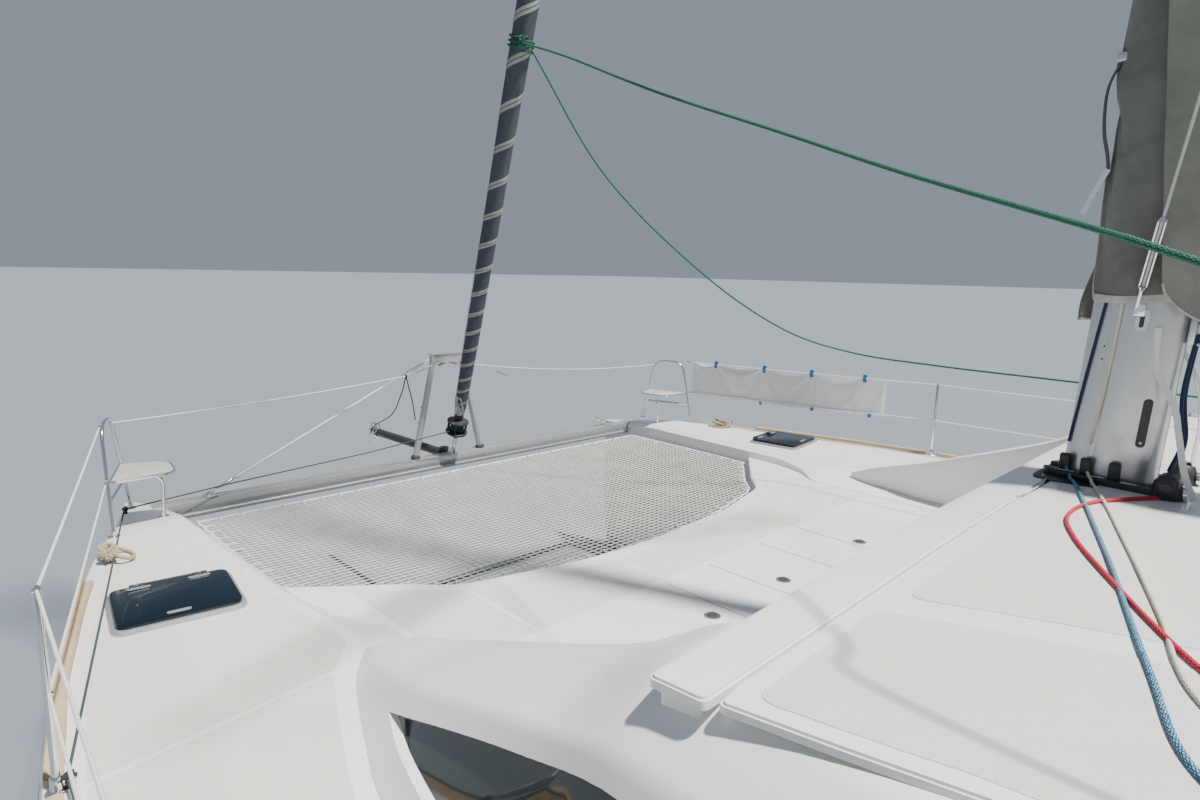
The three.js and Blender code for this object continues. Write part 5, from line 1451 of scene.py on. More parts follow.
on_both_sides("stanchions", posts, [steel], replaces=["lifeline"])
socket = Shape()
socket.turned([(0.0, 0), (0.033, 0), (0.034, 0.004), (0.03, 0.008), (0.019, 0.012), (0.0175, 0.055),
               (0.014, 0.06)], (0, 0, 0), (1, 0, 0), sides=20)
for angle in full_turn(3):
    socket.turned([(0.0045, 0.006), (0.0045, 0.0105), (0.002, 0.0115)],
                  (0, 0.026 * cos(angle), 0.026 * sin(angle)), (1, 0, 0), sides=7)
spots = [((x, side * (y - (0 if k < len(POSTS) else 0.012)), DECK + 0.0008), (0, 0, 1)) for side in (-1, 1)
         for k, (x, y) in enumerate([*POSTS, (POSTS[-1][0] - 0.25, POSTS[-1][1])])]
piece("stanchion_sockets", scattered(socket, spots, steel), [steel])
lines = Shape()
for k, z in enumerate(WIRES_Z):
    start = Vector(((5.6, 5.66)[k], (2.925, 2.918)[k], z))
    stops = [start] + [Vector((x, y - 0.009, z)) for x, y in POSTS]
    for a, b in zip(stops, stops[1:]):
        lines.tube(hanging(a, b, 0.0015 * (b - a).length, 9), 0.0055, 0, 7)
    a, b = stops[0], stops[1]
    turnbuckle(lines, a, a.lerp(b, 0.05), 1, 0.007)
on_both_sides("lifeline_wires", lines, [white_rope, steel])

# %% [markdown]
# Thin lines run from the bow rails to the striker frame. A black rope holds the sprit's tip up.

# %% Bow lines
bow_lines = Shape()
RING = (6.12, 0.49, 2.52)


bow_lines.tube(hanging((6.025, 2.79, 2.4), RING, 0.02), 0.0052, 0, 8)
bow_lines.tube(hanging(RING, (BEAM_X, 0.19, 2.655), 0.0), 0.0045, 0, 8)
bow_lines.tube(hanging(RING, (BEAM_X - 0.02, 0.185, 2.59), 0.008), 0.0045, 0, 8)
bow_lines.tube(hanging((BEAM_X, -0.185, 2.58), (6.03, -2.79, 2.4), 0.06), 0.0052, 0, 8)
bow_lines.tube([Vector(RING) + Vector((0.012 * cos(a), 0, 0.012 * sin(a)))
                for a in full_turn(12)], 0.006, 1, 8, loop=True)
tip = SPRIT_TIP - Vector((0.06, 0, -0.07))
bow_lines.tube(flowing([RING, (6.45, 0.36, 2.3), (6.95, 0.2, 2.0), tuple(tip)], 6), 0.0055, 1, 8)
bow_lines.tube(flowing([RING, (6.12, 0.46, 2.4), (6.13, 0.42, 2.25), (6.13, 0.4, 2.1)], 5), 0.0055, 1, 8)
for k, (dx, dz) in enumerate(((0.02, -0.14), (-0.1, -0.2), (-0.18, -0.11))):
    spot = SPRIT_TIP + Vector((-0.05 - 0.06 * k, 0.03, 0.03))
    bow_lines.tube(flowing([spot, spot + Vector((0, 0.03, -0.04)), spot + Vector((dx / 2, 0.035, dz * 0.7)),
                            spot + Vector((dx / 2, 0.03 + 0.01 * k, dz))], 5), 0.003, 0, 6)
bow_lines.tube([SPRIT_TIP + Vector((-0.13 + 0.004 * sin(5 * a), 0.047 * cos(a), 0.047 * sin(a)))
                for a in spread(0, 6 * pi, 40)], 0.003, 0, 6)
piece("bow_lines", bow_lines, [white_rope, black_rope])

# %% [markdown]
# ## Deck hatches
# Each hatch has an alloy frame with round corners and a dark acrylic lid, hinged at its forward
# edge, with three small handles.

# %% Hatches
HATCH = placed((4.235, 2.895, DECK + 0.0004), radians(-6.9))
HATCH_X, HATCH_Y, HINGE = 0.27, 0.3, 0.262


rim_shape = Shape()
rows = [(0.0, 0.0), (0.0, 0.012), (0.004, 0.02), (0.012, 0.024), (0.034, 0.024), (0.044, 0.021),
        (0.048, 0.014), (0.05, 0.0)]
rings = [[(x, y, z) for x, y in inset(oblong(-HATCH_X, -HATCH_Y, HATCH_X, HATCH_Y, 0.075, 6), by)]
         for by, z in rows]
rim_shape.skin([*rings, rings[0]], caps=False)
for y in (-0.15, 0.15):
    rim_shape.box((HINGE - 0.009, y - 0.008, 0.018), (HINGE + 0.007, y + 0.008, 0.049), soft=0.003)
rim_shape.moved(HATCH)
on_both_sides("hatch_rim", rim_shape, [alloy], replaces=["hatch_frame"])
lid = Shape()
PANE_X, PANE_Y = HATCH_X - 0.026, HATCH_Y - 0.022
pane_line = oblong(-PANE_X, -PANE_Y, PANE_X, PANE_Y, 0.055, 6)
HANDLE = oblong(-0.013, -0.055, 0.013, 0.055, 0.0125)
lid.plate(pane_line, 0.03, 0.0445, 0, 0.004)
seal = [[(x, y, z) for x, y in inset(pane_line, by)]
        for by, z in ((0.006, 0.0305), (0.006, 0.0265), (0.02, 0.0265), (0.02, 0.0305))]
lid.skin([*seal, seal[0]], 1, caps=False)
for x, y in ((0.2, 0.145), (0.2, -0.14), (-0.205, 0.01)):
    lid.plate([(x + a, y + b) for a, b in HANDLE], 0.044, 0.0485, 2, 0.002)
for low, high in ((-0.185, -0.159), (-0.141, 0.141), (0.159, 0.185)):
    lid.tube([(HINGE, low, 0.038), (HINGE, high, 0.038)], 0.0078, 1, 10)
for y in (-0.172, -0.128, 0.128, 0.172):
    lid.box((HINGE - 0.06, y - 0.011, 0.0435), (HINGE + 0.001, y + 0.011, 0.0475), 1, 0.003)
lid.moved(HATCH)
on_both_sides("hatch_lid_pane", lid, [acrylic, rubber, alloy], "lid", ["hatch_lid"])
ridge = Shape().tube([(x, -0.36, -0.006) for x in spread(-0.31, 0.31, 9)],
                     [0.004, *[0.012] * 7, 0.004], 0, 12)
on_both_sides("hatch_ridge", ridge.moved(HATCH), [gelcoat])

# %% Cleats and deck line
def cleat(shape, x, y, z, turn, finish=0, size=0.13):
    start = len(shape.points)
    shape.tube([(-size, 0, 0.052), (-size * 0.7, 0, 0.047), (-size * 0.3, 0, 0.042), (size * 0.3, 0, 0.042),
                (size * 0.7, 0, 0.047), (size, 0, 0.052)],
               [0.006, 0.011, 0.013, 0.013, 0.011, 0.006], finish, 10)
    for at in (-0.035, 0.035):
        shape.tube([(at, 0, 0.0), (at, 0, 0.01), (at, 0, 0.042)], [0.02, 0.012, 0.011], finish, 10)
    return shape.moved(placed((x, y, z), turn), start)


def made_fast(shape, x, y, z, finish=0, radius=0.0065):
    """Figure-eight turns of rope on the horns of a cleat."""
    turns = [(x + 0.07 * cos(a), y + 0.028 * sin(2 * a), z + 0.032 + 0.006 * sin(a) + 0.003 * a)
             for a in spread(0, 4 * pi, 60)]
    return shape.tube(turns, radius, finish, 8)


cleats = Shape()
for x, y, turn in ((5.13, 3.03, -0.2), (0.35, 3.5, 0.0), (-4.2, 3.42, 0.05)):
    cleat(cleats, x, y, DECK + 0.001, turn)
on_both_sides("deck_cleats", cleats, [steel])
FURLING_LINE = [(6.02, 0.1, 1.97), (6.1, 0.9, 1.87), (6.13, 2.0, 1.8), (5.987, 2.775, 1.785),
                (2.96, 3.543, 1.79), (1.0, 3.583, 1.79), (-0.9, 3.592, 1.79), (-2.4, 3.56, 1.79),
                (-3.0, 3.12, 1.79), (-3.22, 2.86, 1.796)]
leads = Shape()
route = [FURLING_LINE[0]]
for a, b in zip(FURLING_LINE, FURLING_LINE[1:]):
    route += [Vector(a).lerp(Vector(b), t) for t in spread(0, 1, 7)[1:]]
leads.tube(route, 0.0052, 0, 8)
for x, y, z in FURLING_LINE[3:9]:
    leads.turned([(0.0, -0.013), (0.018, -0.013), (0.021, -0.008), (0.013, 0), (0.021, 0.008),
                  (0.018, 0.013), (0, 0.013)], (x, y - 0.006, z), (0, 0.5, 1), 1, 18)
    leads.box((x - 0.012, y - 0.018, DECK + 0.001), (x + 0.012, y + 0.006, z - 0.008), 1, 0.004)
cleat(leads, -3.28, 2.84, DECK + 0.001, 0.1, 2, 0.085)
made_fast(leads, -3.28, 2.84, DECK + 0.001)
piece("furling_line", leads, [dark_rope, black, steel])
print("decks dressed")

# %% [markdown]
# ## Mast and standing rig
# The mast is an oval extrusion that leans back a little. Its small fittings are given by height
# and by an angle round it, where 0 is forward and 90 degrees is to port.

# %% Mast
LEAN = radians(2.5)
MAST_X, MAST_REF, MAST_FOOT, MAST_HEAD, HOUNDS = 0.836, 2.75, 2.66, 22.4, 21.3
CHORD, BREADTH = 0.175, 0.09
SPREADERS_Z = (9.4, 15.4)


def mast_x(z):
    return MAST_X - tan(LEAN) * (z - MAST_REF)


def on_mast(z, bearing, off=0.0):
    """Point off the mast's skin."""
    a = radians(bearing)
    normal = Vector((cos(a) / CHORD, sin(a) / BREADTH)).normalized()
    return Vector((mast_x(z) + CHORD * cos(a) + normal.x * off, BREADTH * sin(a) + normal.y * off, z))


def skin_depth(bearing):
    """The luff groove aft and a shallow channel each side, as steps in from the oval."""
    side = min(abs(bearing - 71), abs(bearing - 289))
    return -0.008 if abs(bearing - 180) < 4 else -0.0025 * max(0, 1 - side / 3)


mast_angles = sorted({*range(0, 360, 6), *range(66, 77, 2), *range(284, 295, 2), 174.5, 175.5, 176.5, 183.5,
                      184.5, 185.5})
mast_shape = Shape()
mast_shape.skin([[on_mast(z, a, skin_depth(a)) for a in mast_angles]
                 for z in (MAST_FOOT + 0.0004, 9, 16, MAST_HEAD)])
crane_x = mast_x(MAST_HEAD)
CRANE = [(-0.42, 0.02), (0.26, 0.02), (0.26, -0.02), (0.17, -0.06), (-0.18, -0.06), (-0.42, -0.02)]
mast_shape.skin([[(crane_x + dx, y, MAST_HEAD + dz) for dx, dz in CRANE] for y in (-0.044, 0.044)])
piece("mast_tube", mast_shape, [alloy], replaces=["mast"], sharp=30)


def mast_plate(shape, z0, z1, bearing, width, thick, corner, finish=0):
    a = radians(bearing)
    speed = hypot(CHORD * sin(a), BREADTH * cos(a))
    return patch(shape, lambda z, v, off: on_mast(z, bearing + degrees(v / speed), off), (z0, z1), -width / 2,
                 width / 2, thick, finish, corner, count=6)


def rivet(shape, z, bearing, size=0.004, finish=0):
    out = on_mast(z, bearing, 1) - on_mast(z, bearing)
    return shape.turned([(size, -0.001), (size, 0.001), (size * 0.6, 0.0022), (0, 0.0025)],
                        on_mast(z, bearing, 0.0015), out, finish, 8)


fittings = Shape()
# Columns: low z, high z, angle, width, thickness, corner, finish
PLATES = [
    [3.13, 3.275, 59, 0.021, 0.002, 0.009, 0],
    [2.815, 3.025, 125, 0.034, 0.0022, 0.016, 1],
    [2.815, 3.025, -125, 0.034, 0.0022, 0.016, 1],
    [3.13, 3.275, -59, 0.021, 0.002, 0.009, 0],
    [4.95, 5.18, 110, 0.034, 0.0022, 0.016, 1],
    [5.3, 5.36, 0, 0.05, 0.014, 0.01, 1],
]
for z0, z1, bearing, width, thick, corner, finish in PLATES:
    mast_plate(fittings, z0, z1, bearing, width, thick, corner, finish)
for z, bearing, size, finish in ((3.175, 59, 0.0045, 1), (3.23, 59, 0.0045, 1), (2.835, 125, 0.006, 0),
                                 (3.335, 100, 0.005, 2), (3.14, 121, 0.004, 2), (3.0, -125, 0.006, 0)):
    rivet(fittings, z, bearing, size, finish)
for z in SPREADERS_Z:
    for side in (90, -90):
        mast_plate(fittings, z - 0.11, z + 0.11, side, 0.19, 0.006, 0.02, 2)
        for dz in (-0.09, 0.09):
            for turn in (12, -12):
                rivet(fittings, z + dz, side + turn, 0.005, 0)
for x, y in ((0.995, 0.068), (0.905, 0.108), (0.8, 0.112)):
    for side in (1, -1):
        fittings.box((x - 0.021, side * y - 0.017, MAST_FOOT - 0.004),
                     (x + 0.021, side * y + 0.017, 2.74), 1, 0.007)
        fittings.tube([(x, side * (y - 0.02), 2.722), (x, side * (y + 0.02), 2.722)], 0.014, 1, 12)
piece("mast_fittings", fittings, [alloy, black, steel])

# %% Mast foot
step = Shape()
step.plate(oblong(MAST_X - 0.29, -0.21, MAST_X + 0.262, 0.21, 0.09, 8),
           2.6254, 2.638, 0, 0.004)
collar_ring = [(x, y) for x, y, _ in (on_mast(MAST_FOOT, a, 0.022) for a in range(0, 360, 8))]
step.plate(collar_ring, 2.637, MAST_FOOT, 0, 0.005)
for side in (1, -1):
    step.plate([(x, side * y)
                for x, y in rounded([(1.085, 0.05), (1.06, 0.1), (0.63, 0.185), (0.6, 0.14), (1.02, 0.045)],
                                    0.015)], 2.637, 2.668, 0, 0.006)
    for x, y in ((0.98, 0.096), (0.86, 0.12), (0.74, 0.144)):
        step.box((x - 0.03, side * y - 0.004, 2.666), (x + 0.03, side * y + 0.004, 2.6705), 1, 0.002)
    step.turned([(0, 0), (0.052, 0), (0.056, 0.012), (0.054, 0.05), (0.045, 0.085), (0.025, 0.108),
                 (0, 0.113)], (0.6, side * 0.165, 2.632), (0.1, side * 0.15, 1), 0, 24)
    step.turned([(0, 0), (0.03, 0), (0.03, 0.012), (0, 0.012)], (0.552, side * 0.165, 2.672),
                (-1, 0, 0.1), 1, 20)
for x, y in ((1.05, 0.17), (1.05, -0.17), (0.6, -0.19), (0.6, 0.19)):
    step.turned([(0, 0), (0.009, 0), (0.009, 0.006), (0, 0.007)], (x, y * 0.94, 2.637), (0, 0, 1), 1, 8)
piece("mast_foot", step, [black, steel], replaces=["mast_step"])

# %% Spreaders, diamonds and shrouds
DIAMOND_FOOT, DIAMOND_HEAD = 3.42, HOUNDS - 0.25
CHAINPLATE = Vector((-0.5, 3.48, DECK + 0.05))
SHROUD_HEAD = Vector((mast_x(HOUNDS - 0.08), 0.1026, HOUNDS - 0.08))


def shroud_at(z):
    """The spreaders reach out to this line."""
    return CHAINPLATE.lerp(SHROUD_HEAD, (z - CHAINPLATE.z) / (SHROUD_HEAD.z - CHAINPLATE.z))


rig = Shape()
stops = [Vector((mast_x(DIAMOND_FOOT), 0.103, DIAMOND_FOOT))]
for z in SPREADERS_Z:
    end = shroud_at(z) - Vector((0, 0.0095, 0))
    root = Vector((mast_x(z) - 0.005, 0.091, z))
    rings = []
    for t in spread(0, 1, 13):
        half = 0.085 * (1 - t) + 0.034 * t
        rings.append([root.lerp(end, t) + Vector((half * cos(a), 0, 0.0135 * sin(a) * (1 - 0.3 * cos(a))))
                      for a in full_turn(16)])
    rig.skin(rings, 0)
    tip = end - Vector((0, 0.008, 0))
    stops.append(tip)
    rig.tube([tip + Vector((0, -0.004, dz)) for dz in (-0.034, -0.026, 0.026, 0.034)],
             [0.006, 0.0105, 0.0105, 0.006], 3, 12)
stops.append(Vector((mast_x(DIAMOND_HEAD), 0.103, DIAMOND_HEAD)))
for a, b in zip(stops, stops[1:]):
    rig.tube([a, b], 0.0055, 2, 7)
start = stops[0] + (stops[1] - stops[0]).normalized() * 0.05
finish = stops[0] + (stops[1] - stops[0]).normalized() * 0.36
way = (finish - start).normalized()
rig.tube([start - way * 0.07, start], 0.008, 1, 10)
rig.tube([start, start + way * 0.02], [0.008, 0.016], 1, 12)
rig.tube([finish - way * 0.02, finish], [0.016, 0.008], 1, 12)
for dx in (-0.012, 0.012):
    rig.tube([start + way * 0.015 + Vector((dx, 0, 0)), finish - way * 0.015 + Vector((dx, 0, 0))],
             0.0045, 1, 8)
mast_plate(rig, DIAMOND_FOOT - 0.125, DIAMOND_FOOT - 0.02, 98, 0.062, 0.004, 0.03, 2)
mast_plate(rig, DIAMOND_FOOT - 0.117, DIAMOND_FOOT - 0.028, 98, 0.046, 0.0055, 0.022, 1)
mast_plate(rig, DIAMOND_FOOT - 0.102, DIAMOND_FOOT - 0.05, 98, 0.016, 0.0075, 0.007, 3)
for z, reach, y1, up in ((DIAMOND_FOOT, 0.012, 0.101, 0.036), (DIAMOND_HEAD, 0.028, 0.106, 0.038)):
    rig.box((mast_x(z) - 0.028, 0.0915, z - 0.058), (mast_x(z) + reach, y1, z + up), 1, 0.006)
on_both_sides("spreader_rig", rig, [alloy, steel, wire_rope, rubber],
              replaces=["diamond"], sharp=50)
shroud = Shape()
along = (SHROUD_HEAD - CHAINPLATE).normalized()
shroud.tube([CHAINPLATE + along * 0.44, SHROUD_HEAD], 0.0055, 1, 8)
turnbuckle(shroud, CHAINPLATE, CHAINPLATE + along * 0.45, 0, 0.015)
x, y = CHAINPLATE.x, CHAINPLATE.y
shroud.box((x - 0.045, y - 0.03, DECK + 0.0006), (x + 0.045, y + 0.03, DECK + 0.006), 0, 0.008)
shroud.box((x - 0.022, y - 0.006, DECK + 0.004), (x + 0.022, y + 0.006, DECK + 0.07), 0, 0.005)
x, z = SHROUD_HEAD.x, SHROUD_HEAD.z
shroud.box((x - 0.028, 0.0915, z - 0.055), (x + 0.028, 0.108, z + 0.045), 0, 0.006)
on_both_sides("shroud_wire", shroud, [steel, wire_rope], replaces=["shroud"])

# %% Stay head and masthead
stay_length = (Vector((mast_x(HOUNDS) + CHORD, 0, HOUNDS)) - STAY_FOOT).length
FOIL_TOP = stay_length - 0.19
head = Shape()
terminal = (FOIL_TOP + 0.001, FOIL_TOP + 0.02, FOIL_TOP + 0.1, stay_length - 0.03)
head.tube([STAY_FOOT + STAY_AXIS * s for s in terminal], [0.013, 0.014, 0.012, 0.011], 0, 12)
face = mast_x(HOUNDS) + CHORD
TANG = [(-0.006, 0.06), (0.04, 0.03), (0.078, -0.03), (0.06, -0.1), (-0.001, -0.1)]
head.skin([[(face + dx, y, HOUNDS + dz) for dx, dz in TANG] for y in (-0.017, 0.017)])
head.tube([(face + 0.035, -0.03, HOUNDS - 0.03), (face + 0.035, 0.03, HOUNDS - 0.03)], 0.008, 0, 8)
piece("stay_head", head, [steel], replaces=["forestay_head"])
foil = Shape().tube([STAY_FOOT + STAY_AXIS * s for s in (18.68, 18.75, FOIL_TOP)], 0.016, 0, 10)
foil.turned([(0.02, 18.73), (0.034, 18.735), (0.036, 18.8), (0.026, 18.83), (0.026, 18.9), (0.018, 18.92)],
            STAY_FOOT, STAY_AXIS, 1, 20)
piece("stay_foil", foil, [alloy, black], "headsail")
top = Shape()
top.turned([(0, 0), (0.045, 0), (0.045, 0.02), (0.04, 0.03), (0.04, 0.075), (0.03, 0.095), (0, 0.1)],
           (crane_x + 0.12, 0, MAST_HEAD + 0.02), finish=0, sides=20)
top.tube([(crane_x - 0.1, 0.02, MAST_HEAD + 0.02), (crane_x - 0.1, 0.02, MAST_HEAD + 0.3),
          (crane_x - 0.1, 0.02, MAST_HEAD + 0.58)], [0.006, 0.004, 0.0015], 1, 8)
top.tube([(crane_x + 0.25, 0, MAST_HEAD), (crane_x + 0.52, 0, MAST_HEAD + 0.1),
          (crane_x + 0.54, 0, MAST_HEAD + 0.16)], 0.005, 1, 8)
top.skin([[(crane_x + 0.44 + dx, y, MAST_HEAD + 0.165 + dz) for dx, dz in ((0, 0), (0.2, 0.02), (0.2, -0.02))]
          for y in (-0.001, 0.001)], 2)
for x in (crane_x + 0.24, crane_x - 0.4):
    top.tube([(x, -0.03, MAST_HEAD - 0.005), (x, 0.03, MAST_HEAD - 0.005)], 0.035, 1, 20)
piece("masthead_gear", top, [white_cloth, black, alloy])

# %% [markdown]
# ## Boom and mainsail bag
# The boom turns on the pin of the gooseneck. The bag on it is sewn from grey canvas, with folds
# that hang from the lazy jacks, and its front end is laced round the mast.

# %% Gooseneck and boom
SWIVEL_X, SWIVEL_Z = 0.5697, 3.33
BOOM_DROP = radians(1)
SWIVEL = placed((SWIVEL_X, 0, SWIVEL_Z), -LEAN, "Y")
BOOM = placed((SWIVEL_X, 0, SWIVEL_Z), BOOM_DROP, "Y")
BOOM_LENGTH = 5.45
SHEET_BLOCKS_X = (-4.35, -4.6)
neck = Shape()
neck.box((0.04, -0.052, -0.076), (0.064, 0.052, 0.076), 0, 0.008)
for z in (-0.076, 0.066):
    neck.plate(oblong(-0.032, -0.034, 0.05, 0.034, 0.02), z, z + 0.01, 0, 0.002)
neck.tube([(0, 0, -0.068), (0, 0, 0.068)], 0.0108, 1, 24)
for z in (-0.086, 0.076):
    neck.turned([(0, z), (0.018, z), (0.018, z + 0.009), (0, z + 0.01)], (0, 0, 0), finish=1, sides=6)
neck.moved(SWIVEL)
piece("gooseneck_bracket", neck, [alloy, steel], replaces=["gooseneck"])
spar = Shape()
eye = []
for r, z in ((0.0122, -0.061), (0.029, -0.061), (0.03, -0.057), (0.03, 0.057), (0.029, 0.061),
             (0.0122, 0.061), (0.0122, -0.061)):
    eye.append([(r * cos(a), r * sin(a), z) for a in full_turn(24)])
spar.skin(eye, 1, caps=False)
spar.box((-0.17, -0.026, -0.056), (-0.024, 0.026, 0.056), 1, 0.008)
spar.moved(SWIVEL)
start = len(spar.points)


def boom_ring(x, shrink=0.0):
    made = []
    for a in full_turn(40):
        c, s = cos(a), sin(a)
        made.append((x, copysign(abs(c) ** 0.6, c) * (0.07 - shrink),
                     copysign(abs(s) ** 0.7, s) * (0.115 - shrink)))
    return made


spar.skin([boom_ring(-0.09, 0.012), boom_ring(-0.094, 0.003), boom_ring(-0.1), boom_ring(-5.3),
           boom_ring(-5.302, -0.003), boom_ring(-5.42, -0.003), boom_ring(-BOOM_LENGTH, 0.01)])
for x in (-5.36, -5.4):
    spar.tube([(x, -0.045, -0.06), (x, 0.045, -0.06)], 0.03, 2, 16)
for x in SHEET_BLOCKS_X:
    spar.box((x - 0.035, -0.02, -0.14), (x + 0.035, 0.02, -0.112), 1, 0.006)
    spar.turned([(0, -0.02), (0.035, -0.02), (0.035, 0.02), (0, 0.02)], (x, 0, -0.165), (0, 1, 0), 2, 20)
for x in spread(-0.6, -5.1, 10):
    for side in (1, -1):
        spar.tube([(x, side * 0.069, -0.03), (x, side * 0.076, -0.03)], 0.006, 1, 8)
spar.moved(BOOM, start)
piece("boom_spar", spar, [alloy, steel, black], "boom_and_sail", ["boom"], sharp=40)

# %% Sail bag
# Columns: aft of the swivel, foot half width, belly half width, top z
BAG = [[0.15, 0.075, 0.15, 4.7], [0.5, 0.085, 0.205, 4.64], [1.5, 0.085, 0.215, 4.44],
       [3.0, 0.08, 0.19, 4.23], [4.5, 0.075, 0.15, 4.06], [5.25, 0.065, 0.1, 3.96]]
bag_line = [None] + [curve_of(BAG, k) for k in range(1, 4)]
LAZY_JACKS = (1.1, 2.6, 4.1)


def bag_half(aft):
    """Port outline of the bag at a distance aft of the swivel, from its foot to its ridge."""
    foot, belly, top = (line(aft) for line in bag_line[1:])
    low = SWIVEL_Z + 0.116 + aft * tan(BOOM_DROP)
    rise = top - low
    return flowing([(foot, low), (belly * 0.97, low + rise * 0.27), (belly * 0.93, low + rise * 0.6),
                    (belly * 0.45, low + rise * 0.9), (0.018, top - 0.004)], 8)


def folded(aft, y, z, share):
    """Moves cloth into folds that fall from the lazy jacks' patches."""
    near = min(abs(aft - at) for at in LAZY_JACKS)
    hang = 0.012 * sin(7.3 * aft + 4 * share) * sin(pi * share) * min(1, near / 0.4)
    crease = 0.006 * sin(31 * aft + 9 * sin(3 * share + aft)) * share * (1 - share) * 4
    return y - 0.008 + hang * 0.7 + crease


def on_bag(aft, p, share, side, off=0.0):
    """Point of the bag's outline, folded, on one side and moved out."""
    return SWIVEL_X - aft, side * (folded(aft if side > 0 else aft + 0.37, p.x, p.y, share) + off), p.y


bag = Shape()
rings = []
for aft in spread(0.15, 5.25, 150):
    half = bag_half(aft)
    port, starboard = ([on_bag(aft, p, k / (len(half) - 1), side) for k, p in enumerate(half)]
                       for side in (1, -1))
    rings.append(port + starboard[::-1])
bag.skin(rings, 0)
ridge = [(SWIVEL_X - aft, 0, bag_line[3](aft) - 0.003) for aft in spread(0.2, 5.2, 60)]
bag.tube(ridge, 0.0075, 1, 8)
for side in (1, -1):
    for share in (0.42, 0.8):
        seam = []
        for aft in spread(0.17, 5.23, 110):
            half = bag_half(aft)
            seam.append(on_bag(aft, half[int(share * (len(half) - 1))], share, side, 0.0012))
        bag.tube(seam, 0.0032, 2, 5)
    for aft in LAZY_JACKS:
        half = bag_half(aft)
        bag.tube([on_bag(aft, p, 0.75, side, 0.006) for p in half[16:len(half) - 6:2]], 0.008, 2, 6)
piece("mainsail_bag", bag, [canvas, black, hem_cloth], "boom_and_sail", ["sail_bag"], sharp=70)
jacks = Shape()
axis_top = 9.3
hang_point = Vector((SWIVEL_X - tan(LEAN) * (axis_top - SWIVEL_Z), 0, axis_top))
for side in (1, -1):
    node = Vector((-1.3, side * 0.3, 6.3))
    jacks.tube([hang_point, node], 0.003, 0, 6)
    for aft in LAZY_JACKS:
        half = bag_half(aft)
        p = half[len(half) - 8]
        jacks.tube([node, (SWIVEL_X - aft, side * p.x, p.y)], 0.003, 0, 6)
piece("lazy_jacks", jacks, [white_rope], "boom_and_sail")


# %% Bag front round the mast
def ribbon(shape, path, width, thick, face, finish=0):
    """Flat strap along a path. Its face looks along the given direction."""
    path = [Vector(p) for p in path]
    rings = []
    for i, p in enumerate(path):
        along = (path[min(i + 1, len(path) - 1)] - path[max(i - 1, 0)]).normalized()
        out = (Vector(face) - along * along.dot(Vector(face))).normalized()
        side = along.cross(out) * width / 2
        out = out * thick / 2
        rings.append([p + side + out, p - side + out, p - side - out, p + side - out])
    return shape.skin(rings, finish)


COVER_FOOT, COVER_TOP, COVER_AFT = 3.43, 4.72, 0.43


def cover_half(x, z):
    """Half width of the cloth: near the mast it follows the oval, and aft it runs out to the bag."""
    inside = (x - mast_x(z)) / (CHORD + 0.012)
    oval = (BREADTH + 0.014) * sqrt(max(0, 1 - inside * inside)) if abs(inside) < 1 else 0
    t = min(1, max(0, (mast_x(z) - x) / (mast_x(z) - COVER_AFT)))
    return max(oval, 0.104 + 0.036 * t) if x < mast_x(z) else oval


def smooth(t):
    t = min(1, max(0, t))
    return t * t * (3 - 2 * t)


def notch(angle):
    """The cloth leaves the mast's front bare at its foot, a little to starboard."""
    angle = angle - 360 if angle > 180 else angle
    return smooth((angle + 88) / 16) * (1 - smooth((angle - 6) / 18))


def hump(off, width):
    """A smooth hump that is 1 in its middle, by the distance from it."""
    return exp(-(off / width) ** 2)


def cover_ring(share, inward):
    """One turn of cloth round the mast, at a share of the way up."""
    made = []
    for k in range(72):
        a = 2 * pi * k / 72
        front = mast_x(COVER_FOOT + share * (COVER_TOP - COVER_FOOT)) + CHORD + 0.012
        x = (front + COVER_AFT) / 2 + (front - COVER_AFT) / 2 * cos(a)
        low = COVER_FOOT - 0.035 * max(0, cos(a)) * sin(a) ** 2 - 0.07 * max(0, -sin(a))
        low += 0.4 * notch(degrees(a))
        z = low + share * (COVER_TOP - low)
        half = cover_half(x, z)
        wave = 0.5 + 0.5 * sin(5 * a + 6 * share + 2 * sin(9 * share))
        slack = 0.018 * wave * sin(pi * min(1, share * 1.6 + 0.12))
        z_fold = 3.97 + 0.13 * sin(a)
        slack += 0.007 * hump(z - z_fold + 0.03, 0.02) - 0.006 * hump(z - z_fold, 0.016)
        slack += 0.006 * hump(z - z_fold + 0.2, 0.03) * max(0, sin(a))
        slack += 0.01 * hump(share - 0.62 - 0.05 * sin(2 * a), 0.04)
        y = copysign(half + slack - inward, sin(a)) if abs(sin(a)) > 1e-6 else 0
        x += (slack - inward) * cos(a) + 0.05 * smooth((share - 0.48) / 0.16) * max(0, cos(a)) ** 2
        made.append((x, y, z))
    return made


cover = Shape()
outer = [cover_ring(share, 0.0) for share in spread(0, 1, 46)]
inner = [cover_ring(share, 0.004) for share in spread(1, 0, 12)]
cover.skin([*outer, *inner, outer[0]], 0, caps=False)
hem = [[Vector(p) + Vector((0, 0, dz)) for p in cover_ring(0.0, inward)] for inward, dz in
       ((-0.003, 0.028), (-0.004, 0.004), (0.0, -0.003), (0.006, 0.0), (0.006, 0.02))]
cover.skin([*hem, hem[0]], 1, caps=False)


def flap(x, z, side, off):
    """Cloth beside the mast that overlaps the turn below it."""
    ripple = 0.008 * sin(5.2 * z + 8 * x) + 0.004 * sin(17 * z + 3)
    return Vector((x, side * (cover_half(min(x, mast_x(z)), z) + 0.03
                              + ripple * (1 if x > 0.5 else 0.3) + off), z))


def flap_front(z, reach):
    low = 3.36
    corner = 0.12 * (1 - min(1, (z - low) / 0.14)) ** 2
    return 0.715 + reach + 0.105 * (z - low) - corner
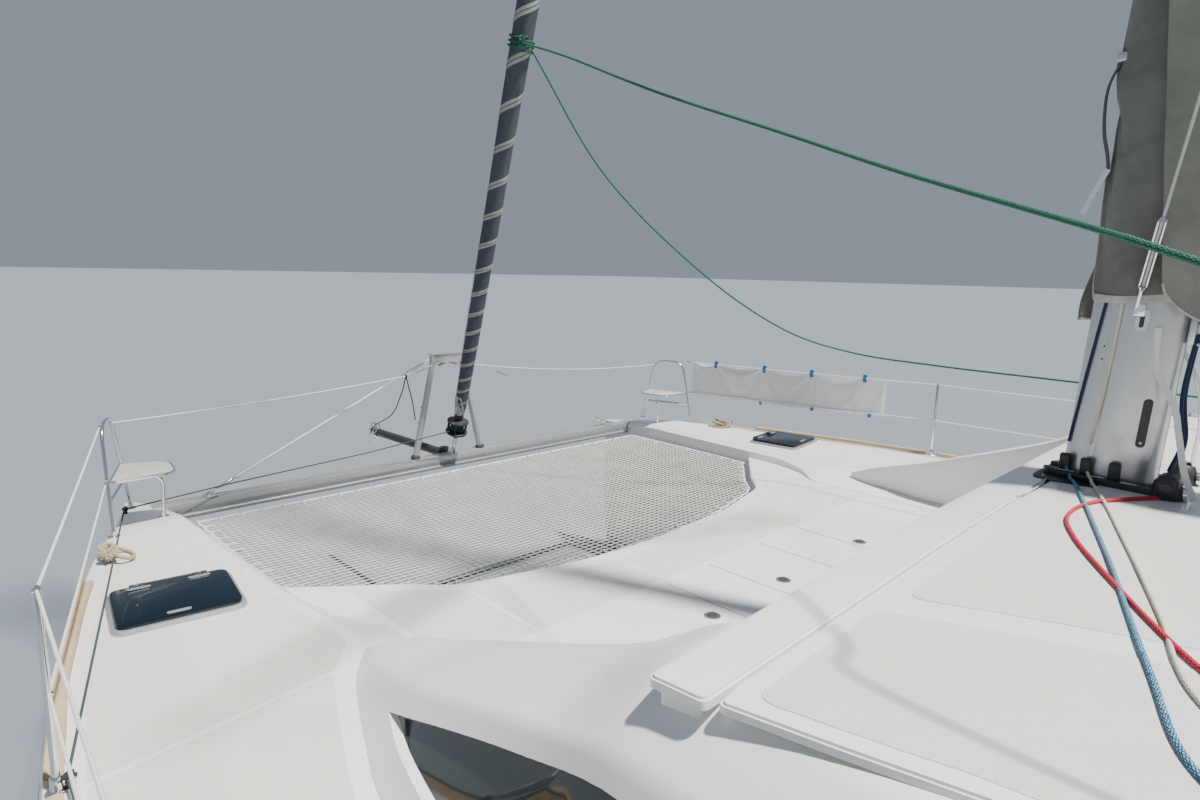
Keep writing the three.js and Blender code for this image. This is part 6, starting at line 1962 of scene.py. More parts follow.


# The port flap and its front hem take finish 2, the canvas with painted light. The starboard flap keeps the
# plain canvas.
for side, reach, low in ((1, 0.0, 3.355), (-1, 0.06, 3.33)):
    rows = []
    for z in [low + 0.14 * t * t for t in spread(0, 1, 8)] + spread(low + 0.17, 4.7, 30):
        front = flap_front(max(z, 3.36), reach)
        xs = spread(COVER_AFT - 0.03, front, 16)
        rows.append([flap(x, z, side, 0.003) for x in xs] + [flap(x, z, side, -0.002) for x in xs[::-1]])
    cover.skin(rows, 2 if side > 0 else 0)
    edge = [flap(x, low, side, 0.001) for x in spread(COVER_AFT, flap_front(3.36, reach) - 0.02, 10)]
    edge += [flap(flap_front(z, reach), z, side, 0.001)
             for z in [3.36 + 0.14 * t * t for t in spread(0.3, 1, 6)]]
    cover.tube(edge, 0.006, 1, 8)
    front = [flap(flap_front(z, reach), z, side, 0.001) for z in spread(3.48, 4.69, 24)]
    cover.tube(front, 0.0032, 2 if side > 0 else 0, 8)
loose = []
for t in spread(0, 1, 22):
    front, z = 0.975 + 0.07 * smooth(t) + 0.006 * sin(9 * t), 3.86 - 0.525 * t
    row = [Vector((front - 0.17 * u, -0.06 - 0.1 * u ** 0.6 - 0.012 * t * sin(7 * u), z))
           for u in spread(0, 1, 12)]
    skin_off = Vector((0.002, -0.002, 0))
    loose.append([p + skin_off for p in row] + [p - skin_off for p in row[::-1]])
cover.skin(loose, 0)
cover.tube([(a + b) / 2 for a, b in zip(loose[-1][:12], loose[-1][:11:-1])], 0.0065, 1, 8)
ribbon(cover, flowing([(0.99, 0.02, 4.42), (1.03, 0.03, 4.3), (1.025, 0.035, 4.14), (1.0, 0.035, 4.03),
                       (0.99, 0.035, 3.97)], 5), 0.03, 0.003, (1, 0.6, 0), 3)
ribbon(cover, flowing([(0.99, 0.035, 3.97), (1.02, 0.04, 3.9), (1.06, 0.05, 3.79)], 6), 0.025, 0.002,
       (0.5, 1, 0), 4)
cover.box((0.975, -0.005, 4.4), (1.01, 0.045, 4.435), 5, 0.004)
bag_front = piece("bag_front", cover, [canvas, hem_cloth, sunlit_canvas, black, white_cloth, alloy],
                  sharp=70)
bag_front.parent = None
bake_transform(bag_front)

# %% [markdown]
# ## Running lines
# Halyards come down along the mast into the blocks at its foot, and run over the roof to the
# winches on the port side. The headsail's two sheets hang in long curves from its clew.

# %% Halyards at the mast
halyards = Shape()
# Finish 0 on the mast is the blue halyard painted darker, as painted shade. It carries on in the lit blue
# over the roof.
for port_line, finish in ((((3.44, 50), (3.1, 38), (2.79, 24)), 0), (((3.44, 72), (3.1, 71), (2.8, 66)), 1)):
    for side in (1, -1):
        path = [on_mast(z, side * bearing, 0.004) for z, bearing in port_line]
        halyards.tube(flowing(path, 8), 0.0062, finish, 10)
for y, foot_y in ((-0.03, -0.06), (0.028, 0.05)):
    back = [(mast_x(3.3) - 0.205, y, 3.3), (mast_x(3.05) - 0.2, y * 1.3, 3.05), (0.6, foot_y, 2.86),
            (0.62, foot_y * 2, 2.74)]
    halyards.tube(flowing(back, 8), 0.0075, 0, 8)
ribbon(halyards, flowing([on_mast(3.32, 118, 0.005), on_mast(3.152, 125, 0.006), (0.635, 0.125, 3.02),
                          (0.6, 0.15, 2.9), (0.56, 0.185, 2.76), (0.515, 0.2, 2.66)], 8), 0.024, 0.003,
       (0.2, 1, 0.1), 2)
ribbon(halyards, flowing([on_mast(3.3, -130, 0.005), (0.6, -0.11, 3.1), (0.57, -0.135, 2.92),
                          (0.575, -0.16, 2.76), (0.555, -0.19, 2.66)], 8), 0.024, 0.003, (-0.9, 0.4, 0), 2)
halyards.box((0.565, 0.11, 2.655), (0.64, 0.235, 2.742), 3, 0.02)
halyards.tube([(0.6, 0.1, 2.7), (0.6, 0.245, 2.7)], 0.018, 3, 16)
piece("halyards", halyards, [navy_and_shaded_blue_rope, cream_rope, white_cloth, black])

# %% Lines over the roof
ROPE_RADIUS = 0.0062


def over_roof(points, radius=ROPE_RADIUS):
    """A rope that lies on the roof, given by X and Y."""
    return [Vector(on_roof(p.x, p.y, LEDGE + 0.002 + radius))
            for p in flowing([(x, y, 0) for x, y in points], 10)]


control = Shape()
# Finish, then X and Y along the roof
ROOF_LINES = [
    [0, (0.606, 0.2), (0.7, 0.33), (0.796, 0.509), (0.812, 0.744), (0.748, 0.967), (0.604, 1.262),
     (0.308, 1.749), (0.06, 1.98), (-0.4, 1.98), (-1.1, 1.8), (-1.9, 1.62)],
    [1, (0.965, 0.1), (0.88, 0.315), (0.593, 1.191), (0.386, 1.837), (0.249, 2.2), (0.02, 2.33),
     (-0.5, 2.25), (-1.2, 2.05), (-1.9, 1.84)],
    [2, (0.86, 0.17), (0.74, 0.51), (0.601, 0.942), (0.42, 1.502), (0.289, 1.908), (0.05, 2.14),
     (-0.45, 2.12), (-1.15, 1.93), (-1.9, 1.73)],
]
for finish, *points in ROOF_LINES:
    control.tube(over_roof(points), ROPE_RADIUS + (0.0012 if finish < 2 else 0), finish, 10)
for finish, x, y in ((1, 0.995, 0.068), (2, 0.905, 0.108)):
    control.tube(flowing([(x - 0.004, y + 0.004, 2.70), (x - 0.016, y + 0.02, 2.672),
                          (x - 0.03, y + 0.04, 2.662),
                          over_roof([(x - 0.05, y + 0.09), (x - 0.06, y + 0.11)])[0]], 6),
                 ROPE_RADIUS, finish, 10)
for y in (1.62, 1.73, 1.84):
    control.box((-2.03, y - 0.03, 2.6), (-1.86, y + 0.03, 2.684), 3, 0.012)
    control.box((-2.0, y - 0.012, 2.68), (-1.9, y + 0.012, 2.699), 3, 0.006)
for k, (y0, drum_y) in enumerate(((1.62, 1.38), (1.84, 1.78))):
    turns = [(-2.25 + 0.09 * cos(a), drum_y + 0.09 * sin(a), 2.72 + 0.0022 * a)
             for a in spread(0.6, 20.0, 90)]
    control.tube(flowing([(-2.02, y0, 2.645), (-2.12, (y0 + drum_y + 0.08) / 2, 2.69)], 4)[:-1] + turns,
                 0.006, k, 8)
grey = over_roof([(1.15, 0.746), (1.067, 0.673), (1.018, 0.466), (1.03, 0.2), (1.1, -0.1)], 0.003)
control.tube(grey, 0.003, 4, 6)
piece("roof_lines", control, [red_rope, blue_rope, cream_rope, black, white_rope])

# %% Headsail sheets
SHEETS = (
    (on_stay(CLEW, 2.6, 0.128), (3.9, 0.52, 4.84), (2.85, 0.86, 4.42), (1.858, 1.2, 4.057),
     (1.22, 1.5, 3.824), (0.561, 2.0, 3.605), (0.367, 2.2, 3.537), (-0.7, 2.32, 3.13),
     (-1.955, 2.36, 2.705)),
    (on_stay(CLEW - 0.03, 3.3, 0.118), (4.62, -0.52, 4.28), (4.05, -1.1, 3.52), (3.55, -1.6, 3.06),
     (3.11, -2.0, 2.87), (2.4, -2.02, 2.83), (1.37, -2.06, 2.81), (0.0, -2.25, 2.76),
     (-1.955, -2.36, 2.705)),
)
sheets = Shape()
for k, route in enumerate(SHEETS):
    side = 1 - 2 * k
    sheets.tube(flowing(route, 14), 0.0072, 0, 10)
    block = Vector((-1.99, side * 2.36, 2.692))
    sheets.turned([(0, -0.013), (0.034, -0.013), (0.034, 0.013), (0, 0.013)], block, (0, side, 0.1), 1, 24)
    sheets.box(block + Vector((-0.045, -0.02, -0.085)), block + Vector((0.045, 0.02, -0.028)), 2, 0.008)
    perch = on_roof(-2.6, side * 2.2, LEDGE)
    end = [block + Vector((-0.02, 0, 0.03)), block + Vector((-0.09, -side * 0.01, 0.0)),
           *over_roof([(-2.25, side * 2.32), (-2.4, side * 2.27)], 0.007)[::10],
           Vector(perch) + Vector((0.07, 0, 0.03))]
    sheets.tube(flowing(end, 8), 0.0068, 0, 10)
    cleat(sheets, *perch, 0.1, 2, 0.085)
    made_fast(sheets, *perch)
piece("headsail_sheets", sheets, [green_rope, black, steel])

# %% Rope turns at the bow cleats
turned_rope = Shape()
for x, y, turn in ((5.13, 3.03, -0.2), (5.13, -3.03, 0.2)):
    start = len(turned_rope.points)
    loops = []
    for a in spread(0, 6 * pi, 110):
        loops.append((0.1 * cos(a) + 0.006 * sin(3 * a), 0.034 * sin(2 * a) + 0.01 * sin(a / 3),
                      0.03 + 0.0016 * a + 0.008 * cos(2 * a)))
    turned_rope.tube(loops, 0.0105, 0, 9)
    ring = [(0.045 * cos(a) - 0.01, 0.04 * sin(a), 0.018 + 0.012 * a / 6.3) for a in spread(0, 12.5, 60)]
    turned_rope.tube(ring, 0.0105, 0, 9)
    hang = [(0.09, 0.03, 0.06), (0.13, 0.07, 0.045), (0.1, 0.12, 0.02), (0.02, 0.13, 0.014),
            (-0.06, 0.1, 0.013), (-0.09, 0.05, 0.03)]
    turned_rope.tube(flowing(hang, 8), 0.0105, 0, 9)
    turned_rope.moved(placed((x, y, DECK), turn + (pi if y > 0 else 0)), start)
piece("cleat_turns", turned_rope, [tan_rope])

# %% [markdown]
# ## Side screen
# A strip of white cloth hangs between the starboard lifelines, taped to them. It is cut with a
# little slack and falls in a cloth simulation, pinned where the tapes and the seat's hoop hold it.

# %% Side screen
SCREEN_X, SCREEN_Z = (5.545, 3.43), (2.075, 2.47)
SCREEN_COLS, SCREEN_ROWS = 121, 23
TOP_TAPES, FOOT_TAPES = (5.26, 4.695, 4.18, 3.64, 3.46), (4.72, 4.155, 3.57)


def lifeline_y(x):
    return -(2.921 + (5.648 - x) * 0.2403)


def screen_point(x, z, off=0.0):
    return Vector((x, lifeline_y(x) - 0.009 + off, z))


def make_screen():
    """Grid of cloth with slack in it, as points by column and row."""
    points = []
    for i, x in enumerate(spread(*SCREEN_X, SCREEN_COLS)):
        for j, z in enumerate(spread(*SCREEN_Z, SCREEN_ROWS)):
            edge = sin(pi * j / (SCREEN_ROWS - 1)) * 0.6 + 0.4
            slack = 0.008 * edge * (sin(21 * x + 5 * z) + 0.7 * sin(33 * x - 9 * z + 1.3))
            points.append(screen_point(x, z, slack))
    faces = []
    for i in range(SCREEN_COLS - 1):
        for j in range(SCREEN_ROWS - 1):
            a = i * SCREEN_ROWS + j
            faces.append((a, a + 1, a + SCREEN_ROWS + 1, a + SCREEN_ROWS))
    made = bpy.data.meshes.new("side_screen")
    made.from_pydata(points, [], faces)
    return made


def settled(mesh, pins, frames=26, weightless=False, **settings):
    """The mesh after it has moved as cloth, held at the points in pins."""
    helper = in_scene("cloth_helper", mesh)
    held = helper.vertex_groups.new(name="held")
    held.add(pins, 1.0, "REPLACE")
    change = helper.modifiers.new("cloth", "CLOTH")
    change.settings.vertex_group_mass = "held"
    change.settings.quality = 8
    change.collision_settings.use_collision = False
    change.settings.effector_weights.gravity = 0.0 if weightless else 1.0
    for key, value in settings.items():
        setattr(change.settings, key, value)
    change.point_cache.frame_start, change.point_cache.frame_end = 1, frames
    scene = bpy.context.scene
    for f in range(1, frames + 1):
        scene.frame_set(f)
    view = bpy.context.evaluated_depsgraph_get()
    result = bpy.data.meshes.new_from_object(helper.evaluated_get(view))
    scene.frame_set(1)
    bpy.data.objects.remove(helper)
    return result


def pinned_spots():
    rows = spread(*SCREEN_Z, SCREEN_ROWS)
    pins = []
    for i, x in enumerate(spread(*SCREEN_X, SCREEN_COLS)):
        if min(abs(x - t) for t in TOP_TAPES) < 0.02:
            pins.append(i * SCREEN_ROWS + SCREEN_ROWS - 1)
        if min(abs(x - t) for t in FOOT_TAPES) < 0.012:
            pins.append(i * SCREEN_ROWS)
        if i < 2:
            pins += [i * SCREEN_ROWS + j for j in range(len(rows))]
    return pins


screen_mesh = make_screen()
screen_mesh = settled(screen_mesh, pinned_spots(), mass=0.15, tension_stiffness=15,
                      compression_stiffness=15, bending_stiffness=0.02, air_damping=2.0)
for v in screen_mesh.vertices:
    plane = lifeline_y(v.co.x) - 0.009
    v.co.y = min(plane + 0.022, max(plane - 0.022, v.co.y))
    v.co.z = min(2.485, max(2.05, v.co.z))
screen = piece("side_screen_cloth", screen_mesh, [white_cloth],
               replaces=["side_screen"], sharp=180)
tapes = Shape()
for x in TOP_TAPES[:-1]:
    y = lifeline_y(x)
    for dy in (-0.0125, 0.007):
        tapes.box((x - 0.017, y + dy, 2.42), (x + 0.017, y + dy + 0.0012, 2.5), soft=0.0)
    tapes.box((x - 0.017, y - 0.0125, 2.4985), (x + 0.017, y + 0.0082, 2.4997), soft=0.0)
for x in FOOT_TAPES:
    y = lifeline_y(x)
    for dy in (-0.0125, 0.003):
        tapes.box((x - 0.014, y + dy, 2.055), (x + 0.014, y + dy + 0.0012, 2.1), soft=0.0)
tape_piece = piece("side_screen_tapes", tapes, [blue_tape])
area = sum(p.area for p in screen_mesh.polygons)
print("side screen:", round(area, 3), "square metres of cloth")

# %% [markdown]
# ## Keels, rudders and drives
# Below the water are a long keel, a rudder and a saildrive on each hull. Their sections are one
# smooth foil, thickest a fifth of the way back.

# %% Under the water
foil_half = curve_of([[0, 0], [0.012, 0.17], [0.06, 0.34], [0.2, 0.5], [0.45, 0.46], [0.75, 0.22],
                      [1, 0.012]], 1)


def foil(x, y, chord, thick, z, count=18):
    """Closed foil section at one height, from its nose round to its nose again."""
    shares = [0.5 - 0.5 * cos(a) for a in spread(0, pi, count)]
    port = [(x - s * chord, y + foil_half(s) * thick, z) for s in shares]
    return port + [(x - s * chord, y - foil_half(s) * thick, z) for s in shares[-1:0:-1]]


def foil_stack(shape, table, steps=9):
    """Skin over foils that change smoothly from the first row of the table to the last."""
    columns = [None] + [curve_of([[-row[4], row[k]] for row in table], 1) for k in range(4)]
    depths = spread(-table[0][4], -table[-1][4], steps)
    return shape.skin([foil(*(columns[k](d) for k in (1, 2, 3, 4)), -d) for d in depths])


keel = foil_stack(Shape(), [[1.25, 2.72, 2.9, 0.3, -0.45], [1.13, 2.72, 2.56, 0.28, -0.9],
                            [1.0, 2.72, 2.25, 0.26, -1.18]])
foil_stack(keel, [[1.0, 2.72, 2.25, 0.26, -1.18], [0.985, 2.72, 2.22, 0.22, -1.1999]], steps=3)
on_both_sides("keel_shell", keel, [antifouling], replaces=["keel"])
RUDDER_X, RUDDER_Y = -5.35, 2.748
blade = foil_stack(Shape(), [[-5.22, RUDDER_Y, 0.46, 0.074, -0.395], [-5.23, RUDDER_Y, 0.4, 0.064, -0.8],
                             [-5.26, RUDDER_Y, 0.3, 0.05, -1.12]])
foil_stack(blade, [[-5.26, RUDDER_Y, 0.3, 0.05, -1.12], [-5.27, RUDDER_Y, 0.27, 0.03, -1.13]], steps=3)
blade.tube([(RUDDER_X, RUDDER_Y, -0.5), (RUDDER_X, RUDDER_Y, -0.12)], 0.03, 1, 28)
on_both_sides("rudder_shell", blade, [antifouling, steel], "rudder_blade", ["rudder"])
DRIVE_X, DRIVE_Y, DRIVE_Z = -4.25, 2.735, -0.86
drive = foil_stack(Shape(), [[-4.16, DRIVE_Y, 0.3, 0.13, -0.35], [-4.2, DRIVE_Y, 0.27, 0.112, -0.6],
                             [-4.21, DRIVE_Y, 0.26, 0.1, -0.815]])
drive.turned([(0, 0), (0.018, 0.003), (0.034, 0.014), (0.05, 0.04), (0.062, 0.085), (0.062, 0.3),
              (0.052, 0.39), (0.05, 0.39), (0.05, 0.386), (0.0235, 0.386), (0.0235, 0.195), (0, 0.195)],
             (DRIVE_X + 0.145, DRIVE_Y, DRIVE_Z), (-1, 0, 0), 0, 32)
foil_stack(drive, [[-4.27, DRIVE_Y, 0.2, 0.04, -0.9], [-4.29, DRIVE_Y, 0.16, 0.032, -0.97],
                   [-4.31, DRIVE_Y, 0.12, 0.024, -1.05]])
for z in (-0.5, -0.56, -0.62):
    drive.box((-4.36, DRIVE_Y - 0.058, z - 0.008), (-4.25, DRIVE_Y + 0.058, z + 0.008), 1, 0.004)
on_both_sides("saildrive_shell", drive, [alloy, black], replaces=["saildrive"])
screw = Shape()
HUB_X = DRIVE_X - 0.2455
screw.turned([(0, -0.044), (0.018, -0.044), (0.018, 0.0), (0.05, 0.0), (0.055, 0.02), (0.055, 0.09),
              (0.047, 0.12), (0.03, 0.15), (0.015, 0.162), (0, 0.165)], (HUB_X, DRIVE_Y, DRIVE_Z),
             (-1, 0, 0), 0, 36)
blade_half = curve_of([[0.038, 0.05], [0.08, 0.078], [0.13, 0.097], [0.18, 0.088], [0.21, 0.056],
                       [0.225, 0.012]], 1)
for i in range(3):
    start = len(screw.points)
    rings = []
    for r in spread(0.038, 0.2245, 15):
        pitch = atan2(0.19, 2 * pi * 0.35 * r)
        half, thick = blade_half(r), 0.007 - 0.005 * (r / 0.225)
        ring = []
        for a in full_turn(20):
            u, v = half * cos(a), thick * sin(a) + 0.004 * cos(a) ** 2
            ring.append((-(u * sin(pitch) + v * cos(pitch)), u * cos(pitch) - v * sin(pitch), r))
        rings.append(ring)
    screw.skin(rings, 0)
    screw.moved(placed((HUB_X - 0.055, DRIVE_Y, DRIVE_Z), 2 * pi * i / 3, "X"), start)
on_both_sides("screw", screw, [bronze], "screw", ["propeller"])
print("under water done")

# %% [markdown]
# ## Stern steps
# Rough treads lie on the boarding steps, and a bent rail stands beside them.

# %% Stern treads
stern = Shape()
for x0, x1, z in STEPS:
    fore, aft = x0 - 0.035, max(x1, -6.66) + 0.035
    half = hull_line[7]((fore + aft) / 2)
    if fore - aft > 0.12:
        stern.plate(oblong(fore, half + 0.11, aft, WING_Y - 0.1, 0.04),
                    z + 0.0002, z + 0.0016)
on_both_sides("stern_tread", stern, [nonskid])

# %% [markdown]
# ## Cushions
# A cushion starts as a block with rounded corners. It is remeshed to an even grid and blown up as
# cloth, and no point may move farther than its reach. Piping follows its edges.

# %% Cushions
upholstery = material("upholstery", (0.37, 0.385, 0.40), (0.31, 0.32, 0.335), 0.85, 0.1, 5.0, 0.5,
                      bump=from_effect(WEAVE, 0.0005, Threads=1200.0), Sheen_Weight=0.3)
piping = Shape()
FILL, VOXEL, REACH = 0.7, 0.019, 0.009


def puffed(mesh, reach):
    """The closed form on an even grid, blown up as weightless cloth."""
    helper = in_scene("grid_helper", mesh)
    change = helper.modifiers.new("grid", "REMESH")
    change.mode, change.voxel_size = "VOXEL", VOXEL
    even = taken_off(helper)
    before = [v.co.copy() for v in even.vertices]
    blown = settled(even, [], 20, weightless=True, use_pressure=True, uniform_pressure_force=4.0, mass=0.3,
                    tension_stiffness=12, compression_stiffness=12, bending_stiffness=0.4)
    for v, start in zip(blown.vertices, before):
        step = v.co - start
        if step.length > reach:
            v.co = start + step * reach / step.length
    return blown


def cushion(name, low, high):
    """A cushion within two corners, with piping along its two rims."""
    give, lip = 0.011, 0.024
    low, high = Vector(low) + Vector((give, give, 0.003)), Vector(high) - Vector((give, give, give))
    corners = oblong(low.x, low.y, high.x, high.y, 0.035)
    upright = min(range(3), key=lambda k: high[k] - low[k])
    lip = min(lip, (high[upright] - low[upright]) / 3)
    mesh = Shape().plate(corners, low.z, high.z, 0, lip).mesh(name)
    mesh = puffed(mesh, REACH)
    for z in (low.z + 0.3 * lip, high.z - 0.3 * lip):
        piping.tube([(x, y, z + (0.003 if z > low.z + lip else 0))
                     for x, y in inset(corners, 0.3 * lip - 0.004)], 0.0042, 0, 6, loop=True)
    piece(name, mesh, [upholstery], sharp=60)


# Names and opposite corners
BENCH_Y = (-1.49, -0.5, 0.5, 1.49)
SETTEE_X = (-1.69, -0.475, 0.755)
bench_spans = list(zip("abc", BENCH_Y, BENCH_Y[1:]))
settee_spans = list(zip("ab", SETTEE_X, SETTEE_X[1:]))
CUSHIONS = [
    *([f"bench_seat_{k}", (-5.0, y0, 1.046), (-4.5, y1, 1.13)] for k, y0, y1 in bench_spans),
    ["bench_side_a", (-3.62, -2.09, 1.046), (-2.96, -1.565, 1.13)],
    ["bench_side_b", (-4.29, -2.09, 1.046), (-3.62, -1.565, 1.13)],
    *([f"bench_back_{k}", (-5.112, y0, 1.14), (-5.026, y1, 1.59)] for k, y0, y1 in bench_spans),
    ["helm_seat_pad", (-3.9, 1.185, 1.556), (-3.481, 1.975, 1.64)],
    ["helm_back_pad", (-3.934, 1.2, 1.66), (-3.878, 1.96, 2.05)],
    *([f"settee_seat_{k}", (x0, 1.425, 1.026), (x1, 1.94, 1.13)] for k, x0, x1 in settee_spans),
    ["settee_seat_c", (0.765, 1.3, 1.026), (1.28, 1.94, 1.13)],
    ["settee_seat_d", (0.765, 0.155, 1.026), (1.28, 1.3, 1.13)],
    *([f"settee_back_{k}", (x0, 1.94, 1.09), (x1, 2.032, 1.535)] for k, x0, x1 in settee_spans),
    ["settee_back_c", (0.765, 1.94, 1.09), (1.28, 2.032, 1.535)],
    ["settee_back_d", (1.28, 0.155, 1.09), (1.372, 1.05, 1.535)],
    ["settee_back_e", (1.28, 1.05, 1.09), (1.372, 1.94, 1.535)],
]
for name, low, high in CUSHIONS:
    cushion(name, low, high)
piece("cushion_piping", piping, [hem_cloth])
print("cushions:", len(CUSHIONS))

# %% [markdown]
# ## Cockpit
# The bench, table and helm are moulded like the deck. The wheel turns on a shaft that enters the
# pod, and the pod carries a compass, two dark displays and the levers of the drives.

# %% Bench and table
FLOOR = SOLE + 0.0005


def moulded(shape, outline, y0, y1, soft=0.02, ease=0.006):
    """Outline in X and Z with its corners rounded, drawn out along Y with eased ends."""
    rows = [(ease, y0), (0, y0 + ease), (0, y1 - ease), (ease, y1)]
    return shape.skin([[(x, y, z) for x, z in inset(rounded(outline, soft), by)] for by, y in rows])


bench = Shape()
moulded(bench, [(-4.502, FLOOR), (-4.502, 1.046), (-5.112, 1.046), (-5.114, 1.6), (-5.19, 1.6),
                (-5.19, FLOOR)], -1.5, 1.5)
moulded(bench, [(-2.95, FLOOR), (-2.95, 1.046), (-4.3, 1.046), (-4.3, FLOOR)], -2.0995, -1.56)
moulded(bench, [(-4.29, FLOOR), (-4.29, 1.1), (-5.15, 1.1), (-5.15, FLOOR)], -1.7, -1.5)
for y0, y1 in ((-1.38, -0.5), (-0.42, 0.42), (0.5, 1.38)):
    bench.box((-4.503, y0, 0.78), (-4.4995, y1, 0.985), 0, 0.0)
    bench.tube([(-4.4985, (y0 + y1) / 2 - 0.03, 0.955), (-4.4985, (y0 + y1) / 2 + 0.03, 0.955)], 0.006, 1, 8)
piece("cockpit_bench_shell", bench, [gelcoat, steel], replaces=["cockpit_bench"])
table = Shape()
table.plate(rounded([(-3.15, -1.38), (-3.15, -0.42), (-4.25, -0.42), (-4.25, -1.38)], 0.07, 6), 1.371,
            1.4095, 0, 0.009)
table.plate(rounded([(-3.2, -1.33), (-3.2, -0.47), (-4.2, -0.47), (-4.2, -1.33)], 0.05, 6), 1.4085, 1.4103, 1)
table.turned([(0, 0), (0.19, 0), (0.19, 0.006), (0.17, 0.014), (0.07, 0.022), (0.048, 0.05), (0.045, 0.09),
              (0.045, 0.66), (0.06, 0.69), (0, 0.69)], (-3.7, -0.9, FLOOR), (0, 0, 1), 2, 36)
for y in (-1.1, -0.7):
    table.box((-4.1, y - 0.03, 1.352), (-3.3, y + 0.03, 1.373), 2, 0.008)
piece("cockpit_table_top", table, [gelcoat, teak, alloy], replaces=["cockpit_table"])

# %% Helm
WHEEL = Vector((-3.06, 1.575, 1.84))
POD = [(-2.765, 1.1), (-2.765, 2.08), (-2.86, 2.08), (-2.965, 1.99), (-2.965, 1.1)]
helm = Shape()
moulded(helm, [(-3.95, FLOOR), (-3.95, 1.15), (-2.765, 1.15), (-2.765, FLOOR)], 1.05, 2.0995, 0.02)
moulded(helm, POD, 1.18, 1.98, 0.03)
socket = Shape().tube([(-3.0, WHEEL.y, WHEEL.z), (-2.885, WHEEL.y, WHEEL.z)], 0.0295, sides=28)
helm_mesh = carved(helm.mesh("helm_shell"), [socket.mesh("socket")], crossing=True)
piece("helm_shell", helm_mesh, [gelcoat], replaces=["helm_console"])
dash = Shape()
slope = atan2(0.09, 0.105)
face = placed((-2.9125, 1.58, 2.036), -slope, "Y")
for y, half_x, half_y in ((-0.2, 0.05, 0.11), (0.08, 0.05, 0.11), (0.3, 0.04, 0.05)):
    start = len(dash.points)
    dash.box((-half_x, y - half_y, 0.0), (half_x, y + half_y, 0.008), 0, 0.008)
    dash.box((-half_x + 0.01, y - half_y + 0.012, 0.006), (half_x - 0.01, y + half_y - 0.012, 0.0095), 1, 0.0)
    dash.moved(face, start)
dash.turned([(0, 0), (0.06, 0), (0.062, 0.012), (0.056, 0.03), (0.042, 0.052), (0.02, 0.066), (0, 0.069)],
            (-2.812, 1.58, 2.079), (0, 0, 1), 1, 32)
dash.turned([(0.0, 0), (0.069, 0), (0.071, 0.006), (0.062, 0.016), (0.058, 0.016)], (-2.812, 1.58, 2.079),
            (0, 0, 1), 0, 32)
for y in (1.86, 1.9):
    dash.turned([(0, 0), (0.024, 0), (0.024, 0.03), (0, 0.034)], (-2.964, y, 1.83), (-1, 0, 0), 2, 20)
    dash.tube(flowing([(-2.985, y, 1.83), (-3.0, y, 1.87), (-3.015, y, 1.93)], 4),
              [0.006] * 8 + [0.007], 2, 8)
    dash.turned([(0, 0), (0.012, 0.002), (0.015, 0.014), (0.012, 0.026), (0, 0.03)], (-3.013, y, 1.92),
                (-0.2, 0, 1), 0, 16)
collar = [[(-2.964 - s, WHEEL.y + r * cos(a), WHEEL.z + r * sin(a)) for a in full_turn(32)]
          for r, s in ((0.031, 0), (0.062, 0), (0.062, 0.008), (0.05, 0.014), (0.031, 0.014))]
dash.skin([*collar, collar[0]], 2, caps=False)
for y, z in ((1.25, 1.9), (1.25, 1.84), (1.25, 1.78), (1.3, 1.9), (1.3, 1.84), (1.3, 1.78)):
    dash.turned([(0, 0), (0.014, 0), (0.014, 0.005), (0.009, 0.008), (0, 0.008)], (-2.9645, y, z),
                (-1, 0, 0), 0, 16)
dash.box((-3.93, 1.12, 1.1502), (-3.0, 1.17, 1.1514), 3, 0.0)
dash.plate(oblong(-3.45, 1.1, -2.99, 2.05, 0.04), 1.1502, 1.152, 3)
piece("helm_fittings", dash, [black, glazing, steel, nonskid])
chair = Shape()
moulded(chair, [(-3.482, 1.1505), (-3.482, 1.556), (-3.93, 1.556), (-3.934, 2.058), (-3.9485, 2.058),
                (-3.9485, 1.1505)], 1.18, 1.98, 0.004, ease=0.0015)
chair.box((-3.483, 1.26, 1.22), (-3.4795, 1.9, 1.5), 0, 0.0)
piece("helm_seat_shell", chair, [gelcoat], replaces=["helm_seat"])
hub = Shape()
hub.turned([(0, 0.0), (0.04, 0.0), (0.058, 0.008), (0.06, 0.018), (0.06, 0.032), (0.05, 0.044),
            (0.024, 0.05), (0.024, 0.165), (0, 0.165)], WHEEL - Vector((0.025, 0, 0)), (1, 0, 0), 0, 32)
rim_points = [WHEEL + Vector((0, 0.4 * sin(a), 0.4 * cos(a))) for a in full_turn(72)]
hub.tube(rim_points, 0.0145, 1, 12, loop=True)
for i in range(5):
    a = 2 * pi * i / 5
    out = Vector((0, sin(a), cos(a)))
    hub.tube([WHEEL + out * 0.03, WHEEL + out * 0.09, WHEEL + out * 0.34, WHEEL + out * 0.392],
             [0.012, 0.009, 0.0085, 0.011], 0, 10)
piece("wheel_rim", hub, [steel, rubber], "wheel", ["steering_wheel"])

